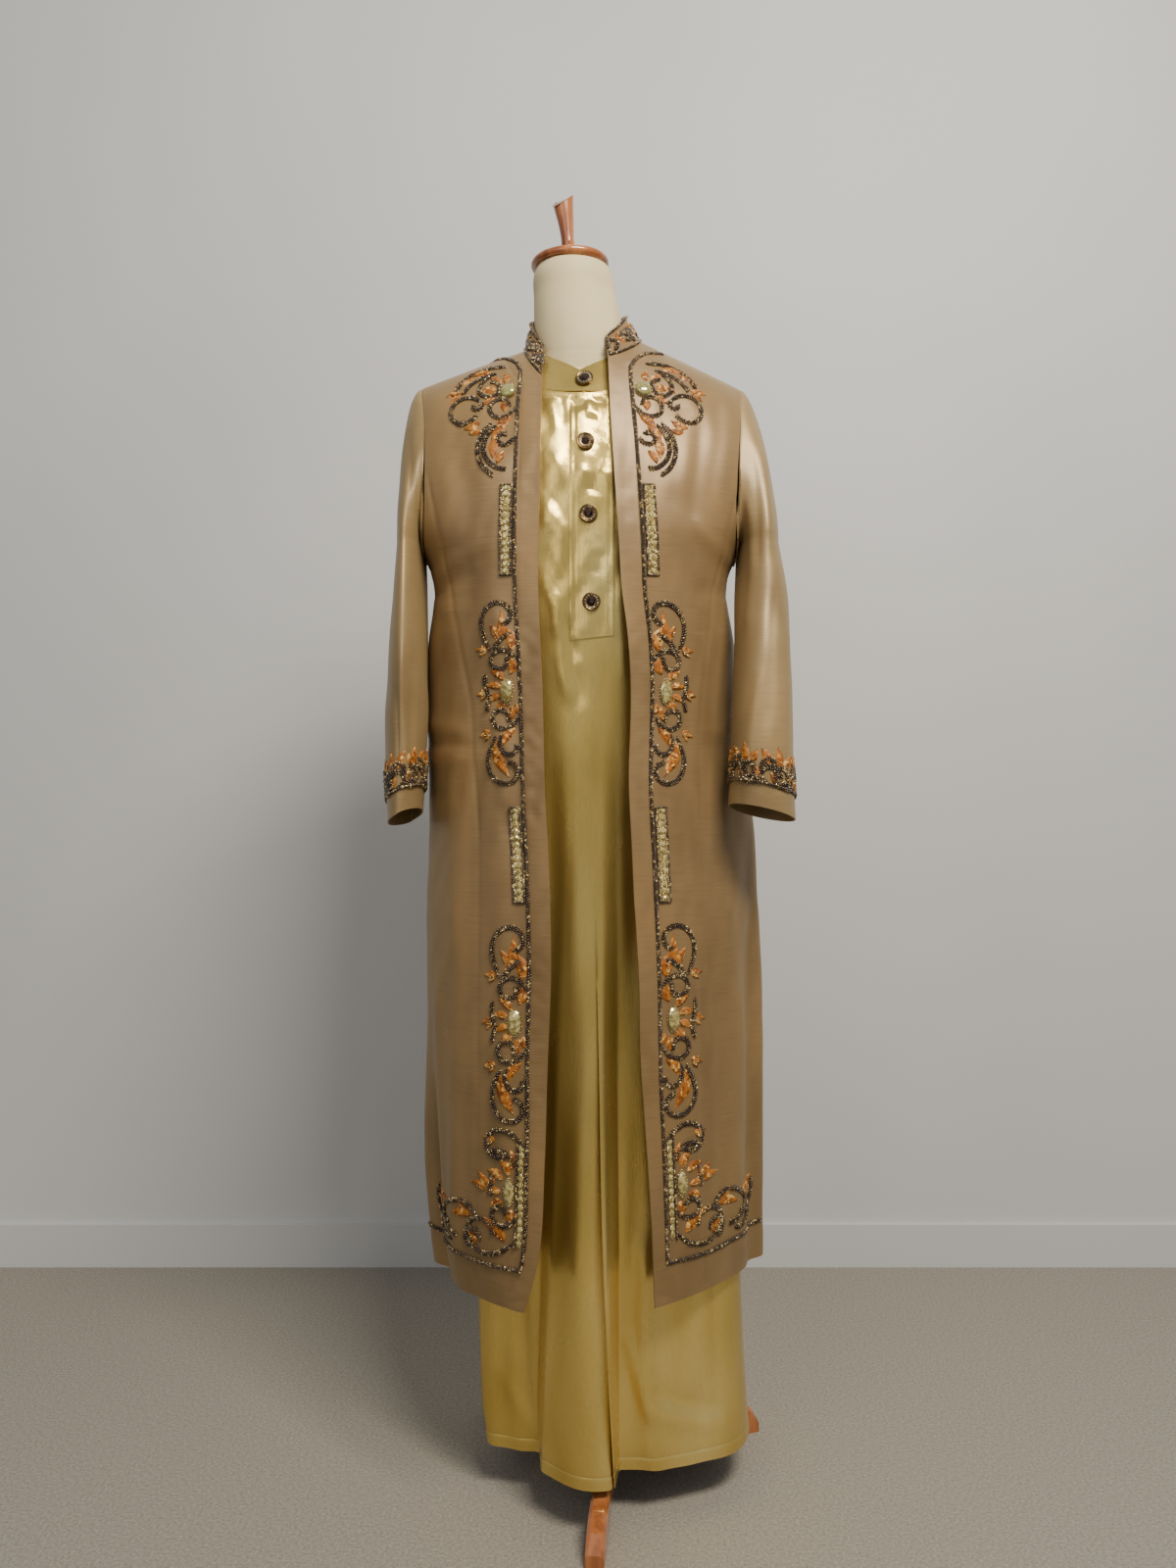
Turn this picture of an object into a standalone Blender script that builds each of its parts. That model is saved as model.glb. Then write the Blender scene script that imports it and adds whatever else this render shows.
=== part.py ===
"""A long thobe with a stand collar under an open embroidered coat, worn by a limbless dress form on a tripod.

Metres, +Z up, the front faces -Y. Walls are grids of points: the inner face is worked out from sections, and
the outer face is the same grid moved out along its normals.
"""

import math

import bmesh
import bpy
import numpy as np
from mathutils.bvhtree import BVHTree

# Driving sizes
FLOOR_TO_COAT_HEM = 0.278
FLOOR_TO_THOBE_HEM = 0.060
UNDERARM = 1.170  # height of both garments' armhole bottoms
COAT_WALL = 0.0016
THOBE_WALL = 0.0012
SEAM_GAP = 0.0003
LAYER_GAP = 0.0010  # between cloths that lie on each other at the shoulders
STAND_SHIFT = (0.0003, 0.0306)  # moves the whole so that its box is centred on the origin, x and y
TRIM_GAP = 0.0004  # the least room between a panel and the trim that lies on it

# The form leans a little: the middle of a section at each height
CENTRE_LINE = (
    # z, x
    (0.00, 0.033),
    (0.28, 0.0195),
    (0.82, 0.0060),
    (1.20, -0.0090),
    (1.45, -0.0085),
    (1.56, -0.0220),
    (1.66, -0.0250),
)

# The coat's outline: the side seams' x, the depth of each front half, the back's depth, and how square it is
COAT_SECTIONS = (
    # z, left, right, front_left, front_right, back, square_left, square_right, square_back
    (0.278, -0.188, 0.2230, 0.208, 0.196, 0.150, 1.05, 1.45, 0.95),
    (0.340, -0.196, 0.2235, 0.203, 0.192, 0.150, 1.00, 1.42, 0.95),
    (0.438, -0.2022, 0.2225, 0.192, 0.184, 0.148, 0.98, 1.40, 0.95),
    (0.566, -0.2060, 0.2235, 0.180, 0.176, 0.145, 0.98, 1.38, 0.95),
    (0.694, -0.2080, 0.2200, 0.168, 0.168, 0.142, 1.00, 1.36, 0.95),
    (0.822, -0.2050, 0.2150, 0.158, 0.160, 0.138, 1.02, 1.36, 0.92),
    (0.960, -0.2060, 0.1990, 0.148, 0.150, 0.133, 1.00, 1.30, 0.90),
    (1.060, -0.2065, 0.1890, 0.141, 0.142, 0.130, 0.95, 1.12, 0.88),
    (1.170, -0.2070, 0.1860, 0.134, 0.133, 0.128, 0.88, 0.88, 0.86),
    (1.200, -0.2270, 0.2060, 0.132, 0.131, 0.127, 0.88, 0.88, 0.86),
    (1.240, -0.2420, 0.2200, 0.130, 0.129, 0.126, 0.88, 0.88, 0.86),
    (1.500, -0.2420, 0.2200, 0.128, 0.128, 0.124, 0.88, 0.88, 0.86),
)
# Front edges, as x at each height
COAT_EDGES = (
    # z, left, right
    (0.278, -0.0730, 0.0763),
    (0.340, -0.0570, 0.0740),
    (0.450, -0.0500, 0.0680),
    (0.560, -0.0470, 0.0610),
    (0.660, -0.0435, 0.0585),
    (0.770, -0.0450, 0.0530),
    (0.886, -0.0510, 0.0480),
    (1.010, -0.0545, 0.0500),
    (1.065, -0.0570, 0.0465),
    (1.122, -0.0595, 0.0395),
    (1.170, -0.0595, 0.0370),
    (1.240, -0.0580, 0.0325),
    (1.355, -0.0570, 0.0260),
    (1.410, -0.0560, 0.0243),
)
# The thobe's outline
THOBE_SECTIONS = (
    # z, left, right, front_left, front_right, back, square_left, square_right, square_back
    (0.060, -0.134, 0.2060, 0.100, 0.118, 0.116, 0.85, 0.72, 0.95),
    (0.120, -0.139, 0.2020, 0.100, 0.118, 0.114, 0.85, 0.74, 0.95),
    (0.236, -0.142, 0.1960, 0.100, 0.117, 0.112, 0.85, 0.78, 0.95),
    (0.400, -0.146, 0.1880, 0.101, 0.112, 0.110, 0.88, 0.85, 0.95),
    (0.600, -0.150, 0.1760, 0.103, 0.108, 0.108, 0.90, 0.95, 0.95),
    (0.800, -0.162, 0.1660, 0.107, 0.108, 0.108, 0.95, 1.05, 0.95),
    (1.000, -0.176, 0.1600, 0.111, 0.111, 0.111, 0.95, 1.00, 0.92),
    (1.170, -0.190, 0.1690, 0.1145, 0.1145, 0.114, 0.90, 0.90, 0.88),
    (1.200, -0.210, 0.1890, 0.1140, 0.1140, 0.115, 0.90, 0.90, 0.88),
    (1.240, -0.225, 0.2030, 0.1135, 0.1135, 0.114, 0.90, 0.90, 0.88),
    (1.500, -0.225, 0.2030, 0.1127, 0.1127, 0.112, 0.90, 0.90, 0.88),
)
# The dress form's outline, up to its shoulders
FORM_SECTIONS = (
    # z, left, right, front_left, front_right, back, square_left, square_right, square_back
    (0.800, -0.118, 0.1280, 0.082, 0.082, 0.088, 1.0, 1.0, 1.0),
    (0.860, -0.137, 0.1430, 0.094, 0.094, 0.104, 1.0, 1.0, 1.0),
    (0.940, -0.132, 0.1340, 0.092, 0.092, 0.096, 1.0, 1.0, 1.0),
    (1.040, -0.116, 0.1100, 0.086, 0.086, 0.082, 1.0, 1.0, 1.0),
    (1.110, -0.128, 0.1140, 0.094, 0.094, 0.088, 1.0, 1.0, 1.0),
    (1.170, -0.150, 0.1330, 0.104, 0.104, 0.096, 0.95, 0.95, 0.95),
    (1.240, -0.168, 0.1500, 0.104, 0.104, 0.100, 0.95, 0.95, 0.95),
    (1.500, -0.176, 0.1580, 0.103, 0.103, 0.100, 0.95, 0.95, 0.95),
)

# The ridge that the shoulder seams follow, for the coat's inner face; straight between its points
COAT_RIDGE = (
    # x, z
    (-0.3000, 1.3690),
    (-0.2142, 1.3990),
    (-0.0790, 1.4465),
    (-0.0064, 1.4780),
    (0.0663, 1.4570),
    (0.1938, 1.3986),
    (0.3000, 1.3500),
)
THOBE_DROP = THOBE_WALL + LAYER_GAP  # the thobe's ridge under the coat's
FORM_DROP = THOBE_DROP + 0.0032  # the form's ridge under the coat's
CHEST_FULL = 2.3  # how late the chest turns in towards the shoulder seam
BACK_FULL = 3.2

# Armholes, as x at each height
COAT_ARMHOLES = (
    # z, left, right
    (1.170, -0.2070, 0.1860),
    (1.200, -0.2040, 0.1835),
    (1.260, -0.2025, 0.1840),
    (1.340, -0.2050, 0.1905),
    (1.3988, -0.2142, 0.1938),
)
THOBE_ARMHOLES = (
    # z, left, right
    (1.170, -0.1900, 0.1690),
    (1.200, -0.1780, 0.1590),
    (1.260, -0.1700, 0.1520),
    (1.340, -0.1740, 0.1560),
    (1.4100, -0.1800, 0.1620),
)
# Neck rings: middle, half width, and the heights of the two front halves and the back at the middle
COAT_NECK = {"x": -0.0064, "half": 0.0727, "left": 1.3655, "right": 1.4107, "back": 1.4330}
THOBE_NECK = {"x": -0.0080, "half": 0.0655, "left": 1.3675, "right": 1.3675, "back": 1.4280}
NECKLINE_FLAT = 0.25  # how flat the thobe's neckline runs before it climbs to the shoulder

# Folds: a soft ridge (+) or trough (-) that runs down the cloth. "at" is 0 at the middle front, 1 at the side
# seam and 2 at the middle back, with minus on the wearer's right, the left in a front view
COAT_FOLDS = (
    # at, width, depth, bottom, top
    (-0.90, 0.050, 0.010, 0.20, 0.62),
    (-0.80, 0.045, -0.009, 0.20, 0.66),
    (-0.62, 0.060, 0.004, 0.20, 0.90),
    (0.86, 0.050, -0.006, 0.20, 0.85),
    (0.95, 0.040, 0.005, 0.20, 0.95),
    (-1.30, 0.080, 0.009, 0.20, 0.85),
    (-1.46, 0.060, -0.008, 0.20, 0.78),
    (-1.66, 0.090, 0.010, 0.20, 0.95),
    (-1.86, 0.060, -0.008, 0.20, 0.90),
    (1.22, 0.070, 0.008, 0.20, 0.80),
    (1.42, 0.070, -0.008, 0.20, 0.86),
    (1.62, 0.080, 0.010, 0.20, 0.92),
    (1.84, 0.070, -0.006, 0.20, 0.84),
)
THOBE_FOLDS = (
    # at, width, depth, bottom, top
    (-0.78, 0.060, 0.010, 0.00, 0.70),
    (-0.90, 0.040, -0.009, 0.00, 0.60),
    (-0.56, 0.060, -0.008, 0.00, 0.95),
    (0.30, 0.050, 0.004, 0.00, 0.95),
    (0.52, 0.090, -0.004, 0.00, 0.80),
    (-1.30, 0.080, 0.009, 0.00, 0.75),
    (-1.55, 0.080, -0.010, 0.00, 0.75),
    (-1.80, 0.090, 0.009, 0.00, 0.80),
    (1.30, 0.080, -0.009, 0.00, 0.75),
    (1.55, 0.080, 0.009, 0.00, 0.75),
    (1.82, 0.070, -0.009, 0.00, 0.80),
)
# The deep fold that stands forward in the thobe's middle: its two flanks as x, and how far it stands out
FRONT_FOLD = (
    # z, left, right, flank, depth_left, depth_right
    (0.060, -0.053, 0.0250, 0.012, 0.034, 0.060),
    (0.240, -0.046, 0.0220, 0.014, 0.028, 0.048),
    (0.450, -0.036, 0.0180, 0.018, 0.020, 0.030),
    (0.700, -0.026, 0.0140, 0.022, 0.009, 0.012),
    (0.950, -0.020, 0.0100, 0.026, 0.002, 0.003),
    (1.050, -0.020, 0.0100, 0.026, 0.000, 0.000),
    (1.500, -0.020, 0.0100, 0.026, 0.000, 0.000),
)

# Sleeves: the middle of each ring, its half width and half depth, how pointed its front is, and its tilt
LEFT_SLEEVE = (
    # z, x, y, half_width, half_depth, square
    (1.190, -0.2280, -0.014, 0.0170, 0.076, 1.10),
    (1.130, -0.2270, -0.030, 0.0200, 0.072, 1.12),
    (1.040, -0.2270, -0.048, 0.0235, 0.067, 1.15),
    (0.960, -0.2275, -0.058, 0.0250, 0.063, 1.18),
    (0.900, -0.2275, -0.064, 0.0245, 0.060, 1.20),
    (0.845, -0.2280, -0.068, 0.0215, 0.058, 1.20),
)
RIGHT_SLEEVE = (
    # z, x, y, half_width, half_depth, square
    (1.190, 0.2175, -0.018, 0.0255, 0.072, 1.00),
    (1.130, 0.2190, -0.040, 0.0310, 0.062, 1.00),
    (1.040, 0.2170, -0.068, 0.0350, 0.054, 1.00),
    (0.960, 0.2145, -0.086, 0.0375, 0.048, 1.00),
    (0.900, 0.2125, -0.096, 0.0390, 0.044, 1.00),
    (0.851, 0.2115, -0.102, 0.0410, 0.041, 1.00),
)
CUFF_TILT = 0.0095  # how much lower the cuff's outer end is than its middle
CUFF_NOD = 0.0065  # how much higher the cuff's front is than its middle
CUFF_TRIM = (0.030, 0.062, 0.095)  # heights of the cuff trim's rows over the cuff's edge
HEAD_SHARES = (0.0, 0.10, 0.26, 0.50, 0.76)  # rings between the armhole and the sleeve's first section
HEAD_PUFF = 0.020  # how far the sleeve head stands off the armhole before it turns down
HEAD_FALL = 0.075  # how straight it comes down into the sleeve
HEAD_STEP = 0.0006  # how far the sleeve starts outside the armhole's edge, past the seam's gap
UNDERARM_OUT = 0.0040  # how much further out it starts at the underarm, past both coat walls
UNDERARM_UP = 0.0010

# Collars: how high they stand over the neckline and the ring of their top edge
COAT_COLLAR = {"x": -0.0128, "half": 0.0590, "y": -0.006, "front": 0.066, "back": 0.064}
THOBE_COLLAR = {"x": -0.0105, "half": 0.0612, "y": -0.006, "front": 0.066, "back": 0.066}
THOBE_COLLAR_TOP = (
    # turn in degrees from the front, height of the top edge
    (0.0, 1.4000),
    (18.0, 1.4110),
    (40.0, 1.4235),
    (65.0, 1.4480),
    (90.0, 1.4620),
    (180.0, 1.4720),
)
COAT_COLLAR_TOP = (
    # the base's bearing in degrees (the first and last are the front edges), the top's bearing, its height
    (22.0, 35.0, 1.4480),
    (90.0, 90.0, 1.4940),
    (180.0, 180.0, 1.4890),
    (270.0, 270.0, 1.4860),
    (332.0, 311.0, 1.4410),
)
OVERLAP_LENGTH = 0.0145  # how far the thobe collar's button end passes the middle
OVERLAP_FROM = 325.0  # the bearing where it starts to lift off
OVERLAP_STEP = 0.0019

# The placket and the buttons, as x and heights on the thobe's front
PLACKET = {"left": -0.0225, "right": 0.0320, "bottom": 1.060, "top": 1.362, "thick": 0.0014}
BUTTONS = (
    # x, z
    (-0.0048, 1.3860),
    (-0.0035, 1.3016),
    (0.0000, 1.2126),
    (0.0035, 1.1060),
)
BUTTON_RADIUS = 0.0112
BUTTON_THICK = 0.0042
BUTTON_GAP = 0.0004
BUTTON_ROWS = (
    # share of the radius, share of the thickness
    (0.0, 0.0), (0.80, 0.0), (1.0, 0.30), (1.0, 0.55), (0.82, 0.92), (0.62, 0.80), (0.50, 0.95), (0.0, 1.15),
)

# Trim on each front: heights, and distances from the front edge
CORD_ROUTE = (
    # from edge, z
    (0.0180, 0.318), (0.0190, 0.36), (0.0205, 0.42), (0.0220, 0.50), (0.0245, 0.58), (0.0260, 0.66),
    (0.0265, 0.74), (0.0270, 0.82), (0.0270, 0.90), (0.0270, 0.98), (0.0280, 1.06), (0.0290, 1.13),
    (0.0300, 1.19), (0.0305, 1.25), (0.0300, 1.31), (0.0290, 1.35), (0.0280, 1.385),
)
CORD_HALF_WIDTH = 0.0022
CORD_HEIGHT = 0.0022
MOTIFS = {
    # z, nearest to the edge, furthest from it
    "yoke": (
        (1.255, 0.040, 0.058), (1.285, 0.036, 0.082), (1.315, 0.035, 0.100), (1.345, 0.035, 0.106),
        (1.370, 0.035, 0.104), (1.390, 0.035, 0.098),
    ),
    "middle": (
        (0.868, 0.032, 0.046), (0.895, 0.031, 0.064), (0.935, 0.031, 0.076), (0.975, 0.031, 0.080),
        (1.010, 0.032, 0.076), (1.050, 0.032, 0.078), (1.085, 0.033, 0.068), (1.118, 0.034, 0.048),
    ),
    "lower": (
        (0.482, 0.027, 0.040), (0.510, 0.027, 0.058), (0.550, 0.028, 0.070), (0.590, 0.029, 0.074),
        (0.625, 0.030, 0.070), (0.665, 0.031, 0.072), (0.700, 0.031, 0.062), (0.730, 0.031, 0.044),
    ),
    "corner": (
        (0.326, 0.037, 0.190), (0.340, 0.037, 0.192), (0.353, 0.037, 0.190), (0.368, 0.037, 0.176),
        (0.382, 0.037, 0.130), (0.400, 0.037, 0.096), (0.430, 0.037, 0.070), (0.470, 0.037, 0.052),
    ),
}
MOTIF_HEIGHT = 0.0018
MOTIF_COLUMNS = {"yoke": 6, "middle": 4, "lower": 4, "corner": 14}
LADDERS = {
    # from edge, half width, bottom, top
    "upper": (0.0425, 0.0080, 1.135, 1.246),
    "middle": (0.0385, 0.0080, 0.744, 0.858),
    "lower": (0.0300, 0.0048, 0.352, 0.471),
}
LADDER_HEIGHT = 0.0026
GEMS = {
    # from edge, z, half width, half height
    "yoke": (0.0440, 1.371, 0.0092, 0.0092),
    "middle": (0.0420, 1.000, 0.0080, 0.0140),
    "lower": (0.0385, 0.610, 0.0078, 0.0135),
    "corner": (0.0480, 0.424, 0.0066, 0.0120),
}
GEM_THICK = 0.0042
GEM_GAP = 0.0006

# The dress form's neck, cap, handle and stand
NECK_ROWS = (
    # z, x, radius
    (1.360, -0.0060, 0.0600), (1.430, -0.0070, 0.0605), (1.462, -0.0105, 0.0592), (1.487, -0.0136, 0.0567),
    (1.515, -0.0170, 0.0535), (1.546, -0.0198, 0.0506), (1.5535, -0.0204, 0.0475),
)
NECK_Y = -0.006
CAP_X = -0.0237
CAP_ROWS = (
    # height over the cap's underside, radius
    (0.0000, 0.0450), (0.0012, 0.0486), (0.0045, 0.0506), (0.0080, 0.0500), (0.0120, 0.0440),
    (0.0165, 0.0300), (0.0185, 0.0190),
)
CAP_BOTTOM = 1.5540
HANDLE_ROWS = (
    # height over the cap's underside, x, half width, half depth
    (0.0190, -0.0245, 0.0130, 0.0130), (0.0225, -0.0245, 0.0098, 0.0100), (0.0340, -0.0250, 0.0086, 0.0096),
    (0.0550, -0.0262, 0.0098, 0.0105), (0.0750, -0.0282, 0.0122, 0.0122), (0.0940, -0.0300, 0.0146, 0.0135),
)
HANDLE_CUT = {"point": (-0.0290, -0.004, 0.0880), "normal": (-0.42, -0.50, 0.76)}
CAP_TILT = math.radians(2.4)
CAP_LIFT = 0.0018  # what the tilt takes off the cap's lower side
POLE_RADIUS = 0.0125
POLE_TOP = 0.7997
HUB_ROWS = (
    # radius, z
    (0.0, 0.1150), (0.018, 0.1150), (0.024, 0.1210), (0.024, 0.2140), (0.018, 0.2200), (0.0, 0.2200),
)
STAND_X = 0.033
STAND_TURN = math.radians(-7.0)  # the front leg points a little to the left of the view
LEG_ROWS = (
    # distance from the axis, underside, top
    (0.0243, 0.130, 0.205), (0.0500, 0.092, 0.166), (0.0780, 0.058, 0.122), (0.1050, 0.034, 0.080),
    (0.1300, 0.020, 0.056), (0.1550, 0.010, 0.049), (0.1780, 0.000, 0.045), (0.2010, 0.000, 0.034),
    (0.2130, 0.000, 0.016),
)
LEG_HALF_WIDTH = 0.011
LEG_CHAMFER = 0.004

# Grids
PATCH_ROWS = 9
THOBE_NECK_ROW = 4  # the patch row where the neckline starts
COAT_NECK_ROW = 5
BACK_NECK_ROW = 6
COAT_ROWS = (0.278, 0.30, 0.34, 0.40, 0.46, 0.53, 0.60, 0.68, 0.76, 0.84, 0.92, 0.99, 1.05, 1.11, 1.17)
THOBE_ROWS = (0.060, 0.085, 0.14, 0.21, 0.29, 0.38, 0.48, 0.59, 0.70, 0.81, 0.92, 1.02, 1.10, 1.17)
COAT_FRONT_COLUMNS = 12
COAT_BACK_COLUMNS = 18
THOBE_FRONT_COLUMNS = 26
THOBE_BACK_COLUMNS = 14
FORM_ROWS = (0.80, 0.86, 0.93, 1.00, 1.06, 1.12)
FORM_SIDES = 24
SLEEVE_HEIGHTS = (1.19, 1.15, 1.10, 1.05, 1.00)
DENSE = 90  # points along a quarter section, to measure along it


def rows_of(table, columns):
    """A table's columns by name."""
    return {name: np.array([row[k] for row in table]) for k, name in enumerate(columns)}


SECTION_COLUMNS = (
    "z", "left", "right", "front_left", "front_right", "back", "square_left", "square_right", "square_back",
)
COAT = rows_of(COAT_SECTIONS, SECTION_COLUMNS)
THOBE = rows_of(THOBE_SECTIONS, SECTION_COLUMNS)
FORM = rows_of(FORM_SECTIONS, SECTION_COLUMNS)
EDGES = rows_of(COAT_EDGES, ("z", "left", "right"))
FOLD_OUT = rows_of(FRONT_FOLD, ("z", "left", "right", "flank", "depth_left", "depth_right"))
RIDGE = rows_of(COAT_RIDGE, ("x", "z"))
SLEEVE_COLUMNS = ("z", "x", "y", "half_width", "half_depth", "square")


def smooth(x, xs, ys):
    """A smooth curve through (xs, ys), with xs rising."""
    x = np.clip(x, xs[0], xs[-1])
    slopes = np.gradient(ys, xs)
    k = np.clip(np.searchsorted(xs, x, side="right") - 1, 0, len(xs) - 2)
    span = xs[k + 1] - xs[k]
    t = (x - xs[k]) / span
    near = (1 + 2 * t) * (1 - t) ** 2 * ys[k] + t * (1 - t) ** 2 * span * slopes[k]
    far = t * t * (3 - 2 * t) * ys[k + 1] + t * t * (t - 1) * span * slopes[k + 1]
    return near + far


def ease(t):
    """0 to 1 with flat ends."""
    t = np.clip(t, 0.0, 1.0)
    return t * t * (3 - 2 * t)


CENTRES = rows_of(CENTRE_LINE, ("z", "x"))


def centre(z):
    return smooth(z, CENTRES["z"], CENTRES["x"])


def quarter(garment, side, face, z):
    """A quarter of the section at height z, from the middle front or back to the side seam: x, y arrays."""
    middle = centre(z)
    half = abs(smooth(z, garment["z"], garment[side]) - middle)
    sign = -1 if side == "left" else 1
    if face == "front":
        depth = -smooth(z, garment["z"], garment["front_" + side])
        square = smooth(z, garment["z"], garment["square_" + side])
    else:
        depth = smooth(z, garment["z"], garment["back"])
        square = smooth(z, garment["z"], garment["square_back"])
    turn = np.linspace(0, math.pi / 2, DENSE)
    x = middle + sign * half * np.sin(turn) ** square
    y = depth * np.cos(turn) ** square
    return x, y


def bulge(x, z):
    """How far the thobe's front fold stands out at x, a box with soft flanks."""
    left = smooth(z, FOLD_OUT["z"], FOLD_OUT["left"])
    right = smooth(z, FOLD_OUT["z"], FOLD_OUT["right"])
    flank = smooth(z, FOLD_OUT["z"], FOLD_OUT["flank"])
    deep_left = smooth(z, FOLD_OUT["z"], FOLD_OUT["depth_left"])
    deep_right = smooth(z, FOLD_OUT["z"], FOLD_OUT["depth_right"])
    across = np.clip((x - left) / (right - left), 0, 1)
    rise = ease((x - left + flank) / flank) * ease((right + flank - x) / flank)
    crown = 1 + 0.25 * np.sin(math.pi * across)
    return rise * crown * (deep_left + (deep_right - deep_left) * across)


def run_share(x, y):
    """How far along a curve each of its points lies, from 0 to 1."""
    run = np.concatenate([[0], np.cumsum(np.hypot(np.diff(x), np.diff(y)))])
    return run / run[-1]


def half_section(garment, side, z):
    """The dense half section from the middle front (0) past the side seam (1) to the middle back (2)."""
    front_x, front_y = quarter(garment, side, "front", z)
    if garment is THOBE:
        front_y = front_y - bulge(front_x, z)
    back_x, back_y = quarter(garment, side, "back", z)
    # the back's quarter starts at the middle back, so it is turned round to run on from the side seam
    x = np.concatenate([front_x, back_x[::-1][1:]])
    y = np.concatenate([front_y, back_y[::-1][1:]])
    place = np.concatenate([run_share(front_x, front_y), (2.0 - run_share(back_x, back_y))[::-1][1:]])
    return x, y, place


def folds(table, at, z):
    """How far the cloth stands out of its plain section at this place."""
    total = np.zeros_like(at)
    for middle, width, depth, bottom, top in table:
        fade = ease((top - z) / (0.55 * (top - bottom)))
        total = total + depth * fade * np.exp(-(((at - middle) / width) ** 2))
    return total


def trunk(garment, side, at, z):
    """Points of a garment below the armholes: at is 0 to 2 along the half section, z one height."""
    x, y, place = half_section(garment, side, z)
    px = np.interp(at, place, x)
    py = np.interp(at, place, y)
    tangent_x = np.interp(at + 0.01, place, x) - np.interp(at - 0.01, place, x)
    tangent_y = np.interp(at + 0.01, place, y) - np.interp(at - 0.01, place, y)
    sign = -1 if side == "left" else 1
    length = np.maximum(np.hypot(tangent_x, tangent_y), 1e-9)
    out_x = sign * tangent_y / length
    out_y = -sign * tangent_x / length
    table = {id(COAT): COAT_FOLDS, id(THOBE): THOBE_FOLDS}.get(id(garment), ())
    out = folds(table, sign * at, z)
    return np.stack([px + out * out_x, py + out * out_y, np.full_like(px, z)], axis=-1)


def ridge(garment, x):
    """The height of the shoulder ridge over x."""
    drop = {id(COAT): 0.0, id(THOBE): THOBE_DROP, id(FORM): FORM_DROP}[id(garment)]
    return np.interp(x, RIDGE["x"], RIDGE["z"]) - drop


def dome(garment, face, x, z):
    """The y of the chest or the back over (x, z), between the underarm and the shoulder ridge."""
    middle = centre(z)
    left = smooth(z, garment["z"], garment["left"])
    right = smooth(z, garment["z"], garment["right"])
    across = np.where(x < middle, (x - middle) / (left - middle), (x - middle) / (right - middle))
    across = np.clip(across, 0, 1)
    if face == "front":
        depth_left = smooth(z, garment["z"], garment["front_left"])
        depth_right = smooth(z, garment["z"], garment["front_right"])
        depth = -np.where(x < middle, depth_left, depth_right)
        square = smooth(z, garment["z"], garment["square_left"])
        full = CHEST_FULL
    else:
        depth = smooth(z, garment["z"], garment["back"])
        square = smooth(z, garment["z"], garment["square_back"])
        full = BACK_FULL
    body = depth * (1 - across ** (2 / square)) ** (square / 2)
    rise = np.clip((z - UNDERARM) / (ridge(garment, x) - UNDERARM), 0, 1)
    return body * np.sqrt(1 - rise**full)


def neck_point(garment, side):
    ring = COAT_NECK if garment is COAT else THOBE_NECK
    x = ring["x"] + (-1 if side == "left" else 1) * ring["half"]
    return x, float(ridge(garment, x))


def neckline(garment, side, face, turn):
    """The neckline in front view: turn is 0 at the middle and 90 degrees at the neck point."""
    ring = COAT_NECK if garment is COAT else THOBE_NECK
    x, z = neck_point(garment, side)
    drop = z - ring["back" if face == "back" else side]
    flat = NECKLINE_FLAT if garment is THOBE and face == "front" else 1.0
    fall = np.clip(np.cos(turn), 0, 1) ** flat
    return ring["x"] + (x - ring["x"]) * np.sin(turn), z - drop * fall


def armhole(garment, side, share):
    """The armhole in front view, from the underarm (0) to the shoulder tip (1)."""
    table = COAT_ARMHOLES if garment is COAT else THOBE_ARMHOLES
    rows = rows_of(table, ("z", "left", "right"))
    x_tip = rows[side][-1]
    top = float(ridge(garment, x_tip))
    z = UNDERARM + (top - UNDERARM) * share
    heights = rows["z"].copy()
    heights[-1] = top
    return smooth(z, heights, rows[side]), z


def patch(garment, side, face, inner, columns):
    """The part of a panel above the underarm, as a grid of rows, from its inner edge to its armhole.

    inner(share) gives the inner edge in front view, from the underarm to the neck point.
    """
    share = np.sin(np.linspace(0, math.pi / 2, PATCH_ROWS + 1))[:, None]
    across = np.linspace(0, 1, columns + 1)[None, :]
    inner_x, inner_z = inner(share)
    outer_x, outer_z = armhole(garment, side, share)
    low = trunk(garment, side, row_places(garment, side, face, UNDERARM, columns), UNDERARM)
    low_x = low[:, 0][None, :]
    neck_x, neck_z = neck_point(garment, side)
    tip_x, tip_z = outer_x[-1, 0], outer_z[-1, 0]
    top_x = neck_x + (tip_x - neck_x) * across
    top_z = neck_z + (tip_z - neck_z) * across
    corner_x = (
        (1 - across) * (1 - share) * low_x[0, 0]
        + across * (1 - share) * low_x[0, -1]
        + (1 - across) * share * neck_x
        + across * share * tip_x
    )
    corner_z = (1 - share) * UNDERARM + share * ((1 - across) * neck_z + across * tip_z)
    x = (1 - share) * low_x + share * top_x + (1 - across) * inner_x + across * outer_x - corner_x
    z = (1 - share) * UNDERARM + share * top_z + (1 - across) * inner_z + across * outer_z - corner_z
    z = np.minimum(z, ridge(garment, x))
    y = dome(garment, face, x, z)
    y[-1] = 0.0
    low_y = dome(garment, face, x[0], z[0])
    y = y + (low[:, 1] - low_y)[None, :] * (1 - share) ** 2
    return np.stack([x, y, z], axis=-1)


def edge_place(side, z):
    """Where the coat's front edge lies along its half section."""
    x, _, place = half_section(COAT, side, z)
    front = place <= 1
    edge = smooth(z, EDGES["z"], EDGES[side])
    order = np.argsort(x[front])
    return float(np.interp(edge, x[front][order], place[front][order]))


def row_places(garment, side, face, z, columns):
    """The places of a row's points along the half section, from its inner edge to the side seam."""
    if face == "back":
        return np.linspace(2.0, 1.0, columns + 1)
    start = edge_place(side, z) if garment is COAT else 0.0
    return np.linspace(start, 1.0, columns + 1)


def row_share(row):
    """How far up the patch one of its rows lies."""
    return math.sin(0.5 * math.pi * row / PATCH_ROWS)


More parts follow.
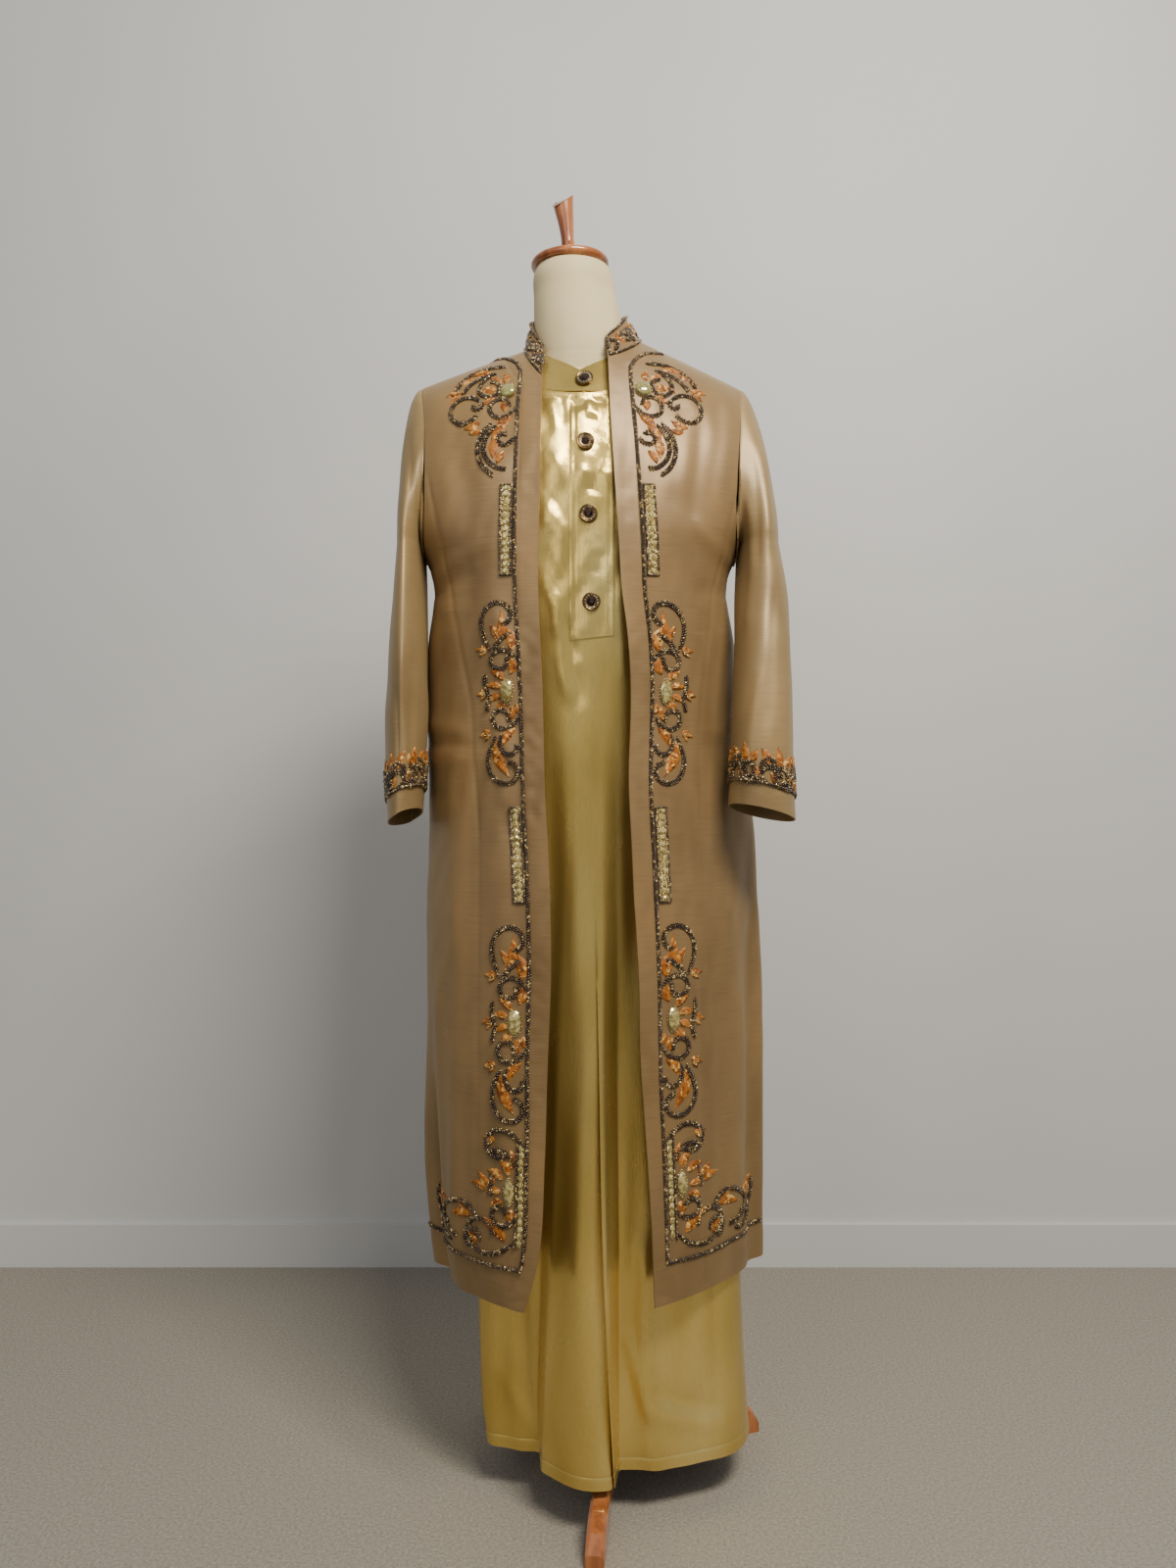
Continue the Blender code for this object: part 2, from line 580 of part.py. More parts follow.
def inner_edge(garment, side, face):
    """A panel's inner edge above the underarm: the middle or the front edge, and then the neckline."""
    ring = COAT_NECK if garment is COAT else THOBE_NECK
    if face == "back":
        start = row_share(BACK_NECK_ROW)
    else:
        start = row_share(COAT_NECK_ROW if garment is COAT else THOBE_NECK_ROW)
    if garment is COAT and face == "front":
        top_x = float(EDGES[side][-1])
        first = math.asin((top_x - ring["x"]) / (neck_point(COAT, side)[0] - ring["x"]))
    else:
        first = 0.0
    top_z = float(neckline(garment, side, face, first)[1])
    turns = np.linspace(first, math.pi / 2, 400)
    curve_x, curve_z = neckline(garment, side, face, turns)
    curve_y = dome(garment, face, curve_x, curve_z)
    steps = np.sqrt(np.diff(curve_x) ** 2 + np.diff(curve_y) ** 2 + np.diff(curve_z) ** 2)
    run = np.concatenate([[0], np.cumsum(steps)])

    def edge(share):
        below = np.clip(share / start, 0, 1)
        turn = np.interp(run[-1] * np.clip((share - start) / (1 - start), 0, 1), run, turns)
        neck_x, neck_z = neckline(garment, side, face, turn)
        straight_z = UNDERARM + (top_z - UNDERARM) * below
        if garment is COAT and face == "front":
            straight_x = smooth(straight_z, EDGES["z"], EDGES[side])
        else:
            straight_x = centre(UNDERARM) + (ring["x"] - centre(UNDERARM)) * below
        low = share < start
        return np.where(low, straight_x, neck_x), np.where(low, straight_z, neck_z)
    return edge


def panel(garment, side, face, columns):
    """A half panel's grid, from the hem up, and from its inner edge to its side seam and armhole."""
    heights = COAT_ROWS if garment is COAT else THOBE_ROWS
    inner = inner_edge(garment, side, face)
    rows = [trunk(garment, side, row_places(garment, side, face, z, columns), z) for z in heights[:-1]]
    return np.concatenate([np.array(rows), patch(garment, side, face, inner, columns)])


def normals(grid, closed=False):
    """Unit normals of a grid by differences along its rows and columns."""
    if closed:
        along = np.roll(grid, -1, axis=1) - np.roll(grid, 1, axis=1)
    else:
        along = np.gradient(grid, axis=1)
    up = np.gradient(grid, axis=0)
    cross = np.cross(along, up)
    length = np.linalg.norm(cross, axis=-1, keepdims=True)
    return cross / np.maximum(length, 1e-12)


def shrink_edges(grid, sides):
    """Pulls the named edges of a grid in by half a seam gap."""
    grid = grid.copy()
    for name in sides:
        edge, inner = {
            "last": ((slice(None), -1), (slice(None), -2)),
            "top": ((-1, slice(None)), (-2, slice(None))),
        }[name]
        step = grid[inner] - grid[edge]
        length = np.linalg.norm(step, axis=-1, keepdims=True)
        grid[edge] = grid[edge] + step / length * (SEAM_GAP / 2)
    return grid


MATERIALS = {}


def material(name, colour, roughness, metallic=0.0):
    if name not in MATERIALS:
        made = bpy.data.materials.new(name)
        made.use_nodes = True
        shader = made.node_tree.nodes["Principled BSDF"]
        shader.inputs["Base Color"].default_value = (*colour, 1.0)
        shader.inputs["Roughness"].default_value = roughness
        shader.inputs["Metallic"].default_value = metallic
        MATERIALS[name] = made
    return MATERIALS[name]


def taffeta():
    return material("taffeta", (0.22, 0.13, 0.06), 0.45)


def satin():
    return material("satin", (0.50, 0.40, 0.12), 0.25)


def cord_beads():
    return material("cord_beads", (0.05, 0.03, 0.01), 0.5, 0.3)


def gold_beads():
    return material("gold_beads", (0.55, 0.42, 0.12), 0.25, 0.8)


def crystal():
    return material("crystal", (0.55, 0.55, 0.25), 0.08)


def wood():
    return material("wood", (0.32, 0.11, 0.03), 0.25)


def jersey():
    return material("jersey", (0.70, 0.60, 0.40), 0.9)


def add_object(name, points, faces, finish, round_shape=True):
    mesh = bpy.data.meshes.new(name)
    mesh.from_pydata([tuple(p) for p in points], [], [tuple(f) for f in faces])
    mesh.materials.append(finish)
    if round_shape:
        mesh.shade_smooth()
        mesh.set_sharp_from_angle(angle=math.radians(50))
    made = bpy.data.objects.new(name, mesh)
    bpy.context.scene.collection.objects.link(made)
    made.parent = FRAME
    return made


def wall(name, inner, outer, finish, closed=False):
    """A closed wall between two grids of one size."""
    rows, columns = inner.shape[:2]
    points = np.concatenate([inner.reshape(-1, 3), outer.reshape(-1, 3)])
    shift = rows * columns
    faces = []
    last = columns if closed else columns - 1
    for r in range(rows - 1):
        for c in range(last):
            a = r * columns + c + shift
            b = r * columns + (c + 1) % columns + shift
            for triangle in split_quad(points, (a, b, b + columns, a + columns)):
                faces.append(triangle)
                faces.append(tuple(v - shift for v in triangle[::-1]))
    for c in range(last):
        a, b = c, (c + 1) % columns
        faces.append((a, b, b + shift, a + shift))
        top = (rows - 1) * columns
        faces.append((top + b, top + a, top + a + shift, top + b + shift))
    if not closed:
        for r in range(rows - 1):
            a, d = r * columns, (r + 1) * columns
            faces.append((d, a, a + shift, d + shift))
            a, d = a + columns - 1, d + columns - 1
            faces.append((a, d, d + shift, a + shift))
    made = add_object(name, points, faces, finish)
    orient(made)
    return made


def split_quad(points, quad):
    """A quad's two triangles, cut along its shorter diagonal, which a wall's two faces share."""
    a, b, c, d = quad
    if math.dist(points[a], points[c]) <= math.dist(points[b], points[d]):
        return (a, b, c), (a, c, d)
    return (a, b, d), (b, c, d)


def orient(made):
    """Turns all faces out."""
    edit = bmesh.new()
    edit.from_mesh(made.data)
    bmesh.ops.recalc_face_normals(edit, faces=edit.faces)
    edit.to_mesh(made.data)
    edit.free()


def joined_wall(name, halves, finish):
    """A closed wall from two half panels, each an (inner, outer) pair of grids, that share their middle."""
    points, faces, known = [], [], {}
    for inner, outer, flip in halves:
        rows, columns = inner.shape[:2]
        index = np.zeros((rows, columns), int)
        for r in range(rows):
            for c in range(columns):
                key = tuple(np.round(inner[r, c], 6))
                if key not in known:
                    known[key] = len(points)
                    points.append((inner[r, c], outer[r, c]))
                index[r, c] = known[key]
        for r in range(rows - 1):
            for c in range(columns - 1):
                face = [index[r, c], index[r, c + 1], index[r + 1, c + 1], index[r + 1, c]]
                faces.append(face[::-1] if flip else face)
    count = len(points)
    outer_points = [outer for _, outer in points]
    triangles = [triangle for face in faces for triangle in split_quad(outer_points, face)]
    open_edges = {}
    for face in faces:
        for a, b in zip(face, face[1:] + face[:1]):
            if (b, a) in open_edges:
                del open_edges[(b, a)]
            else:
                open_edges[(a, b)] = True
    solid = [face[::-1] for face in triangles] + [tuple(v + count for v in face) for face in triangles]
    solid += [(a, b, b + count, a + count) for a, b in open_edges]
    orient(add_object(name, [inner for inner, _ in points] + outer_points, solid, finish))


class Panel:
    """A sewn panel: its outer grid, which trim follows, and how to find a place on it."""

    def __init__(self, inner, facing, thickness):
        self.facing = facing
        self.normal = facing * normals(inner)
        self.inner = inner
        self.outer = inner + thickness * self.normal
        steps = np.linalg.norm(np.diff(self.outer, axis=1), axis=-1)
        self.run = np.concatenate([np.zeros((len(inner), 1)), np.cumsum(steps, axis=1)], axis=1)

    def column(self, from_edge):
        """The column index in each row that lies this far from the panel's first edge."""
        index = np.arange(self.outer.shape[1], dtype=float)
        return np.array([np.interp(from_edge, run, index) for run in self.run])

    def sample(self, row, column, lift):
        r = int(min(max(math.floor(row), 0), self.outer.shape[0] - 2))
        c = int(min(max(math.floor(column), 0), self.outer.shape[1] - 2))
        u, v = row - r, column - c
        weights = ((1 - u) * (1 - v), (1 - u) * v, u * (1 - v), u * v)
        corners = ((r, c), (r, c + 1), (r + 1, c), (r + 1, c + 1))
        point = sum(w * self.outer[k] for w, k in zip(weights, corners))
        normal = sum(w * self.normal[k] for w, k in zip(weights, corners))
        normal = normal / np.linalg.norm(normal)
        return point + lift * normal

    def place(self, from_edge, height, lift=0.0):
        """The point that lies this far from the first edge, at this height, lifted off the cloth."""
        columns = self.column(from_edge)
        heights = np.array([np.interp(c, np.arange(self.outer.shape[1]), self.outer[k, :, 2])
                            for k, c in enumerate(columns)])
        row = float(np.interp(height, heights, np.arange(len(heights))))
        column = float(np.interp(row, np.arange(len(columns)), columns))
        return self.sample(row, column, lift)


def sewn(name, grid, facing, thickness, finish):
    made = Panel(grid, facing, thickness)
    wall(name, made.inner, made.outer, finish)
    return made


def facet_tree(cloth):
    """The panel's outer face as the triangles that its wall is built of."""
    rows, columns = cloth.outer.shape[:2]
    points = [tuple(p) for p in cloth.outer.reshape(-1, 3)]
    triangles = []
    for r in range(rows - 1):
        for c in range(columns - 1):
            a = r * columns + c
            triangles += split_quad(points, (a, a + 1, a + columns + 1, a + columns))
    return BVHTree.FromPolygons(points, triangles)


def seated_lift(cloth, grid, normal):
    """How far a grid that lies on a panel has to be lifted to stay clear of the panel's flat facets."""
    tree = facet_tree(cloth)
    worst = 0.0
    for r in range(grid.shape[0] - 1):
        for c in range(grid.shape[1] - 1):
            out = normal[r, c] / np.linalg.norm(normal[r, c])
            for u in np.linspace(0, 1, 9):
                for v in np.linspace(0, 1, 9):
                    spot = ((1 - u) * (1 - v) * grid[r, c] + (1 - u) * v * grid[r, c + 1]
                            + u * (1 - v) * grid[r + 1, c] + u * v * grid[r + 1, c + 1])
                    hit = tree.ray_cast(tuple(spot + 0.01 * out), tuple(-out))[0]
                    if hit is not None:
                        worst = max(worst, float(np.dot(np.array(hit) - spot, out)))
    return 1.3 * worst + TRIM_GAP


def laid_on(name, cloth, spots, heights, finish):
    """A raised piece on a panel: a grid of (from edge, z) spots, and how far each stands up."""
    low = np.array([[cloth.place(d, z, 0.0) for d, z in row] for row in spots])
    ahead = np.array([[cloth.place(d, z, 1.0) for d, z in row] for row in spots])
    normal = ahead - low
    lift = seated_lift(cloth, low, normal)
    low = low + lift * normal
    wall(name, low, low + heights[..., None] * normal, finish)
    return lift


def trim_strip(name, cloth, route, half_width, height, finish):
    """A raised band on a panel along a route of (from edge, height) pairs."""
    route = np.array(route)
    step = np.gradient(route, axis=0)
    step = step / np.linalg.norm(step, axis=1, keepdims=True)
    across = np.stack([step[:, 1], -step[:, 0]], axis=1)
    spots = [[tuple(p + s * half_width * a) for s in (-1, 1)] for p, a in zip(route, across)]
    laid_on(name, cloth, spots, np.full((len(spots), 2), height), finish)


def applique(name, cloth, outline, height, finish, columns):
    """A thick embroidered motif: rows of (height, nearest to the edge, furthest from it)."""
    spots = [[(d, z) for d in np.linspace(near, far, columns + 1)] for z, near, far in outline]
    heights = np.full((len(spots), columns + 1), height)
    heights[:, [0, -1]] *= 0.55
    return laid_on(name, cloth, spots, heights, finish)


def gem(name, cloth, from_edge, height, half_width, half_height, thick, base, finish, sides=10):
    """A faceted stone: a girdle, a smaller table, and a flat back."""
    rings = []
    for share, lift in ((0.86, base), (1.0, base + 0.35 * thick), (0.55, base + thick)):
        ring = []
        for k in range(sides):
            turn = 2 * math.pi * k / sides
            across = from_edge + share * half_width * math.cos(turn)
            up = height + share * half_height * math.sin(turn)
            ring.append(cloth.place(across, up, lift))
        rings.append(ring)
    points = np.array(rings).reshape(-1, 3)
    faces = [tuple(range(sides))[::-1], tuple(2 * sides + k for k in range(sides))]
    for level in (0, 1):
        for k in range(sides):
            a, b = level * sides + k, level * sides + (k + 1) % sides
            faces.append((a, b, b + sides, a + sides))
    made = add_object(name, points, faces, finish, round_shape=False)
    orient(made)


def turned(name, profile, finish, sides=28, place=(0.0, 0.0), lean=0.0):
    """A solid turned about a vertical axis: profile rows of (radius, z), the first and last on the axis."""
    points, rings = [], []
    for radius, z in profile:
        x = place[0] + lean * (z - profile[0][1])
        if radius == 0:
            rings.append([len(points)])
            points.append((x, place[1], z))
            continue
        rings.append(list(range(len(points), len(points) + sides)))
        for k in range(sides):
            turn = 2 * math.pi * k / sides
            points.append((x + radius * math.cos(turn), place[1] + radius * math.sin(turn), z))
    faces = []
    for low, high in zip(rings, rings[1:]):
        for k in range(sides):
            a, b = low[k % len(low)], low[(k + 1) % len(low)]
            d, e = high[k % len(high)], high[(k + 1) % len(high)]
            face = [a, b, e, d]
            faces.append(tuple(v for i, v in enumerate(face) if v not in face[:i]))
    made = add_object(name, points, faces, finish)
    orient(made)
    return made


def clear_scene():
    for thing in list(bpy.data.objects):
        bpy.data.objects.remove(thing, do_unlink=True)


clear_scene()
FRAME = bpy.data.objects.new("frame", None)
FRAME.location = (STAND_SHIFT[0], STAND_SHIFT[1], 0.0)
bpy.context.scene.collection.objects.link(FRAME)


# The coat's panels
def coat_panels():
    made = {}
    for side, facing in (("left", -1.0), ("right", 1.0)):
        grid = shrink_edges(panel(COAT, side, "front", COAT_FRONT_COLUMNS), ("last", "top"))
        made[side] = sewn(f"coat_front_{side}", grid, facing, COAT_WALL, taffeta())
    made["back"] = joined_panel("coat_back", COAT, "back", COAT_BACK_COLUMNS, COAT_WALL, taffeta())
    return made


def joined_panel(name, garment, face, columns, thickness, finish):
    """A panel cut on the fold: its two halves share the points of the middle, below the neckline."""
    halves, grids = [], {}
    for side in ("left", "right"):
        grid = shrink_edges(panel(garment, side, face, columns // 2), ("last", "top"))
        facing = (-1.0 if side == "left" else 1.0) * (1.0 if face == "front" else -1.0)
        grids[side] = (grid, facing * normals(grid))
    shared = np.all(np.abs(grids["left"][0][:, 0] - grids["right"][0][:, 0]) < 1e-7, axis=1)
    middle = grids["left"][1][shared, 0] + grids["right"][1][shared, 0]
    middle = middle / np.linalg.norm(middle, axis=-1, keepdims=True)
    for side in ("left", "right"):
        grids[side][1][shared, 0] = middle
        grid, normal = grids[side]
        halves.append((grid, grid + thickness * normal, side == "left"))
    joined_wall(name, halves, finish)
    grid = np.concatenate([grids["left"][0][:, ::-1], grids["right"][0][:, 1:]], axis=1)
    whole = Panel(grid, 1.0 if face == "front" else -1.0, thickness)
    whole.halves = {side: (grids[side][0], grids[side][0] + thickness * grids[side][1]) for side in grids}
    return whole


def thobe_panels():
    return {
        "front": joined_panel("thobe_front", THOBE, "front", THOBE_FRONT_COLUMNS, THOBE_WALL, satin()),
        "back": joined_panel("thobe_back", THOBE, "back", THOBE_BACK_COLUMNS, THOBE_WALL, satin()),
    }


def edge_ring(front, back):
    """The armhole's ring on the two panels: from the tip down the front, and up the back to the tip."""
    ring = np.concatenate([front[:0:-1], back[:-1]])
    ring[0] = (front[-1] + back[-1]) / 2
    ring[len(front) - 1] = (front[0] + back[0]) / 2
    return ring


def sleeve(side, table, armhole_front, armhole_back):
    """One sleeve: rings from the armhole down to the cuff, its grid and its trim."""
    sign = -1.0 if side == "left" else 1.0
    rows = rows_of(table[::-1], SLEEVE_COLUMNS)
    start = edge_ring(armhole_front, armhole_back)
    count = len(start)
    turn = 2 * math.pi * np.arange(count) / count
    low_share = ((1 - np.cos(turn)) / 2) ** 3
    away = SEAM_GAP + HEAD_STEP + low_share * UNDERARM_OUT
    start = start + np.stack([sign * away, np.zeros(count), low_share * UNDERARM_UP], axis=-1)

    def ring(z):
        x = smooth(z, rows["z"], rows["x"])
        y = smooth(z, rows["z"], rows["y"])
        wide = smooth(z, rows["z"], rows["half_width"])
        deep = smooth(z, rows["z"], rows["half_depth"])
        square = smooth(z, rows["z"], rows["square"])
        share = ease((rows["z"][-1] - z) / (rows["z"][-1] - rows["z"][0]))
        cos, sin = np.cos(turn), np.sin(turn)
        return np.stack([
            x + sign * wide * np.sign(cos) * np.abs(cos) ** square,
            y - deep * np.sign(sin) * np.abs(sin) ** square,
            z - share * CUFF_TILT * cos + share * CUFF_NOD * sin,
        ], axis=-1)

    top = ring(rows["z"][-1])
    reach = HEAD_PUFF * (1 + np.cos(turn)) / 2
    first = start + np.stack([sign * reach, np.zeros(count), 0.3 * reach], axis=-1)
    last = top + np.array([0.0, 0.0, 1.0]) * (HEAD_FALL * ((1 + np.cos(turn)) / 2) + 0.004)[:, None]
    rings = []
    for t in HEAD_SHARES:
        upper = (1 - t) ** 3 * start + 3 * t * (1 - t) ** 2 * first
        rings.append(upper + 3 * t * t * (1 - t) * last + t**3 * top)
    cuff = rows["z"][0]
    heights = list(SLEEVE_HEIGHTS) + [cuff + h for h in CUFF_TRIM[::-1]] + [cuff]
    rings += [ring(z) for z in heights]
    grid = np.array(rings)
    normal = sign * normals(grid, closed=True)
    wall(f"sleeve_{side}", grid, grid - COAT_WALL * normal, taffeta(), closed=True)
    band = slice(len(rings) - 1 - len(CUFF_TRIM), len(rings) - 1)
    low = grid[band] + 0.0005 * normal[band]
    wall(f"cuff_trim_{side}", low, low + MOTIF_HEIGHT * normal[band], cord_beads(), closed=True)


def neck_ring(fronts, back, start_row):
    """The panels' own neckline points, inner and outer, from the right front round the back to the left."""
    first = len(COAT_ROWS) - 1
    if start_row == THOBE_NECK_ROW:
        first = len(THOBE_ROWS) - 1
    pairs = []
    for side in ("right", "left"):
        inner, outer = fronts[side]
        front = [(inner[r, 0], outer[r, 0]) for r in range(first + start_row, first + PATCH_ROWS + 1)]
        inner, outer = back[side]
        rear = [(inner[r, 0], outer[r, 0]) for r in range(first + PATCH_ROWS, first + BACK_NECK_ROW - 1, -1)]
        joined = [tuple((p + q) / 2 for p, q in zip(front[-1], rear[0]))]
        half = front[:-1] + joined + rear[1:]
        pairs += half if side == "right" else half[::-1][1:]
    return np.array(pairs)


def split_segments(pairs, parts):
    """The same ring with each segment cut into equal parts."""
    made = []
    for a, b in zip(pairs, pairs[1:]):
        made += [a + (b - a) * k / parts for k in range(parts)]
    made.append(pairs[-1])
    return np.array(made)


def away_from_panel(ring, axis_x):
    """At each neckline point, the direction in the panel's surface that leads away from the panel."""
    along = np.gradient(ring[:, 0], axis=0)
    out = ring[:, 1] - ring[:, 0]
    away = np.cross(along, out)
    away = away / np.linalg.norm(away, axis=-1, keepdims=True)
    inwards = np.array([axis_x, 0.0, 0.0]) - ring[:, 0]
    inwards[:, 2] = 0.05
    flip = np.sign(np.sum(away * inwards, axis=-1, keepdims=True))
    return away * flip


def bearing(points, axis_x):
    """Degrees from the front about the neck, + on the right, and on past 180 round to the left front."""
    turn = np.degrees(np.arctan2(points[:, 0] - axis_x, -points[:, 1]))
    turn = np.where(np.arange(len(turn)) > len(turn) / 2, turn % 360, turn)
    return np.degrees(np.unwrap(np.radians(turn)))


def stand_collar(name, ring, top, thickness, rows, finish):
    """A standing collar: a ring of (inner, outer) pairs at its base, and the top edge's inner points."""
    grid = np.array([ring[:, 0] + (top - ring[:, 0]) * k / rows for k in range(rows + 1)])
    normal = normals(grid)
    outer = grid + thickness * normal
    outer[0] = ring[:, 1]
    wall(name, grid, outer, finish)
    made = Panel(grid, 1.0, thickness)
    made.outer = outer
    return made


def coat_collar(left, right, back):
    shape = COAT_COLLAR
    fronts = {"left": (left.inner, left.outer), "right": (right.inner, right.outer)}
    ring = split_segments(neck_ring(fronts, back.halves, COAT_NECK_ROW), 2)
    ring = ring + SEAM_GAP * away_from_panel(ring, COAT_NECK["x"])[:, None]
    base = bearing(ring[:, 0], COAT_NECK["x"])
    tops = rows_of(COAT_COLLAR_TOP, ("base", "turn", "z"))
    ends = (base[0], 90.0, 180.0, 270.0, base[-1])
    turn = np.interp(base, ends, tops["turn"])
    height = smooth(turn, tops["turn"], tops["z"])
    sin, cos = np.sin(np.radians(turn)), np.cos(np.radians(turn))
    deep = np.where(cos > 0, shape["front"], shape["back"])
    top = np.stack([shape["x"] + shape["half"] * sin, shape["y"] - deep * cos, height], axis=-1)
    return stand_collar("coat_collar", ring, top, COAT_WALL, 3, cord_beads())


def thobe_collar(front, back):
    """The thobe's collar runs right round, and its button end passes over its own beginning."""
    shape = THOBE_COLLAR
    ring = neck_ring(front.halves, back.halves, THOBE_NECK_ROW)
    share = OVERLAP_LENGTH / np.linalg.norm(ring[1, 0] - ring[0, 0])
    ring = split_segments(ring, 2)
    past = [ring[0] + (ring[2] - ring[0]) * share * k / 2 for k in (1, 2)]
    ring = np.concatenate([ring, past])
    ring = ring + SEAM_GAP * away_from_panel(ring, THOBE_NECK["x"])[:, None]
    base = bearing(ring[:, 0], THOBE_NECK["x"])
    over = OVERLAP_STEP * ease((base - OVERLAP_FROM) / (358.0 - OVERLAP_FROM))[:, None]
    out = ring[:, 1] - ring[:, 0]
    out = out / np.linalg.norm(out, axis=-1, keepdims=True)
    ring = ring + (over * out)[:, None]
    tops = rows_of(THOBE_COLLAR_TOP, ("turn", "z"))
    turn = np.radians(base)
    from_front = np.abs((base + 180) % 360 - 180)
    deep = np.where(from_front <= 90, shape["front"], shape["back"])
    top = np.stack([
        shape["x"] + (shape["half"] + over[:, 0]) * np.sin(turn),
        shape["y"] - (deep + over[:, 0]) * np.cos(turn),
        smooth(from_front, tops["turn"], tops["z"]),
    ], axis=-1)
    return stand_collar("thobe_collar", ring, top, THOBE_WALL, 2, satin())


def spot_on_front(cloth, x, z):
    """The row and column of the thobe's front nearest to (x, z) in front view."""
    best = None
    rows, columns = cloth.outer.shape[:2]
    for r in range(rows - 1):
        for c in range(columns - 1):
            a, b, d = cloth.outer[r, c], cloth.outer[r, c + 1], cloth.outer[r + 1, c]
            across = (x - a[0]) / (b[0] - a[0] + 1e-12)
            up = (z - a[2]) / (d[2] - a[2] + 1e-12)
            miss = max(0, -across, across - 1) + max(0, -up, up - 1)
            if best is None or miss < best[0]:
                best = (miss, r + min(max(up, 0), 1), c + min(max(across, 0), 1))
    return best[1], best[2]


def placket(cloth):
    rows = 11
    low, high = [], []
    for k in range(rows + 1):
        z = PLACKET["bottom"] + (PLACKET["top"] - PLACKET["bottom"]) * k / rows
        spots = [spot_on_front(cloth, x, z) for x in np.linspace(PLACKET["left"], PLACKET["right"], 6)]
        low.append([cloth.sample(r, c, 0.0) for r, c in spots])
        high.append([cloth.sample(r, c, 1.0) for r, c in spots])
    low, high = np.array(low), np.array(high)
    normal = high - low
    lift = seated_lift(cloth, low, normal)
    low = low + lift * normal
    wall("thobe_placket", low, low + PLACKET["thick"] * normal, satin())
    return lift + PLACKET["thick"]


def spot_on_collar(collar, x, z):
    """Where a button's flat back lies on the collar, touching its highest point under the button."""
    tree = facet_tree(collar)
    around = [(math.cos(k * math.pi / 4), math.sin(k * math.pi / 4)) for k in range(8)]
    spots = [np.array([x + BUTTON_RADIUS * c, -0.3, z + BUTTON_RADIUS * s]) for c, s in around]
    hits = [tree.ray_cast(tuple(spot), (0.0, 1.0, 0.0))[0] for spot in spots]
    hits = np.array([tuple(hit) for hit in hits if hit is not None])
    middle = hits.mean(axis=0)
    normal = np.linalg.svd(hits - middle)[2][2]
    normal = normal * -np.sign(normal[1])
    reach = ((hits - middle) @ normal).max()
    centre_hit = np.array(tree.ray_cast((x, -0.3, z), (0.0, 1.0, 0.0))[0])
    reach = max(reach, float((centre_hit - middle) @ normal))
    flat = np.array([x, middle[1], z])
    flat = flat - normal * float((flat - middle) @ normal)
    return flat + normal * (reach + BUTTON_GAP), normal


def button(number, cloth, collar, lift, x, z):
    """A flat-backed domed button, turned to lie on the cloth under it."""
    if number == 1:
        point, normal = spot_on_collar(collar, x, z)
    else:
        row, column = spot_on_front(cloth, x, z)
        point = cloth.sample(row, column, lift + BUTTON_GAP)
        ahead = cloth.sample(row, column, 0.01)
        normal = ahead - cloth.sample(row, column, 0.0)
        normal = normal / np.linalg.norm(normal)
    profile = [(radius * BUTTON_RADIUS, height * BUTTON_THICK) for radius, height in BUTTON_ROWS]
    made = turned(f"button_{number}", profile, crystal(), 16)
    side = np.cross([0, 0, 1.0], normal)
    side = side / np.linalg.norm(side)
    up = np.cross(normal, side)
    matrix = np.stack([side, up, normal], axis=1)
    for vertex in made.data.vertices:
        vertex.co = tuple(matrix @ np.array(vertex.co) + point)


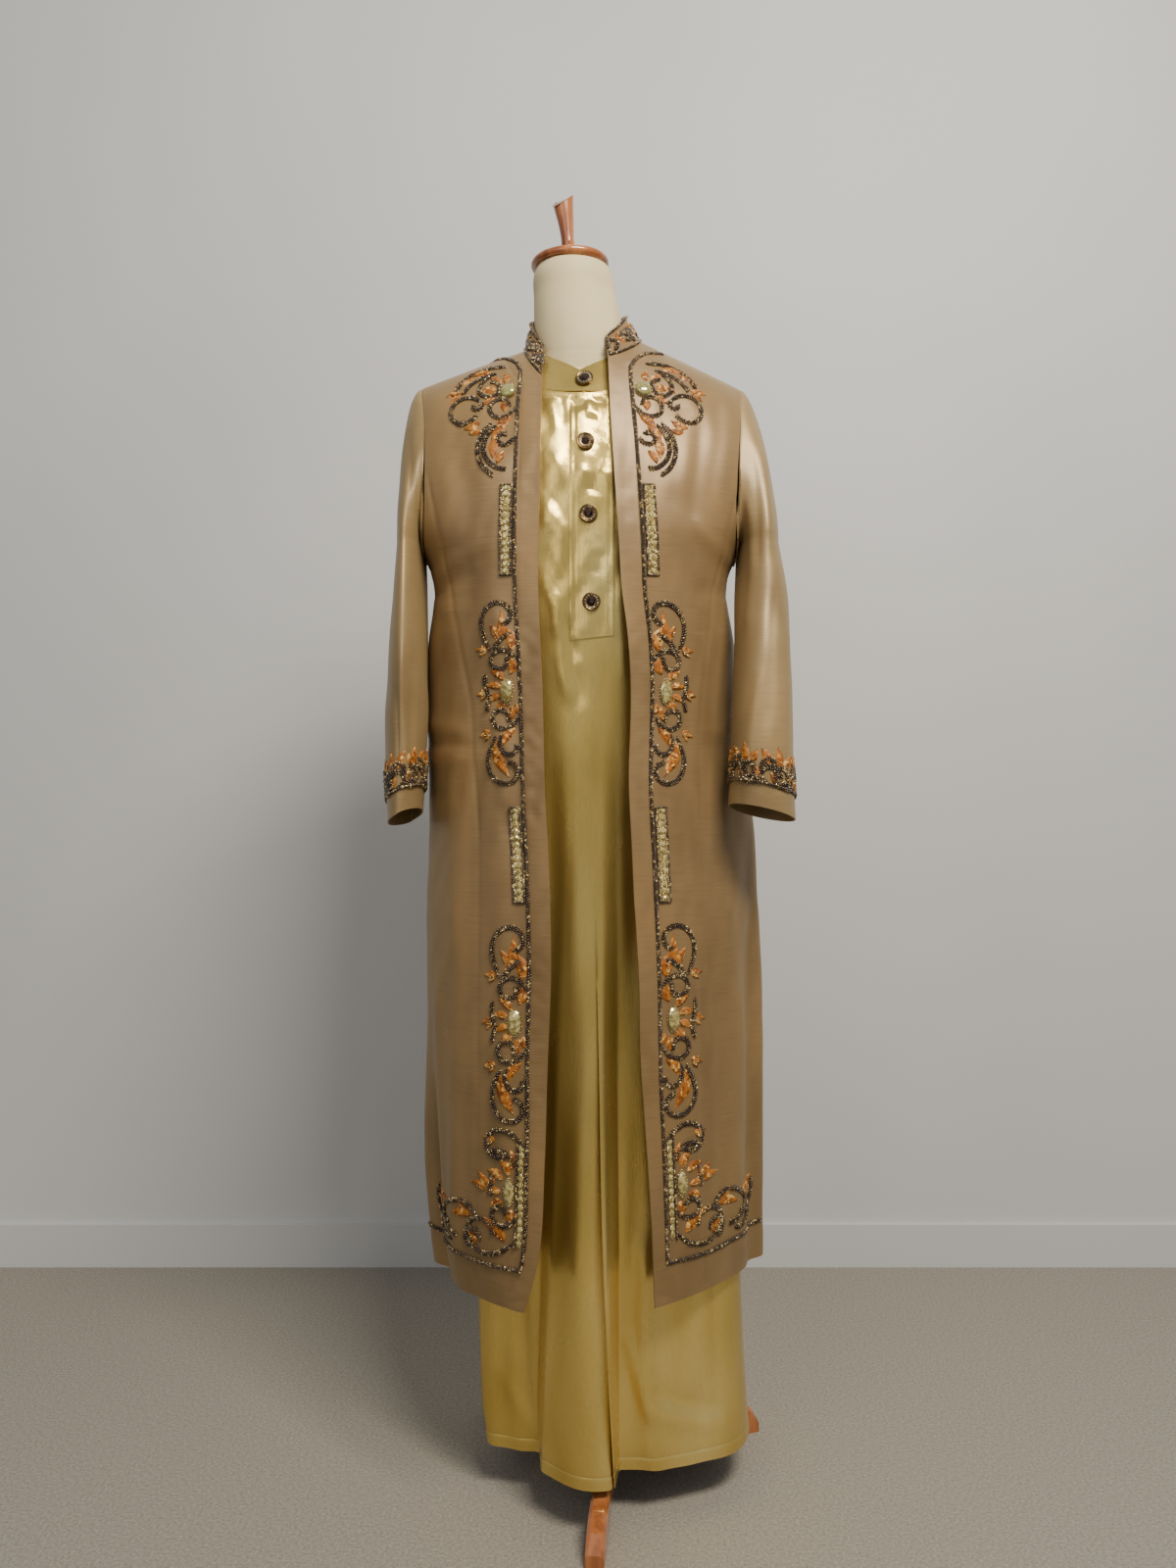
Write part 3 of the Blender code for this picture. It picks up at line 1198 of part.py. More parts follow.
def form_torso():
    """The dress form's body: sections up to the underarm, and then up to a ridge; its neck is joined on."""
    count = FORM_SIDES
    turn = 2 * math.pi * np.arange(count) / count
    sin, cos = np.sin(turn), np.cos(turn)
    rings = []
    for z in FORM_ROWS + (UNDERARM,):
        middle = centre(z)
        left_half = middle - smooth(z, FORM["z"], FORM["left"])
        right_half = smooth(z, FORM["z"], FORM["right"]) - middle
        half = np.where(sin < 0, left_half, right_half)
        front, back = smooth(z, FORM["z"], FORM["front_left"]), smooth(z, FORM["z"], FORM["back"])
        deep = np.where(cos > 0, -front, back)
        square = smooth(z, FORM["z"], FORM["square_back"])
        x = middle + half * np.sign(sin) * np.abs(sin) ** square
        y = deep * np.abs(cos) ** square
        rings.append(np.stack([x, y, np.full(count, z)], axis=-1))
    base = rings[-1]
    base[[count // 4, 3 * count // 4], 1] = 0.0
    for share in np.sin(np.linspace(0, math.pi / 2, 8))[1:]:
        x = base[:, 0]
        z = UNDERARM + (ridge(FORM, x) - UNDERARM) * share
        y = np.where(cos > 0, dome(FORM, "front", x, z), dome(FORM, "back", x, z))
        y[[count // 4, 3 * count // 4]] = 0.0
        rings.append(np.stack([x, y, z], axis=-1))
    rings[-1][:, 1] = 0.0
    grid = np.array(rings)
    rows, columns = grid.shape[:2]
    edit = bmesh.new()
    made = [[edit.verts.new(tuple(p)) for p in ring] for ring in grid]
    for r in range(rows - 1):
        for c in range(columns):
            n = (c + 1) % columns
            edit.faces.new((made[r][c], made[r][n], made[r + 1][n], made[r + 1][c]))
    edit.faces.new(made[0][::-1])
    bmesh.ops.remove_doubles(edit, verts=made[-1], dist=1e-4)
    bmesh.ops.dissolve_degenerate(edit, dist=1e-6, edges=edit.edges)
    bmesh.ops.recalc_face_normals(edit, faces=edit.faces)
    mesh = bpy.data.meshes.new("form_torso")
    edit.to_mesh(mesh)
    edit.free()
    mesh.materials.append(jersey())
    mesh.shade_smooth()
    torso = bpy.data.objects.new("form_torso", mesh)
    bpy.context.scene.collection.objects.link(torso)
    torso.parent = FRAME

    sides = 28
    points, faces = [], []
    for z, x, radius in NECK_ROWS:
        for k in range(sides):
            turn = 2 * math.pi * k / sides
            points.append((x + radius * math.cos(turn), NECK_Y + radius * math.sin(turn), z))
    for level in range(len(NECK_ROWS) - 1):
        for k in range(sides):
            a, b = level * sides + k, level * sides + (k + 1) % sides
            faces.append((a, b, b + sides, a + sides))
    faces.append(tuple(range(sides))[::-1])
    faces.append(tuple(range(len(points) - sides, len(points))))
    neck = add_object("neck_tool", points, faces, jersey())
    neck.hide_render = True
    neck.display_type = "WIRE"
    join = torso.modifiers.new("neck", "BOOLEAN")
    join.operation = "UNION"
    join.solver = "EXACT"
    join.object = neck


def tilt_cap(made):
    """Turns a piece of the cap about the neck's top, its right side up."""
    cos, sin = math.cos(CAP_TILT), math.sin(CAP_TILT)
    for vertex in made.data.vertices:
        x, z = vertex.co.x - CAP_X, vertex.co.z - CAP_BOTTOM
        vertex.co.x = CAP_X + x * cos - z * sin
        vertex.co.z = CAP_BOTTOM + x * sin + z * cos + CAP_LIFT


def cap():
    profile = [(0.0, CAP_BOTTOM)] + [(r, CAP_BOTTOM + h) for h, r in CAP_ROWS]
    profile.append((0.0, CAP_BOTTOM + CAP_ROWS[-1][0]))
    tilt_cap(turned("neck_cap", profile, wood(), 32, (CAP_X, NECK_Y)))


def handle():
    sides = 16
    points, faces = [], []
    for height, x, wide, deep in HANDLE_ROWS:
        for k in range(sides):
            turn = 2 * math.pi * k / sides
            points.append((x + wide * math.cos(turn), NECK_Y + deep * math.sin(turn), CAP_BOTTOM + height))
    for level in range(len(HANDLE_ROWS) - 1):
        for k in range(sides):
            a, b = level * sides + k, level * sides + (k + 1) % sides
            faces.append((a, b, b + sides, a + sides))
    faces.append(tuple(range(sides))[::-1])
    faces.append(tuple(range(len(points) - sides, len(points))))
    made = add_object("neck_cap_handle", points, faces, wood())
    edit = bmesh.new()
    edit.from_mesh(made.data)
    x, y, height = HANDLE_CUT["point"]
    cut = bmesh.ops.bisect_plane(
        edit, geom=list(edit.verts) + list(edit.edges) + list(edit.faces), dist=1e-6,
        plane_co=(x, NECK_Y + y, CAP_BOTTOM + height), plane_no=HANDLE_CUT["normal"], clear_outer=True,
    )
    bmesh.ops.contextual_create(edit, geom=[e for e in cut["geom_cut"] if isinstance(e, bmesh.types.BMEdge)])
    bmesh.ops.recalc_face_normals(edit, faces=edit.faces)
    edit.to_mesh(made.data)
    edit.free()
    made.data.set_sharp_from_angle(angle=math.radians(50))
    tilt_cap(made)


def stand():
    lean = (float(centre(POLE_TOP)) - STAND_X) / POLE_TOP
    bottom = HUB_ROWS[-1][1] + 0.0003
    turned(
        "stand_pole", [(0.0, bottom), (POLE_RADIUS, bottom), (POLE_RADIUS, POLE_TOP), (0.0, POLE_TOP)],
        wood(), 16, (STAND_X, 0.0), lean,
    )
    turned("stand_hub", HUB_ROWS, wood(), 20, (STAND_X, 0.0))
    for number, turn in enumerate((-90.0, 30.0, 150.0), start=1):
        leg(number, math.radians(turn) + STAND_TURN)


def leg(number, turn):
    """A bent leg with chamfered upper edges and a flat foot."""
    out = np.array([math.cos(turn), math.sin(turn)])
    side = np.array([-out[1], out[0]])
    points, faces = [], []
    for far, under, top in LEG_ROWS:
        edge = top - LEG_CHAMFER
        section = ((-1, under), (1, under), (1, edge), (0.64, top), (-0.64, top), (-1, edge))
        for across, z in section:
            spot = out * far + side * across * LEG_HALF_WIDTH
            points.append((STAND_X + spot[0], spot[1], z))
    count = 6
    for level in range(len(LEG_ROWS) - 1):
        for k in range(count):
            a, b = level * count + k, level * count + (k + 1) % count
            faces.append((a, b, b + count, a + count))
    faces.append(tuple(range(count))[::-1])
    faces.append(tuple(range(len(points) - count, len(points))))
    made = add_object(f"stand_leg_{number}", points, faces, wood(), round_shape=False)
    orient(made)


def front_trim(side, cloth):
    trim_strip(f"front_cord_{side}", cloth, CORD_ROUTE, CORD_HALF_WIDTH, CORD_HEIGHT, cord_beads())
    lifts = {}
    for name, outline in MOTIFS.items():
        columns = MOTIF_COLUMNS[name]
        lifts[name] = applique(f"motif_{name}_{side}", cloth, outline, MOTIF_HEIGHT, cord_beads(), columns)
    for name, (from_edge, half, bottom, top) in LADDERS.items():
        route = [(from_edge, bottom + (top - bottom) * k / 5) for k in range(6)]
        trim_strip(f"ladder_{name}_{side}", cloth, route, half, LADDER_HEIGHT, gold_beads())
    for name, (from_edge, z, wide, tall) in GEMS.items():
        base = lifts[name] + MOTIF_HEIGHT + GEM_GAP
        gem(f"gem_{name}_{side}", cloth, from_edge, z, wide, tall, GEM_THICK, base, crystal())


coat = coat_panels()
thobe = thobe_panels()
for which, sections in (("left", LEFT_SLEEVE), ("right", RIGHT_SLEEVE)):
    first_row = len(COAT_ROWS) - 1
    back_column = 0 if which == "left" else -1
    sleeve(which, sections, coat[which].inner[first_row:, -1], coat["back"].inner[first_row:, back_column])
coat_collar(coat["left"], coat["right"], coat["back"])
neck_band = thobe_collar(thobe["front"], thobe["back"])
placket_lift = placket(thobe["front"])
for index, (button_x, button_z) in enumerate(BUTTONS, start=1):
    button(index, thobe["front"], neck_band, placket_lift, button_x, button_z)
form_torso()
cap()
handle()
stand()
for which in ("left", "right"):
    front_trim(which, coat[which])
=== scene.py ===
"""Looks for a satin thobe and an embroidered taffeta robe coat on a limbless dress form.

Metres, +Z up, the front faces -Y. The shape functions repeat those of the CAD source on finer grids, and
creases, seams and embroidery are laid on them. Sizes ending in _MM are in millimetres.
"""

import math

import bpy
import numpy as np
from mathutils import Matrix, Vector
from mathutils.bvhtree import BVHTree


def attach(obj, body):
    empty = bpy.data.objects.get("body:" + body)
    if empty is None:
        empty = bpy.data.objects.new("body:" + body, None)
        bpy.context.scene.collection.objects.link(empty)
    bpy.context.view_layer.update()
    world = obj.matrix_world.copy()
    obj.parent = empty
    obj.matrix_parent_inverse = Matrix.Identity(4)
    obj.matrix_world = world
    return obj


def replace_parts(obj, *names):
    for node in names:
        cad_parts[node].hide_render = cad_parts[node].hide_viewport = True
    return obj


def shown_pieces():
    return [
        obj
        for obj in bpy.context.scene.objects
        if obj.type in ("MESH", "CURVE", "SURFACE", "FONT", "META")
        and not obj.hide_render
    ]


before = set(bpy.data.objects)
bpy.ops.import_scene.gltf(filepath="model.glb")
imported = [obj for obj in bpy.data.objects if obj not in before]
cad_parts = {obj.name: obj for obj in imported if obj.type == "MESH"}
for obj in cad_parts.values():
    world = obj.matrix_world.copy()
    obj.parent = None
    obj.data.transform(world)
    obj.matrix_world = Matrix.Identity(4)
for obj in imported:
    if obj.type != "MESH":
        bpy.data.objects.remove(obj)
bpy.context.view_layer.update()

FLOOR_TO_COAT_HEM = 0.278
FLOOR_TO_THOBE_HEM = 0.060
UNDERARM = 1.170  # height of both garments' armhole bottoms
COAT_WALL = 0.0016
THOBE_WALL = 0.0012
SEAM_GAP = 0.0003
LAYER_GAP = 0.0010  # between cloths that lie on each other at the shoulders
STAND_SHIFT = (0.0003, 0.0306)  # moves the whole so that its box is centred on the origin, x and y
# The form leans a little: the middle of a section at each height
CENTRE_LINE = (
    # z, x
    (0.00, 0.033),
    (0.28, 0.0195),
    (0.82, 0.0060),
    (1.20, -0.0090),
    (1.45, -0.0085),
    (1.56, -0.0220),
    (1.66, -0.0250),
)

# The coat's outline: the side seams' x, the depth of each front half, the back's depth, and how square it is
COAT_SECTIONS = (
    # z, left, right, front_left, front_right, back, square_left, square_right, square_back
    (0.278, -0.188, 0.2230, 0.208, 0.196, 0.150, 1.05, 1.45, 0.95),
    (0.340, -0.196, 0.2235, 0.203, 0.192, 0.150, 1.00, 1.42, 0.95),
    (0.438, -0.2022, 0.2225, 0.192, 0.184, 0.148, 0.98, 1.40, 0.95),
    (0.566, -0.2060, 0.2235, 0.180, 0.176, 0.145, 0.98, 1.38, 0.95),
    (0.694, -0.2080, 0.2200, 0.168, 0.168, 0.142, 1.00, 1.36, 0.95),
    (0.822, -0.2050, 0.2150, 0.158, 0.160, 0.138, 1.02, 1.36, 0.92),
    (0.960, -0.2060, 0.1990, 0.148, 0.150, 0.133, 1.00, 1.30, 0.90),
    (1.060, -0.2065, 0.1890, 0.141, 0.142, 0.130, 0.95, 1.12, 0.88),
    (1.170, -0.2070, 0.1860, 0.134, 0.133, 0.128, 0.88, 0.88, 0.86),
    (1.200, -0.2270, 0.2060, 0.132, 0.131, 0.127, 0.88, 0.88, 0.86),
    (1.240, -0.2420, 0.2200, 0.130, 0.129, 0.126, 0.88, 0.88, 0.86),
    (1.500, -0.2420, 0.2200, 0.128, 0.128, 0.124, 0.88, 0.88, 0.86),
)
# Front edges, as x at each height
COAT_EDGES = (
    # z, left, right
    (0.278, -0.0730, 0.0763),
    (0.340, -0.0570, 0.0740),
    (0.450, -0.0500, 0.0680),
    (0.560, -0.0470, 0.0610),
    (0.660, -0.0435, 0.0585),
    (0.770, -0.0450, 0.0530),
    (0.886, -0.0510, 0.0480),
    (1.010, -0.0545, 0.0500),
    (1.065, -0.0570, 0.0465),
    (1.122, -0.0595, 0.0395),
    (1.170, -0.0595, 0.0370),
    (1.240, -0.0580, 0.0325),
    (1.355, -0.0570, 0.0260),
    (1.410, -0.0560, 0.0243),
)
# The thobe's outline
THOBE_SECTIONS = (
    # z, left, right, front_left, front_right, back, square_left, square_right, square_back
    (0.060, -0.134, 0.2060, 0.100, 0.118, 0.116, 0.85, 0.72, 0.95),
    (0.120, -0.139, 0.2020, 0.100, 0.118, 0.114, 0.85, 0.74, 0.95),
    (0.236, -0.142, 0.1960, 0.100, 0.117, 0.112, 0.85, 0.78, 0.95),
    (0.400, -0.146, 0.1880, 0.101, 0.112, 0.110, 0.88, 0.85, 0.95),
    (0.600, -0.150, 0.1760, 0.103, 0.108, 0.108, 0.90, 0.95, 0.95),
    (0.800, -0.162, 0.1660, 0.107, 0.108, 0.108, 0.95, 1.05, 0.95),
    (1.000, -0.176, 0.1600, 0.111, 0.111, 0.111, 0.95, 1.00, 0.92),
    (1.170, -0.190, 0.1690, 0.1145, 0.1145, 0.114, 0.90, 0.90, 0.88),
    (1.200, -0.210, 0.1890, 0.1140, 0.1140, 0.115, 0.90, 0.90, 0.88),
    (1.240, -0.225, 0.2030, 0.1135, 0.1135, 0.114, 0.90, 0.90, 0.88),
    (1.500, -0.225, 0.2030, 0.1127, 0.1127, 0.112, 0.90, 0.90, 0.88),
)
# The dress form's outline, up to its shoulders
FORM_SECTIONS = (
    # z, left, right, front_left, front_right, back, square_left, square_right, square_back
    (0.800, -0.118, 0.1280, 0.082, 0.082, 0.088, 1.0, 1.0, 1.0),
    (0.860, -0.137, 0.1430, 0.094, 0.094, 0.104, 1.0, 1.0, 1.0),
    (0.940, -0.132, 0.1340, 0.092, 0.092, 0.096, 1.0, 1.0, 1.0),
    (1.040, -0.116, 0.1100, 0.086, 0.086, 0.082, 1.0, 1.0, 1.0),
    (1.110, -0.128, 0.1140, 0.094, 0.094, 0.088, 1.0, 1.0, 1.0),
    (1.170, -0.150, 0.1330, 0.104, 0.104, 0.096, 0.95, 0.95, 0.95),
    (1.240, -0.168, 0.1500, 0.104, 0.104, 0.100, 0.95, 0.95, 0.95),
    (1.500, -0.176, 0.1580, 0.103, 0.103, 0.100, 0.95, 0.95, 0.95),
)

# The ridge that the shoulder seams follow, for the coat's inner face; straight between its points
COAT_RIDGE = (
    # x, z
    (-0.3000, 1.3690),
    (-0.2142, 1.3990),
    (-0.0790, 1.4465),
    (-0.0064, 1.4780),
    (0.0663, 1.4570),
    (0.1938, 1.3986),
    (0.3000, 1.3500),
)
THOBE_DROP = THOBE_WALL + LAYER_GAP  # the thobe's ridge under the coat's
FORM_DROP = THOBE_DROP + 0.0032  # the form's ridge under the coat's
CHEST_FULL = 2.3  # how late the chest turns in towards the shoulder seam
BACK_FULL = 3.2

# Armholes, as x at each height
COAT_ARMHOLES = (
    # z, left, right
    (1.170, -0.2070, 0.1860),
    (1.200, -0.2040, 0.1835),
    (1.260, -0.2025, 0.1840),
    (1.340, -0.2050, 0.1905),
    (1.3988, -0.2142, 0.1938),
)
THOBE_ARMHOLES = (
    # z, left, right
    (1.170, -0.1900, 0.1690),
    (1.200, -0.1780, 0.1590),
    (1.260, -0.1700, 0.1520),
    (1.340, -0.1740, 0.1560),
    (1.4100, -0.1800, 0.1620),
)
# Neck rings: middle, half width, and the heights of the two front halves and the back at the middle
COAT_NECK = {"x": -0.0064, "half": 0.0727, "left": 1.3655, "right": 1.4107, "back": 1.4330}
THOBE_NECK = {"x": -0.0080, "half": 0.0655, "left": 1.3675, "right": 1.3675, "back": 1.4280}
NECKLINE_FLAT = 0.25  # how flat the thobe's neckline runs before it climbs to the shoulder

# Folds: a soft ridge (+) or trough (-) that runs down the cloth. "at" is 0 at the middle front, 1 at the side
# seam and 2 at the middle back, with minus on the wearer's right, the left in a front view
COAT_FOLDS = (
    # at, width, depth, bottom, top
    (-0.90, 0.050, 0.010, 0.20, 0.62),
    (-0.80, 0.045, -0.009, 0.20, 0.66),
    (-0.62, 0.060, 0.004, 0.20, 0.90),
    (0.86, 0.050, -0.006, 0.20, 0.85),
    (0.95, 0.040, 0.005, 0.20, 0.95),
    (-1.30, 0.080, 0.009, 0.20, 0.85),
    (-1.46, 0.060, -0.008, 0.20, 0.78),
    (-1.66, 0.090, 0.010, 0.20, 0.95),
    (-1.86, 0.060, -0.008, 0.20, 0.90),
    (1.22, 0.070, 0.008, 0.20, 0.80),
    (1.42, 0.070, -0.008, 0.20, 0.86),
    (1.62, 0.080, 0.010, 0.20, 0.92),
    (1.84, 0.070, -0.006, 0.20, 0.84),
)
THOBE_FOLDS = (
    # at, width, depth, bottom, top
    (-0.78, 0.060, 0.010, 0.00, 0.70),
    (-0.90, 0.040, -0.009, 0.00, 0.60),
    (-0.56, 0.060, -0.008, 0.00, 0.95),
    (0.30, 0.050, 0.004, 0.00, 0.95),
    (0.52, 0.090, -0.004, 0.00, 0.80),
    (-1.30, 0.080, 0.009, 0.00, 0.75),
    (-1.55, 0.080, -0.010, 0.00, 0.75),
    (-1.80, 0.090, 0.009, 0.00, 0.80),
    (1.30, 0.080, -0.009, 0.00, 0.75),
    (1.55, 0.080, 0.009, 0.00, 0.75),
    (1.82, 0.070, -0.009, 0.00, 0.80),
)
# The deep fold that stands forward in the thobe's middle: its two flanks as x, and how far it stands out
FRONT_FOLD = (
    # z, left, right, flank, depth_left, depth_right
    (0.060, -0.053, 0.0250, 0.012, 0.034, 0.060),
    (0.240, -0.046, 0.0220, 0.014, 0.028, 0.048),
    (0.450, -0.036, 0.0180, 0.018, 0.020, 0.030),
    (0.700, -0.026, 0.0140, 0.022, 0.009, 0.012),
    (0.950, -0.020, 0.0100, 0.026, 0.002, 0.003),
    (1.050, -0.020, 0.0100, 0.026, 0.000, 0.000),
    (1.500, -0.020, 0.0100, 0.026, 0.000, 0.000),
)

# Sleeves: the middle of each ring, its half width and half depth, and how pointed it is
LEFT_SLEEVE = (
    # z, x, y, half_width, half_depth, square
    (1.190, -0.2280, -0.014, 0.0170, 0.076, 1.10),
    (1.130, -0.2270, -0.030, 0.0200, 0.072, 1.12),
    (1.040, -0.2270, -0.048, 0.0235, 0.067, 1.15),
    (0.960, -0.2275, -0.058, 0.0250, 0.063, 1.18),
    (0.900, -0.2275, -0.064, 0.0245, 0.060, 1.20),
    (0.845, -0.2280, -0.068, 0.0215, 0.058, 1.20),
)
RIGHT_SLEEVE = (
    # z, x, y, half_width, half_depth, square
    (1.190, 0.2175, -0.018, 0.0255, 0.072, 1.00),
    (1.130, 0.2190, -0.040, 0.0310, 0.062, 1.00),
    (1.040, 0.2170, -0.068, 0.0350, 0.054, 1.00),
    (0.960, 0.2145, -0.086, 0.0375, 0.048, 1.00),
    (0.900, 0.2125, -0.096, 0.0390, 0.044, 1.00),
    (0.851, 0.2115, -0.102, 0.0410, 0.041, 1.00),
)
CUFF_TILT = 0.0095  # how much lower the cuff's outer end is than its middle
CUFF_NOD = 0.0065  # how much higher the cuff's front is than its middle
HEAD_PUFF = 0.020  # how far the sleeve head stands off the armhole before it turns down
HEAD_FALL = 0.075  # how straight it comes down into the sleeve
HEAD_STEP = 0.0006  # how far the sleeve starts outside the armhole's edge, past the seam's gap
UNDERARM_OUT = 0.0040  # how much further out it starts at the underarm, past both coat walls
UNDERARM_UP = 0.0010

# Collars: how high they stand over the neckline and the ring of their top edge
COAT_COLLAR = {"x": -0.0128, "half": 0.0590, "y": -0.006, "front": 0.066, "back": 0.064}
THOBE_COLLAR = {"x": -0.0105, "half": 0.0612, "y": -0.006, "front": 0.066, "back": 0.066}
THOBE_COLLAR_TOP = (
    # turn in degrees from the front, height of the top edge
    (0.0, 1.4000),
    (18.0, 1.4110),
    (40.0, 1.4235),
    (65.0, 1.4480),
    (90.0, 1.4620),
    (180.0, 1.4720),
)
COAT_COLLAR_TOP = (
    # the base's bearing in degrees (the first and last are the front edges), the top's bearing, its height
    (22.0, 35.0, 1.4480),
    (90.0, 90.0, 1.4940),
    (180.0, 180.0, 1.4890),
    (270.0, 270.0, 1.4860),
    (332.0, 311.0, 1.4410),
)
OVERLAP_LENGTH = 0.0145  # how far the thobe collar's button end passes the middle
OVERLAP_FROM = 325.0  # the bearing where it starts to lift off
OVERLAP_STEP = 0.0019

PLACKET = {"left": -0.0225, "right": 0.0320, "bottom": 1.060, "top": 1.362, "thick": 0.0014}
BUTTONS = (
    # x, z
    (-0.0048, 1.3860),
    (-0.0035, 1.3016),
    (0.0000, 1.2126),
    (0.0035, 1.1060),
)
CORD_ROUTE = (
    # from edge, z
    (0.0180, 0.318), (0.0190, 0.36), (0.0205, 0.42), (0.0220, 0.50), (0.0245, 0.58), (0.0260, 0.66),
    (0.0265, 0.74), (0.0270, 0.82), (0.0270, 0.90), (0.0270, 0.98), (0.0280, 1.06), (0.0290, 1.13),
    (0.0300, 1.19), (0.0305, 1.25), (0.0300, 1.31), (0.0290, 1.35), (0.0280, 1.385),
)
# The dress form's neck, cap and handle
NECK_ROWS = (
    # z, x, radius
    (1.360, -0.0060, 0.0600), (1.430, -0.0070, 0.0605), (1.462, -0.0105, 0.0592), (1.487, -0.0136, 0.0567),
    (1.515, -0.0170, 0.0535), (1.546, -0.0198, 0.0506), (1.5535, -0.0204, 0.0475),
)
NECK_Y = -0.006
CAP_X = -0.0237
CAP_ROWS = (
    # height over the cap's underside, radius
    (0.0000, 0.0450), (0.0012, 0.0486), (0.0045, 0.0506), (0.0080, 0.0500), (0.0120, 0.0440),
    (0.0165, 0.0300), (0.0185, 0.0190),
)
CAP_BOTTOM = 1.5540
HANDLE_ROWS = (
    # height over the cap's underside, x, half width, half depth
    (0.0190, -0.0245, 0.0130, 0.0130), (0.0225, -0.0245, 0.0098, 0.0100), (0.0340, -0.0250, 0.0086, 0.0096),
    (0.0550, -0.0262, 0.0098, 0.0105), (0.0750, -0.0282, 0.0122, 0.0122), (0.0940, -0.0300, 0.0146, 0.0135),
)
HANDLE_CUT = {"point": (-0.0290, -0.004, 0.0880), "normal": (-0.42, -0.50, 0.76)}
CAP_TILT = math.radians(2.4)
CAP_LIFT = 0.0018  # what the tilt takes off the cap's lower side


# Seams, creases and small waves, in front view: a soft trough (-) or ridge (+) between two points
COAT_LEFT_CREASES = (
    # x, z, x, z, width, depth, in millimetres
    (-197, 1262, -168, 1120, 2.2, -0.9),
    (-168, 1120, -142, 985, 2.2, -0.9),
    (-142, 985, -132, 820, 2.2, -0.8),
    (-132, 820, -131, 300, 2.2, -0.7),
    (-198, 1150, -120, 1176, 7, 1.6),
    (-197, 1128, -135, 1140, 6, -1.6),
    (-192, 1108, -140, 1096, 7, 1.2),
    (-204, 965, -150, 945, 9, 1.5),
    (-202, 942, -140, 930, 7, -1.6),
    (-200, 915, -130, 925, 10, 1.0),
    (-110, 1100, -85, 1030, 9, 1.2),
    (-118, 1010, -84, 950, 8, -1.2),
    (-120, 960, -80, 905, 8, 1.4),
    (-105, 860, -78, 800, 8, -1.1),
    (-165, 1320, -150, 1200, 16, -1.8),
    (-150, 1345, -120, 1250, 16, 1.6),
    (-100, 720, -95, 420, 12, 1.8),
    (-170, 700, -172, 350, 11, -2.0),
    (-186, 640, -188, 330, 8, 1.6),
    (-120, 560, -112, 330, 11, -1.5),
)
COAT_RIGHT_CREASES = (
    (184, 1250, 152, 1110, 2.2, -0.8),
    (152, 1110, 137, 960, 2.2, -0.8),
    (137, 960, 133, 700, 2.2, -0.7),
    (133, 700, 138, 300, 2.2, -0.6),
    (181, 1165, 128, 1200, 8, 1.4),
    (178, 1130, 130, 1120, 7, -1.2),
    (186, 960, 140, 946, 9, 1.2),
    (188, 930, 142, 938, 8, -1.2),
    (143, 1330, 128, 1210, 16, -1.6),
    (118, 1340, 105, 1240, 14, 1.2),
    (175, 760, 186, 380, 14, 1.8),
    (200, 700, 205, 340, 9, -1.6),
    (120, 640, 128, 340, 13, 1.5),
    (160, 560, 168, 320, 10, -1.3),
)
COAT_BACK_CREASES = (
    (-150, 1230, -108, 1000, 2.4, -0.9),
    (-108, 1000, -104, 300, 2.4, -0.8),
    (140, 1230, 98, 1000, 2.4, -0.9),
    (98, 1000, 104, 300, 2.4, -0.8),
    (-5, 1420, 2, 300, 2.0, -0.7),
    (-180, 1170, -100, 1200, 9, 1.8),
    (165, 1165, 90, 1195, 9, 1.8),
    (-170, 1120, -90, 1110, 9, -1.6),
    (160, 1125, 85, 1105, 9, -1.6),
    (-150, 950, -40, 925, 11, 1.7),
    (150, 948, 45, 930, 11, 1.6),
    (-60, 900, 60, 885, 12, -1.4),
    (-70, 780, -78, 330, 14, 2.2),
    (-20, 760, -24, 330, 12, -2.0),
    (48, 800, 55, 330, 15, 2.2),
    (150, 700, 160, 330, 12, -2.0),
    (-150, 700, -160, 330, 12, 1.8),
)
THOBE_FRONT_CREASES = (
    (-22, 1356, -2, 1346, 5, -2.2),
    (-4, 1349, 12, 1338, 5, 2.0),
    (2, 1360, 20, 1350, 4, -1.6),
    (-46, 1362, -40, 1320, 5, 1.5),
    (-34, 1364, -30, 1330, 4, -1.3),
    (30, 1362, 36, 1325, 5, 1.4),
    (-52, 1300, -30, 1250, 9, 1.7),
    (-56, 1250, -30, 1225, 8, -1.7),
    (-52, 1215, -28, 1185, 9, 1.9),
    (-56, 1170, -34, 1120, 9, -1.9),
    (-50, 1130, -30, 1060, 8, 1.9),
    (-30, 1085, -14, 1040, 6, -2.1),
    (-36, 1055, -22, 990, 8, 1.8),
    (-26, 1045, -8, 985, 7, -1.3),
    (-8, 1180, 22, 1165, 5, 0.9),
    (-14, 1150, 20, 1140, 5, -0.9),
    (-10, 1265, 20, 1258, 5, 0.9),
    (-15, 1240, 22, 1245, 5, -0.8),
    (38, 1150, 44, 1020, 7, 1.2),
    (-120, 320, -124, 90, 9, 1.8),
    (-100, 330, -104, 110, 9, -1.8),
    (-118, 160, -60, 84, 8, 1.6),
    (64, 330, 74, 128, 9, 2.4),
    (92, 330, 98, 140, 11, -2.0),
    (122, 340, 126, 150, 10, 1.6),
    (46, 220, 78, 118, 7, 2.2),
    (78, 128, 170, 96, 8, 2.0),
    (70, 150, 160, 122, 8, -1.8),
    (150, 330, 160, 100, 8, -1.4),
)
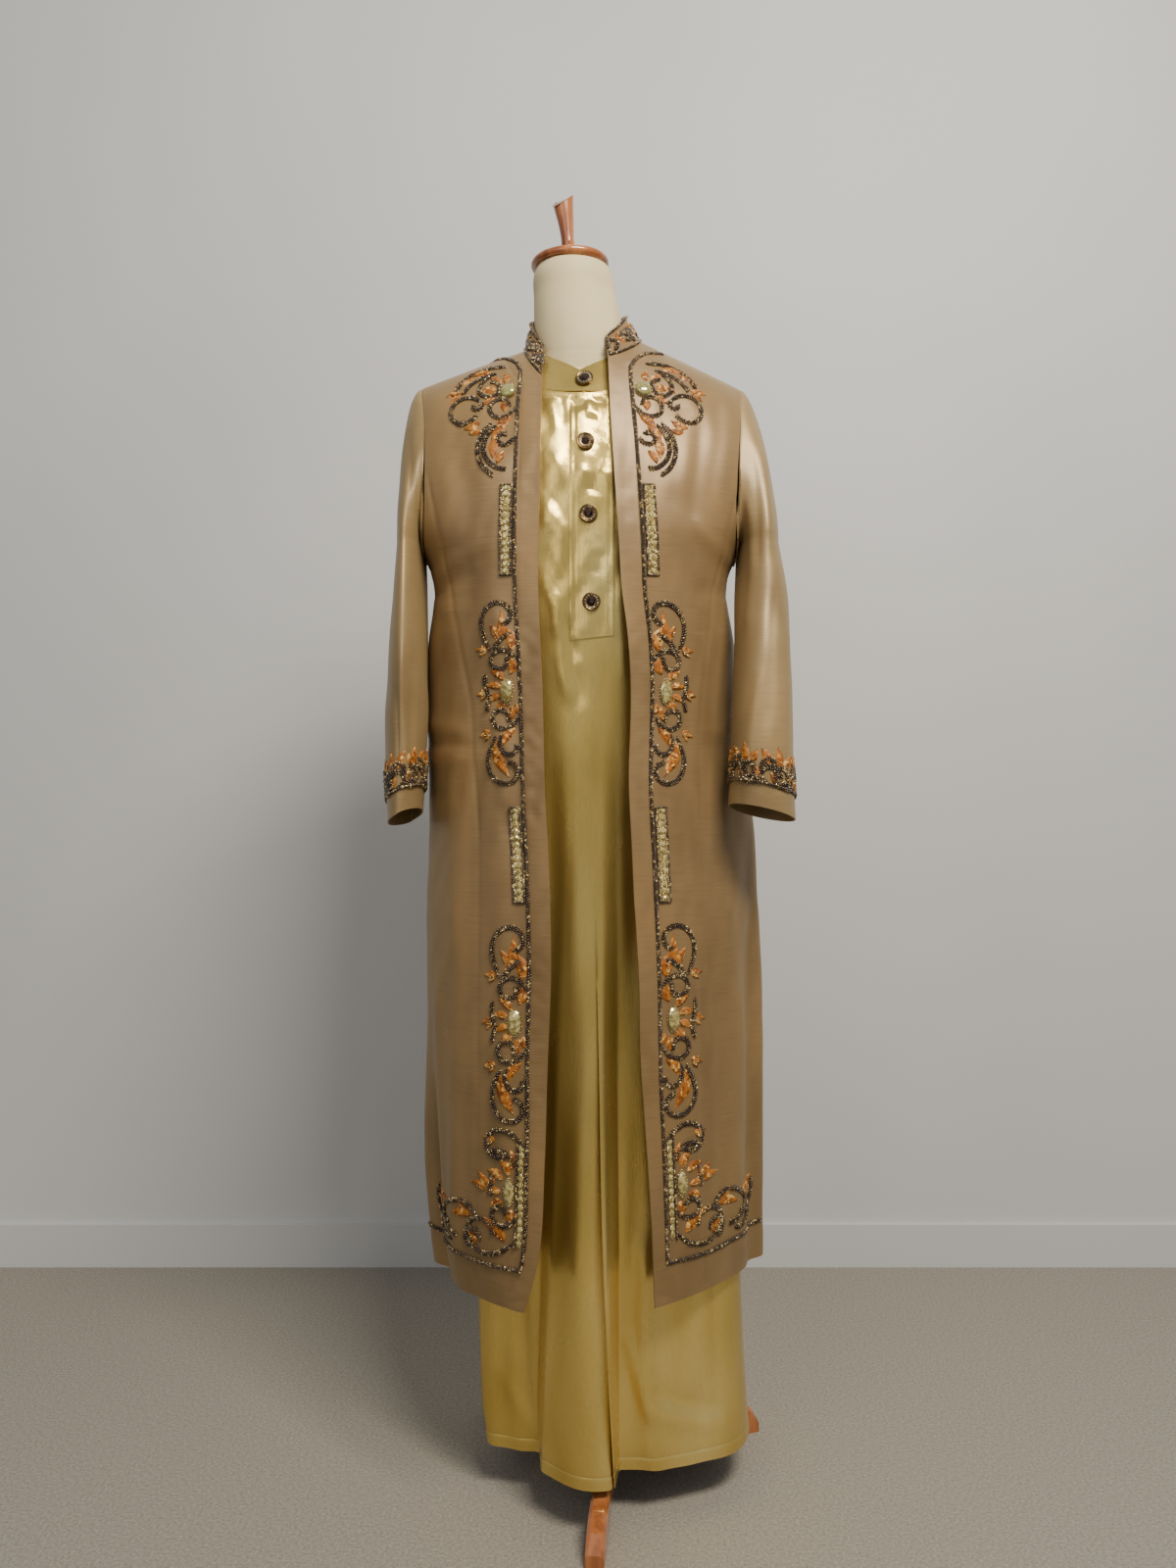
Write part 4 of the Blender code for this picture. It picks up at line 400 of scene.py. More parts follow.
THOBE_BACK_CREASES = (
    (-70, 800, -80, 120, 14, 2.0),
    (-20, 800, -22, 120, 13, -2.0),
    (40, 800, 46, 120, 14, 2.0),
    (95, 700, 110, 120, 12, -2.0),
    (-110, 700, -118, 120, 10, -1.6),
    (-4, 1400, 0, 1000, 2.0, -0.6),
)
SLEEVE_LEFT_CREASES = (
    # turn in degrees, height, turn, height, width, depth: 0 is the outer side, 90 the front
    (95, 1050, 108, 880, 9, 2.0),
    (75, 1000, 88, 900, 8, -1.6),
    (120, 1030, 132, 900, 9, -1.5),
    (60, 1330, 100, 1250, 11, -1.7),
    (100, 1300, 140, 1180, 11, 1.7),
    (230, 1200, 300, 1150, 11, 1.6),
    (220, 1100, 320, 1060, 11, -1.6),
    (240, 1010, 320, 985, 10, 1.6),
    (30, 1100, 20, 880, 11, 1.2),
)
SLEEVE_RIGHT_CREASES = (
    (60, 1310, 80, 1180, 12, 1.9),
    (95, 1300, 110, 1160, 11, -1.8),
    (120, 1240, 135, 1080, 10, 1.8),
    (70, 1120, 95, 960, 12, -1.7),
    (40, 1080, 55, 900, 12, 1.5),
    (110, 1020, 125, 900, 9, 1.3),
    (230, 1200, 310, 1140, 11, 1.6),
    (220, 1090, 320, 1040, 11, -1.6),
    (240, 1000, 310, 970, 10, 1.5),
)
HEM_ROWS_MM = (0, 3, 6, 9, 11, 12.5, 13.5, 14.5, 15.5, 16.5, 18)

# Scrolls of beaded cord, in front view from the motif's middle, outwards being +: where each starts, its
# heading in degrees (0 outwards, 90 up), its length, how far it turns, and how late it tightens into its curl
SIDE_SCROLLS = (
    # u, v, heading, length, turn, late
    (33, 50, 66, 112, 300, 2.0),
    (29, 46, 100, 34, 70, 1.0),
    (2, 37, 62, 80, -370, 1.4),
    (41, 21, -84, 26, -26, 1.0),
    (35, -4, -66, 20, -20, 1.0),
    (3, -32, -62, 80, 370, 1.4),
    (30, -54, -64, 110, -300, 2.0),
    (22, -52, -66, 48, -230, 1.5),
)
SIDE_LEAVES = (
    # u, v, angle, length, width
    (27, 54, 102, 40, 9), (7, 48, 80, 26, 12), (10, 20, 98, 20, 11), (19, 14, 38, 17, 9), (22, 5, 4, 16, 8),
    (21, -5, -24, 16, 8), (16, -13, -48, 17, 9), (9, -18, -86, 16, 9), (4, -15, -104, 12, 7),
    (6, -44, -54, 27, 9), (30, -60, -110, 40, 12), (26, 66, 70, 14, 6),
)
SIDE_BUDS = (
    # u, v, angle
    (38, 48, 12), (40, -4, 0), (37, -52, -8),
)
YOKE_SCROLLS = (
    (19, 63, 10, 76, -88, 1.3),
    (30, 53, -8, 50, -60, 1.3),
    (37, 48, -26, 80, -340, 1.25),
    (46, 11, 52, 98, -296, 1.1),
    (46, 11, -130, 24, 250, 1.2),
    (1, 2, -66, 84, 338, 1.3),
    (31, -20, -44, 78, -108, 1.1),
    (25, -23, -44, 76, -140, 1.25),
    (3, -40, -66, 44, 300, 1.3),
)
YOKE_LEAVES = (
    (38, 58, -8, 26, 9), (60, 50, -24, 22, 8), (72, 29, -10, 18, 7), (73, 24, -34, 14, 6),
    (17, 37, 84, 14, 8), (24, 34, 46, 17, 9), (27, 25, 12, 18, 9), (24, 15, -24, 18, 9), (13, 12, -84, 15, 9),
    (4, -8, -50, 27, 10), (14, -24, -58, 24, 10), (22, -38, -82, 26, 10), (12, -56, -60, 18, 8),
    (64, -24, 158, 20, 9), (58, -30, 172, 16, 7), (44, 30, -40, 10, 6),
)
YOKE_BUDS = ()
CORNER_SCROLLS = (
    (3, 60, 55, 98, -300, 1.5),
    (13, 38, 80, 36, -110, 1.0),
    (41, 26, -95, 26, 20, 1.0),
    (11, -20, -60, 68, 330, 1.5),
    (13, -50, -48, 126, 325, 1.6),
    (60, -27, 50, 92, -235, 1.1),
    (64, -68, 40, 46, 250, 1.4),
    (88, -68, -10, 40, 210, 1.4),
    (115, -22, -88, 44, -40, 1.0),
)
CORNER_LEAVES = (
    (16, 34, 82, 20, 9), (20, 26, 58, 19, 9), (27, 21, 20, 18, 9), (29, 5, -8, 16, 8), (27, -5, -30, 16, 8),
    (17, -12, -96, 18, 9), (22, -50, 32, 36, 13), (48, 4, 20, 17, 8), (48, 7, 62, 17, 8), (45, 9, 104, 15, 7),
    (66, -30, -12, 24, 10), (72, -26, 30, 16, 8), (57, -62, 50, 22, 9),
    (101, -36, 55, 20, 9), (108, -40, 80, 16, 8),
)
CORNER_BUDS = ((40, 60, 24),)
CUFF_SCROLLS = (
    # along the cuff, up, heading, length, turn, late: one repeat of 44 mm
    (2, 6, 34, 58, 300, 1.6),
    (22, 5, 60, 62, -300, 1.6),
    (4, 20, 66, 40, -170, 1.3),
    (30, 24, 80, 34, 200, 1.4),
)
CUFF_LEAVES = (
    (12, 30, 92, 22, 10), (22, 32, 60, 18, 9), (3, 33, 124, 16, 8), (34, 14, 70, 16, 8), (12, 12, 60, 14, 7),
)
COLLAR_SCROLLS = ((2, 6, 50, 46, 280, 1.5), (20, 22, -60, 44, 280, 1.5), (14, 26, 20, 26, -60, 1.0))
COLLAR_LEAVES = ((10, 18, 70, 17, 8), (24, 12, 110, 15, 7), (30, 24, 30, 14, 7))

CORD_MM = 6.8  # how wide a beaded cord is
BEAD_MM = 2.7
LEAF_SCALE = 1.28  # leaves are drawn a little larger than their rows say
COAT_ROWS = (0.278, 0.30, 0.34, 0.40, 0.46, 0.53, 0.60, 0.68, 0.76, 0.84, 0.92, 0.99, 1.05, 1.11, 1.17)
THOBE_ROWS = (0.060, 0.085, 0.14, 0.21, 0.29, 0.38, 0.48, 0.59, 0.70, 0.81, 0.92, 1.02, 1.10, 1.17)


SIGN = {"left": -1.0, "right": 1.0}  # the left in a front view, the wearer's right, has x below 0
SIDES = ("left", "right")
TINY = 1e-12


def rows_of(table, columns):
    """A table's columns by name."""
    return {name: np.array([row[k] for row in table]) for k, name in enumerate(columns)}


SECTION_COLUMNS = (
    "z", "left", "right", "front_left", "front_right", "back", "square_left", "square_right", "square_back",
)
FOLD_COLUMNS = ("z", "left", "right", "flank", "depth_left", "depth_right")
EDGE_COLUMNS = ("z", "left", "right")
SLEEVE_COLUMNS = ("z", "x", "y", "half_width", "half_depth", "square")
COAT = rows_of(COAT_SECTIONS, SECTION_COLUMNS)
COAT.update(neck=COAT_NECK, holes=rows_of(COAT_ARMHOLES, EDGE_COLUMNS), folds=COAT_FOLDS, drop=0.0)
THOBE = rows_of(THOBE_SECTIONS, SECTION_COLUMNS)
THOBE.update(neck=THOBE_NECK, holes=rows_of(THOBE_ARMHOLES, EDGE_COLUMNS), folds=THOBE_FOLDS, drop=THOBE_DROP)
FORM = rows_of(FORM_SECTIONS, SECTION_COLUMNS)
FORM.update(drop=FORM_DROP)
EDGES = rows_of(COAT_EDGES, EDGE_COLUMNS)
FOLD_OUT = rows_of(FRONT_FOLD, FOLD_COLUMNS)
RIDGE = rows_of(COAT_RIDGE, ("x", "z"))
CENTRES = rows_of(CENTRE_LINE, ("z", "x"))


def smooth(x, xs, ys):
    """A smooth curve through (xs, ys), with xs rising."""
    x = np.clip(x, xs[0], xs[-1])
    slopes = np.gradient(ys, xs)
    k = np.clip(np.searchsorted(xs, x, side="right") - 1, 0, len(xs) - 2)
    span = xs[k + 1] - xs[k]
    t = (x - xs[k]) / span
    near = (1 + 2 * t) * (1 - t) ** 2 * ys[k] + t * (1 - t) ** 2 * span * slopes[k]
    far = t * t * (3 - 2 * t) * ys[k + 1] + t * t * (t - 1) * span * slopes[k + 1]
    return near + far


def ease(t):
    """0 to 1 with flat ends."""
    t = np.clip(t, 0.0, 1.0)
    return t * t * (3 - 2 * t)


def read(rows, name, z):
    """A table's column at the height z."""
    return smooth(z, rows["z"], rows[name])


def unit(vectors):
    """The vectors at length 1."""
    return vectors / np.maximum(np.linalg.norm(vectors, axis=-1, keepdims=True), TINY)


def running(steps):
    """The distance at each point of a line with these steps."""
    return np.concatenate([[0], np.cumsum(steps)])


def circle(count):
    """Even turns all round, in radians."""
    return 2 * math.pi * np.arange(count) / count


def centre(z):
    return read(CENTRES, "x", z)


def quarter(garment, side, face, z):
    """A quarter of the section at height z, from the middle front or back to the side seam: x, y arrays."""
    middle = centre(z)
    half = abs(read(garment, side, z) - middle)
    depth = -read(garment, "front_" + side, z) if face == "front" else read(garment, "back", z)
    square = read(garment, "square_" + (side if face == "front" else "back"), z)
    turn = np.linspace(0, math.pi / 2, DENSE)
    return middle + SIGN[side] * half * np.sin(turn) ** square, depth * np.cos(turn) ** square


def bulge(x, z):
    """How far the thobe's front fold stands out at x, a box with soft flanks."""
    left, right, flank, deep_left, deep_right = (read(FOLD_OUT, name, z) for name in FOLD_COLUMNS[1:])
    across = np.clip((x - left) / (right - left), 0, 1)
    rise = ease((x - left + flank) / flank) * ease((right + flank - x) / flank)
    crown = 1 + 0.25 * np.sin(math.pi * across)
    return rise * crown * (deep_left + (deep_right - deep_left) * across)


def run_share(x, y):
    """How far along a curve each of its points lies, from 0 to 1."""
    run = running(np.hypot(np.diff(x), np.diff(y)))
    return run / run[-1]


def half_section(garment, side, z):
    """The dense half section from the middle front (0) past the side seam (1) to the middle back (2)."""
    front_x, front_y = quarter(garment, side, "front", z)
    if garment is THOBE:
        front_y = front_y - bulge(front_x, z)
    back_x, back_y = quarter(garment, side, "back", z)
    # the back's quarter starts at the middle back, so it is turned round to run on from the side seam
    x = np.concatenate([front_x, back_x[::-1][1:]])
    y = np.concatenate([front_y, back_y[::-1][1:]])
    place = np.concatenate([run_share(front_x, front_y), (2.0 - run_share(back_x, back_y))[::-1][1:]])
    return x, y, place


def folds(table, at, z):
    """How far the cloth stands out of its plain section at this place."""
    total = np.zeros_like(at)
    for middle, width, depth, bottom, top in table:
        fade = ease((top - z) / (0.55 * (top - bottom)))
        total = total + depth * fade * np.exp(-(((at - middle) / width) ** 2))
    return total


def trunk(garment, side, at, z):
    """Points of a garment below the armholes: at is 0 to 2 along the half section, z one height."""
    x, y, place = half_section(garment, side, z)
    px = np.interp(at, place, x)
    py = np.interp(at, place, y)
    tangent_x = np.interp(at + 0.01, place, x) - np.interp(at - 0.01, place, x)
    tangent_y = np.interp(at + 0.01, place, y) - np.interp(at - 0.01, place, y)
    sign = SIGN[side]
    length = np.maximum(np.hypot(tangent_x, tangent_y), 1e-9)
    out = folds(garment["folds"], sign * at, z)
    px = px + out * sign * tangent_y / length
    py = py - out * sign * tangent_x / length
    return np.stack([px, py, np.full_like(px, z)], axis=-1)


def ridge(garment, x):
    """The height of the shoulder ridge over x."""
    return np.interp(x, RIDGE["x"], RIDGE["z"]) - garment["drop"]


def dome(garment, face, x, z):
    """The y of the chest or the back over (x, z), between the underarm and the shoulder ridge."""
    middle = centre(z)
    half = np.where(x < middle, read(garment, "left", z), read(garment, "right", z)) - middle
    across = np.clip((x - middle) / half, 0, 1)
    if face == "front":
        depth = -np.where(x < middle, read(garment, "front_left", z), read(garment, "front_right", z))
        square = read(garment, "square_left", z)
        full = CHEST_FULL
    else:
        depth = read(garment, "back", z)
        square = read(garment, "square_back", z)
        full = BACK_FULL
    body = depth * (1 - across ** (2 / square)) ** (square / 2)
    rise = np.clip((z - UNDERARM) / (ridge(garment, x) - UNDERARM), 0, 1)
    return body * np.sqrt(1 - rise**full)


def neck_point(garment, side):
    """Where the neckline meets the shoulder seam, in front view."""
    x = garment["neck"]["x"] + SIGN[side] * garment["neck"]["half"]
    return x, float(ridge(garment, x))


def neckline(garment, side, face, turn):
    """The neckline in front view: turn is 0 at the middle and 90 degrees at the neck point."""
    ring = garment["neck"]
    x, z = neck_point(garment, side)
    drop = z - ring["back" if face == "back" else side]
    flat = NECKLINE_FLAT if garment is THOBE and face == "front" else 1.0
    fall = np.clip(np.cos(turn), 0, 1) ** flat
    return ring["x"] + (x - ring["x"]) * np.sin(turn), z - drop * fall


def armhole(garment, side, share):
    """The armhole in front view, from the underarm (0) to the shoulder tip (1)."""
    rows = garment["holes"]
    top = float(ridge(garment, rows[side][-1]))
    z = UNDERARM + (top - UNDERARM) * share
    return smooth(z, np.append(rows["z"][:-1], top), rows[side]), z


def patch(garment, side, face, inner, columns):
    """The part of a panel above the underarm, as a grid of rows, from its inner edge to its armhole.

    inner(share) gives the inner edge in front view, from the underarm to the neck point.
    """
    share = np.sin(np.linspace(0, math.pi / 2, PATCH_ROWS + 1))[:, None]
    across = np.linspace(0, 1, columns + 1)[None, :]
    inner_x, inner_z = inner(share)
    outer_x, outer_z = armhole(garment, side, share)
    low = trunk(garment, side, row_places(garment, side, face, UNDERARM, columns), UNDERARM)
    low_x = low[:, 0][None, :]
    neck_x, neck_z = neck_point(garment, side)
    tip_x, tip_z = outer_x[-1, 0], outer_z[-1, 0]
    top_x = neck_x + (tip_x - neck_x) * across
    top_z = neck_z + (tip_z - neck_z) * across
    corner_x = (
        (1 - across) * (1 - share) * low_x[0, 0]
        + across * (1 - share) * low_x[0, -1]
        + (1 - across) * share * neck_x
        + across * share * tip_x
    )
    corner_z = (1 - share) * UNDERARM + share * ((1 - across) * neck_z + across * tip_z)
    x = (1 - share) * low_x + share * top_x + (1 - across) * inner_x + across * outer_x - corner_x
    z = (1 - share) * UNDERARM + share * top_z + (1 - across) * inner_z + across * outer_z - corner_z
    z = np.minimum(z, ridge(garment, x))
    y = dome(garment, face, x, z)
    y[-1] = 0.0
    low_y = dome(garment, face, x[0], z[0])
    y = y + (low[:, 1] - low_y)[None, :] * (1 - share) ** 2
    return np.stack([x, y, z], axis=-1)


def edge_place(side, z):
    """Where the coat's front edge lies along its half section."""
    x, _, place = half_section(COAT, side, z)
    front = place <= 1
    edge = smooth(z, EDGES["z"], EDGES[side])
    order = np.argsort(x[front])
    return float(np.interp(edge, x[front][order], place[front][order]))


def row_places(garment, side, face, z, columns):
    """The places of a row's points along the half section, from its inner edge to the side seam."""
    if face == "back":
        return np.linspace(2.0, 1.0, columns + 1)
    start = edge_place(side, z) if garment is COAT else 0.0
    return np.linspace(start, 1.0, columns + 1)


def row_share(row):
    """How far up the patch one of its rows lies."""
    return math.sin(0.5 * math.pi * row / PATCH_ROWS)


def inner_edge(garment, side, face):
    """A panel's inner edge above the underarm: the middle or the front edge, and then the neckline."""
    ring = garment["neck"]
    on_edge = garment is COAT and face == "front"
    front_row = COAT_NECK_ROW if garment is COAT else THOBE_NECK_ROW
    start = row_share(BACK_NECK_ROW if face == "back" else front_row)
    first = 0.0
    if on_edge:
        reach = float(EDGES[side][-1]) - ring["x"]
        first = math.asin(reach / (neck_point(COAT, side)[0] - ring["x"]))
    top_z = float(neckline(garment, side, face, first)[1])
    turns = np.linspace(first, math.pi / 2, 400)
    curve_x, curve_z = neckline(garment, side, face, turns)
    curve_y = dome(garment, face, curve_x, curve_z)
    run = running(np.sqrt(np.diff(curve_x) ** 2 + np.diff(curve_y) ** 2 + np.diff(curve_z) ** 2))

    def edge(share):
        below = np.clip(share / start, 0, 1)
        turn = np.interp(run[-1] * np.clip((share - start) / (1 - start), 0, 1), run, turns)
        neck_x, neck_z = neckline(garment, side, face, turn)
        straight_z = UNDERARM + (top_z - UNDERARM) * below
        if on_edge:
            straight_x = read(EDGES, side, straight_z)
        else:
            straight_x = centre(UNDERARM) + (ring["x"] - centre(UNDERARM)) * below
        low = share < start
        return np.where(low, straight_x, neck_x), np.where(low, straight_z, neck_z)
    return edge


def panel(garment, side, face, columns):
    """A half panel's grid, from the hem up, and from its inner edge to its side seam and armhole."""
    heights = COAT_ROWS if garment is COAT else THOBE_ROWS
    inner = inner_edge(garment, side, face)
    rows = [trunk(garment, side, row_places(garment, side, face, z, columns), z) for z in heights[:-1]]
    return np.concatenate([np.array(rows), patch(garment, side, face, inner, columns)])


def normals(grid, closed=False):
    """Unit normals of a grid by differences along its rows and columns."""
    if closed:
        along = np.roll(grid, -1, axis=1) - np.roll(grid, 1, axis=1)
    else:
        along = np.gradient(grid, axis=1)
    return unit(np.cross(along, np.gradient(grid, axis=0)))


def shrink_edges(grid):
    """Pulls a grid's last column and its top row in by half a seam gap."""
    grid = grid.copy()
    every = slice(None)
    for edge, inner in (((every, -1), (every, -2)), ((-1, every), (-2, every))):
        grid[edge] = grid[edge] + unit(grid[inner] - grid[edge]) * (SEAM_GAP / 2)
    return grid


# Grids made finer than the CAD source's, by whole numbers so that the same rows are kept
FINER = 5
PATCH_ROWS = 9 * FINER
THOBE_NECK_ROW = 4 * FINER
COAT_NECK_ROW = 5 * FINER
BACK_NECK_ROW = 6 * FINER
DENSE = 240
ROW_STEP = 0.0085  # about how far apart the rows are
ROW_LEAST = 0.002


def finer_rows(heights, hem_mm):
    """A list of row heights with extra rows between, and close ones at the hem."""
    rows = [heights[0] + mm / 1000 for mm in hem_mm]
    for low, high in zip(heights, heights[1:]):
        parts = max(2, round((high - low) / ROW_STEP))
        between = [low + (high - low) * k / parts for k in range(parts)]
        rows += [z for z in between if z > rows[-1] + ROW_LEAST]
    return tuple(rows) + (heights[-1],)


COAT_ROWS = finer_rows(COAT_ROWS, HEM_ROWS_MM)
THOBE_ROWS = finer_rows(THOBE_ROWS, HEM_ROWS_MM)
random = np.random.RandomState(7)  # for the beads of all cords, in the order in which they are laid


def uneven(values, step, seed):
    """A smooth uneven curve between -1 and 1 over values, with a new height every step."""
    knots = np.random.RandomState(seed).uniform(-1, 1, 400)
    place = np.asarray(values) / step + 50.0
    low = np.floor(place).astype(int) % 399
    return knots[low] + (knots[low + 1] - knots[low]) * ease(place - np.floor(place))


def ripples(across, up, wide, tall, seed):
    """Soft uneven waves: wide and tall are their sizes in metres."""
    total = np.zeros(np.broadcast(across, up).shape)
    for k in range(3):
        lean = 0.35 * np.random.RandomState(seed + k).uniform(-1, 1)
        a = (across + lean * up) / wide + 7.3 * k
        b = (up - lean * across) / tall + 3.1 * k
        wave = np.sin(2 * math.pi * (a + 0.35 * uneven(up, tall, seed + 10 + k)))
        total = total + wave * uneven(b, 1.0, seed + 20 + k)
    return total / 1.6


def groove(place, middle, width):
    """A soft bell of height 1 at the middle; its width is in the place's unit."""
    return np.exp(-(((place - middle) / width) ** 2))


def creases(table, across, up):
    """The troughs and ridges of a table, in metres: across and up are arrays in metres."""
    total = np.zeros(np.broadcast(across, up).shape)
    for x0, z0, x1, z1, width, depth in table:
        ax, az = x0 / 1000, z0 / 1000
        dx, dz = (x1 - x0) / 1000, (z1 - z0) / 1000
        length = math.hypot(dx, dz)
        along = ((across - ax) * dx + (up - az) * dz) / length
        off = ((across - ax) * dz - (up - az) * dx) / length
        off = off + 0.25 * width / 1000 * np.sin(along / length * 5.0 + x0)
        soft = max(0.25 * length, 0.004)
        ends = ease((along + 0.5 * soft) / soft) * ease((length - along + 0.5 * soft) / soft)
        total = total + depth / 1000 * ends * groove(off, 0.0, width / 1000)
    return total


def moved(grid, facing, depth, closed=False):
    """The grid moved out along its normals."""
    return grid + depth[..., None] * facing * normals(grid, closed)


def run_along(grid):
    """Each point's distance along its row from the first column."""
    steps = np.linalg.norm(np.diff(grid, axis=1), axis=-1)
    return np.concatenate([np.zeros((len(grid), 1)), np.cumsum(steps, axis=1)], axis=1)


def index_grid(grid, first=0, closed=False):
    """The numbers of a grid's points, with the first column once more if it is closed."""
    rows, columns = grid.shape[:2]
    index = np.arange(rows * columns).reshape(rows, columns) + first
    return np.concatenate([index, index[:, :1]], axis=1) if closed else index


def quads(index):
    """The faces between the rows and columns of an index grid."""
    return np.stack([index[:-1, :-1], index[:-1, 1:], index[1:, 1:], index[1:, :-1]], axis=-1).reshape(-1, 4)


def mesh_object(name, points, faces, finishes):
    """An object with its own mesh, linked to the scene."""
    mesh = bpy.data.meshes.new(name)
    mesh.from_pydata(np.asarray(points).tolist(), [], faces)
    for finish in finishes:
        mesh.materials.append(finish)
    made = bpy.data.objects.new(name, mesh)
    bpy.context.scene.collection.objects.link(made)
    return made


def smooth_solid(name, points, faces, finish, sharp=55):
    """A closed body that rides on the frame, shaded softly up to an angle in degrees."""
    made = mesh_object(name, points, faces, [finish])
    made.data.validate()
    made.data.shade_smooth()
    made.data.set_sharp_from_angle(angle=math.radians(sharp))
    turn_out(made)
    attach(made, "root")
    return made


def shell(name, inner, outer, finish, closed=False):
    """A closed shell between two grids of one size."""
    index = index_grid(inner, closed=closed)
    sheet = quads(index)
    shift = inner.shape[0] * inner.shape[1]
    faces = [sheet[:, ::-1], sheet + shift]
    rims = [index[0], index[-1][::-1]]
    if not closed:
        rims += [index[::-1, 0], index[:, -1]]
    for rim in rims:
        faces.append(np.stack([rim[:-1], rim[:-1] + shift, rim[1:] + shift, rim[1:]], axis=-1)[:, ::-1])
    points = np.concatenate([inner.reshape(-1, 3), outer.reshape(-1, 3)])
    return smooth_solid(name, points, np.concatenate(faces).tolist(), finish)


def turn_out(made):
    """Turns all faces out, judging by the mesh's volume."""
    mesh = made.data
    mesh.calc_loop_triangles()
    corners = np.zeros(len(mesh.loop_triangles) * 3, dtype=np.int64)
    mesh.loop_triangles.foreach_get("vertices", corners)
    points = np.zeros(len(mesh.vertices) * 3)
    mesh.vertices.foreach_get("co", points)
    corner = points.reshape(-1, 3)[corners.reshape(-1, 3)]
    volume = np.einsum("ij,ij->i", corner[:, 0], np.cross(corner[:, 1], corner[:, 2])).sum()
    if volume < 0:
        mesh.flip_normals()


def declare_sheet(made, grids, replaced):
    """Works out a cloth's cut, prints it and hides the node it replaces: its widest row, its longest column
    and its area, in metres.
    """
    width, length, area = 0.0, 0.0, 0.0
    for grid in grids:
        width += float(run_along(grid)[:, -1].max())
        length = max(length, float(np.linalg.norm(np.diff(grid, axis=0), axis=-1).sum(axis=0).max()))
        a, b = grid[1:, :-1] - grid[:-1, :-1], grid[:-1, 1:] - grid[:-1, :-1]
        area += float(np.linalg.norm(np.cross(a, b), axis=-1).sum())
    width, length, area = round(width, 3), round(length, 3), round(area, 4)
    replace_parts(made, replaced)
    print("cut", made.name, width, length, area)


def cloth_piece(name, grid, facing, thickness, finish, replaced, closed=False):
    """A shell of cloth on its grid, put in the frame, its cut printed and its CAD node hidden: gives its
    outer face.
    """
    outer = grid + thickness * facing * normals(grid, closed)
    made = shell(name, grid, outer, finish, closed)
    sized = np.concatenate([grid, grid[:, :1]], axis=1) if closed else grid
    declare_sheet(made, [sized], replaced)
    return outer


def neck_ring(fronts, back, rows, start_row):
    """The panels' own neckline points, inner and outer, from the right front round the back to the left."""
    first = len(rows) - 1
    pairs = []
    for side in SIDES[::-1]:
        inner, outer = fronts[side]
        front = [(inner[r, 0], outer[r, 0]) for r in range(first + start_row, first + PATCH_ROWS + 1)]
        inner, outer = back[side]
        rear = [(inner[r, 0], outer[r, 0]) for r in range(first + PATCH_ROWS, first + BACK_NECK_ROW - 1, -1)]
        joined = [tuple((p + q) / 2 for p, q in zip(front[-1], rear[0]))]
        half = front[:-1] + joined + rear[1:]
        pairs += half if side == "right" else half[::-1][1:]
    return np.array(pairs)


def away_from_panel(ring, axis_x):
    """At each neckline point, the direction in the panel's surface that leads away from the panel."""
    along = np.gradient(ring[:, 0], axis=0)
    away = unit(np.cross(along, ring[:, 1] - ring[:, 0]))
    inwards = np.array([axis_x, 0.0, 0.0]) - ring[:, 0]
    inwards[:, 2] = 0.05
    return away * np.sign(np.sum(away * inwards, axis=-1, keepdims=True))


def bearing(points, axis_x):
    """Degrees from the front about the neck, + on the right, and on past 180 round to the left front."""
    turn = np.degrees(np.arctan2(points[:, 0] - axis_x, -points[:, 1]))
    turn = np.where(np.arange(len(turn)) > len(turn) / 2, turn % 360, turn)
    return np.degrees(np.unwrap(np.radians(turn)))


def edge_ring(front, back):
    """The armhole's ring on the two panels: from the tip down the front, and up the back to the tip."""
    ring = np.concatenate([front[:0:-1], back[:-1]])
    ring[0] = (front[-1] + back[-1]) / 2
    ring[len(front) - 1] = (front[0] + back[0]) / 2
    return ring


def new_material(name, colour, roughness, metallic=0.0, **more):
    """A material, its tree and its shader; more holds other inputs, named with _ for spaces."""
    made = bpy.data.materials.new(name)
    made.use_nodes = True
    shader = made.node_tree.nodes["Principled BSDF"]
    shader.inputs["Base Color"].default_value = (*colour, 1.0)
    shader.inputs["Roughness"].default_value = roughness
    shader.inputs["Metallic"].default_value = metallic
    for key, value in more.items():
        shader.inputs[key.replace("_", " ")].default_value = value
    return made, made.node_tree, shader


def add_node(tree, kind, inputs=None, **settings):
    made = tree.nodes.new(kind)
    for key, value in settings.items():
        setattr(made, key, value)
    for key, value in (inputs or {}).items():
        if isinstance(value, bpy.types.NodeSocket):
            tree.links.new(value, made.inputs[key])
        else:
            made.inputs[key].default_value = value
    return made


def stretched_noise(tree, scale, detail=3.0, rough=0.6):
    """Noise over the object's own place, with its own scale along each axis."""
    place = add_node(tree, "ShaderNodeTexCoord")
    mapped = add_node(tree, "ShaderNodeMapping", {"Vector": place.outputs["Object"], "Scale": scale})
    settings = {"Vector": mapped.outputs["Vector"], "Scale": 1.0, "Detail": detail, "Roughness": rough}
    return add_node(tree, "ShaderNodeTexNoise", settings).outputs["Fac"]


def ramp(tree, value, stops):
    made = add_node(tree, "ShaderNodeValToRGB", {"Fac": value})
    bar = made.color_ramp
    bar.elements[0].position, bar.elements[0].color = stops[0][0], (*stops[0][1], 1.0)
    bar.elements[1].position, bar.elements[1].color = stops[-1][0], (*stops[-1][1], 1.0)
    for place, colour in stops[1:-1]:
        step = bar.elements.new(place)
        step.color = (*colour, 1.0)
    return made.outputs["Color"]


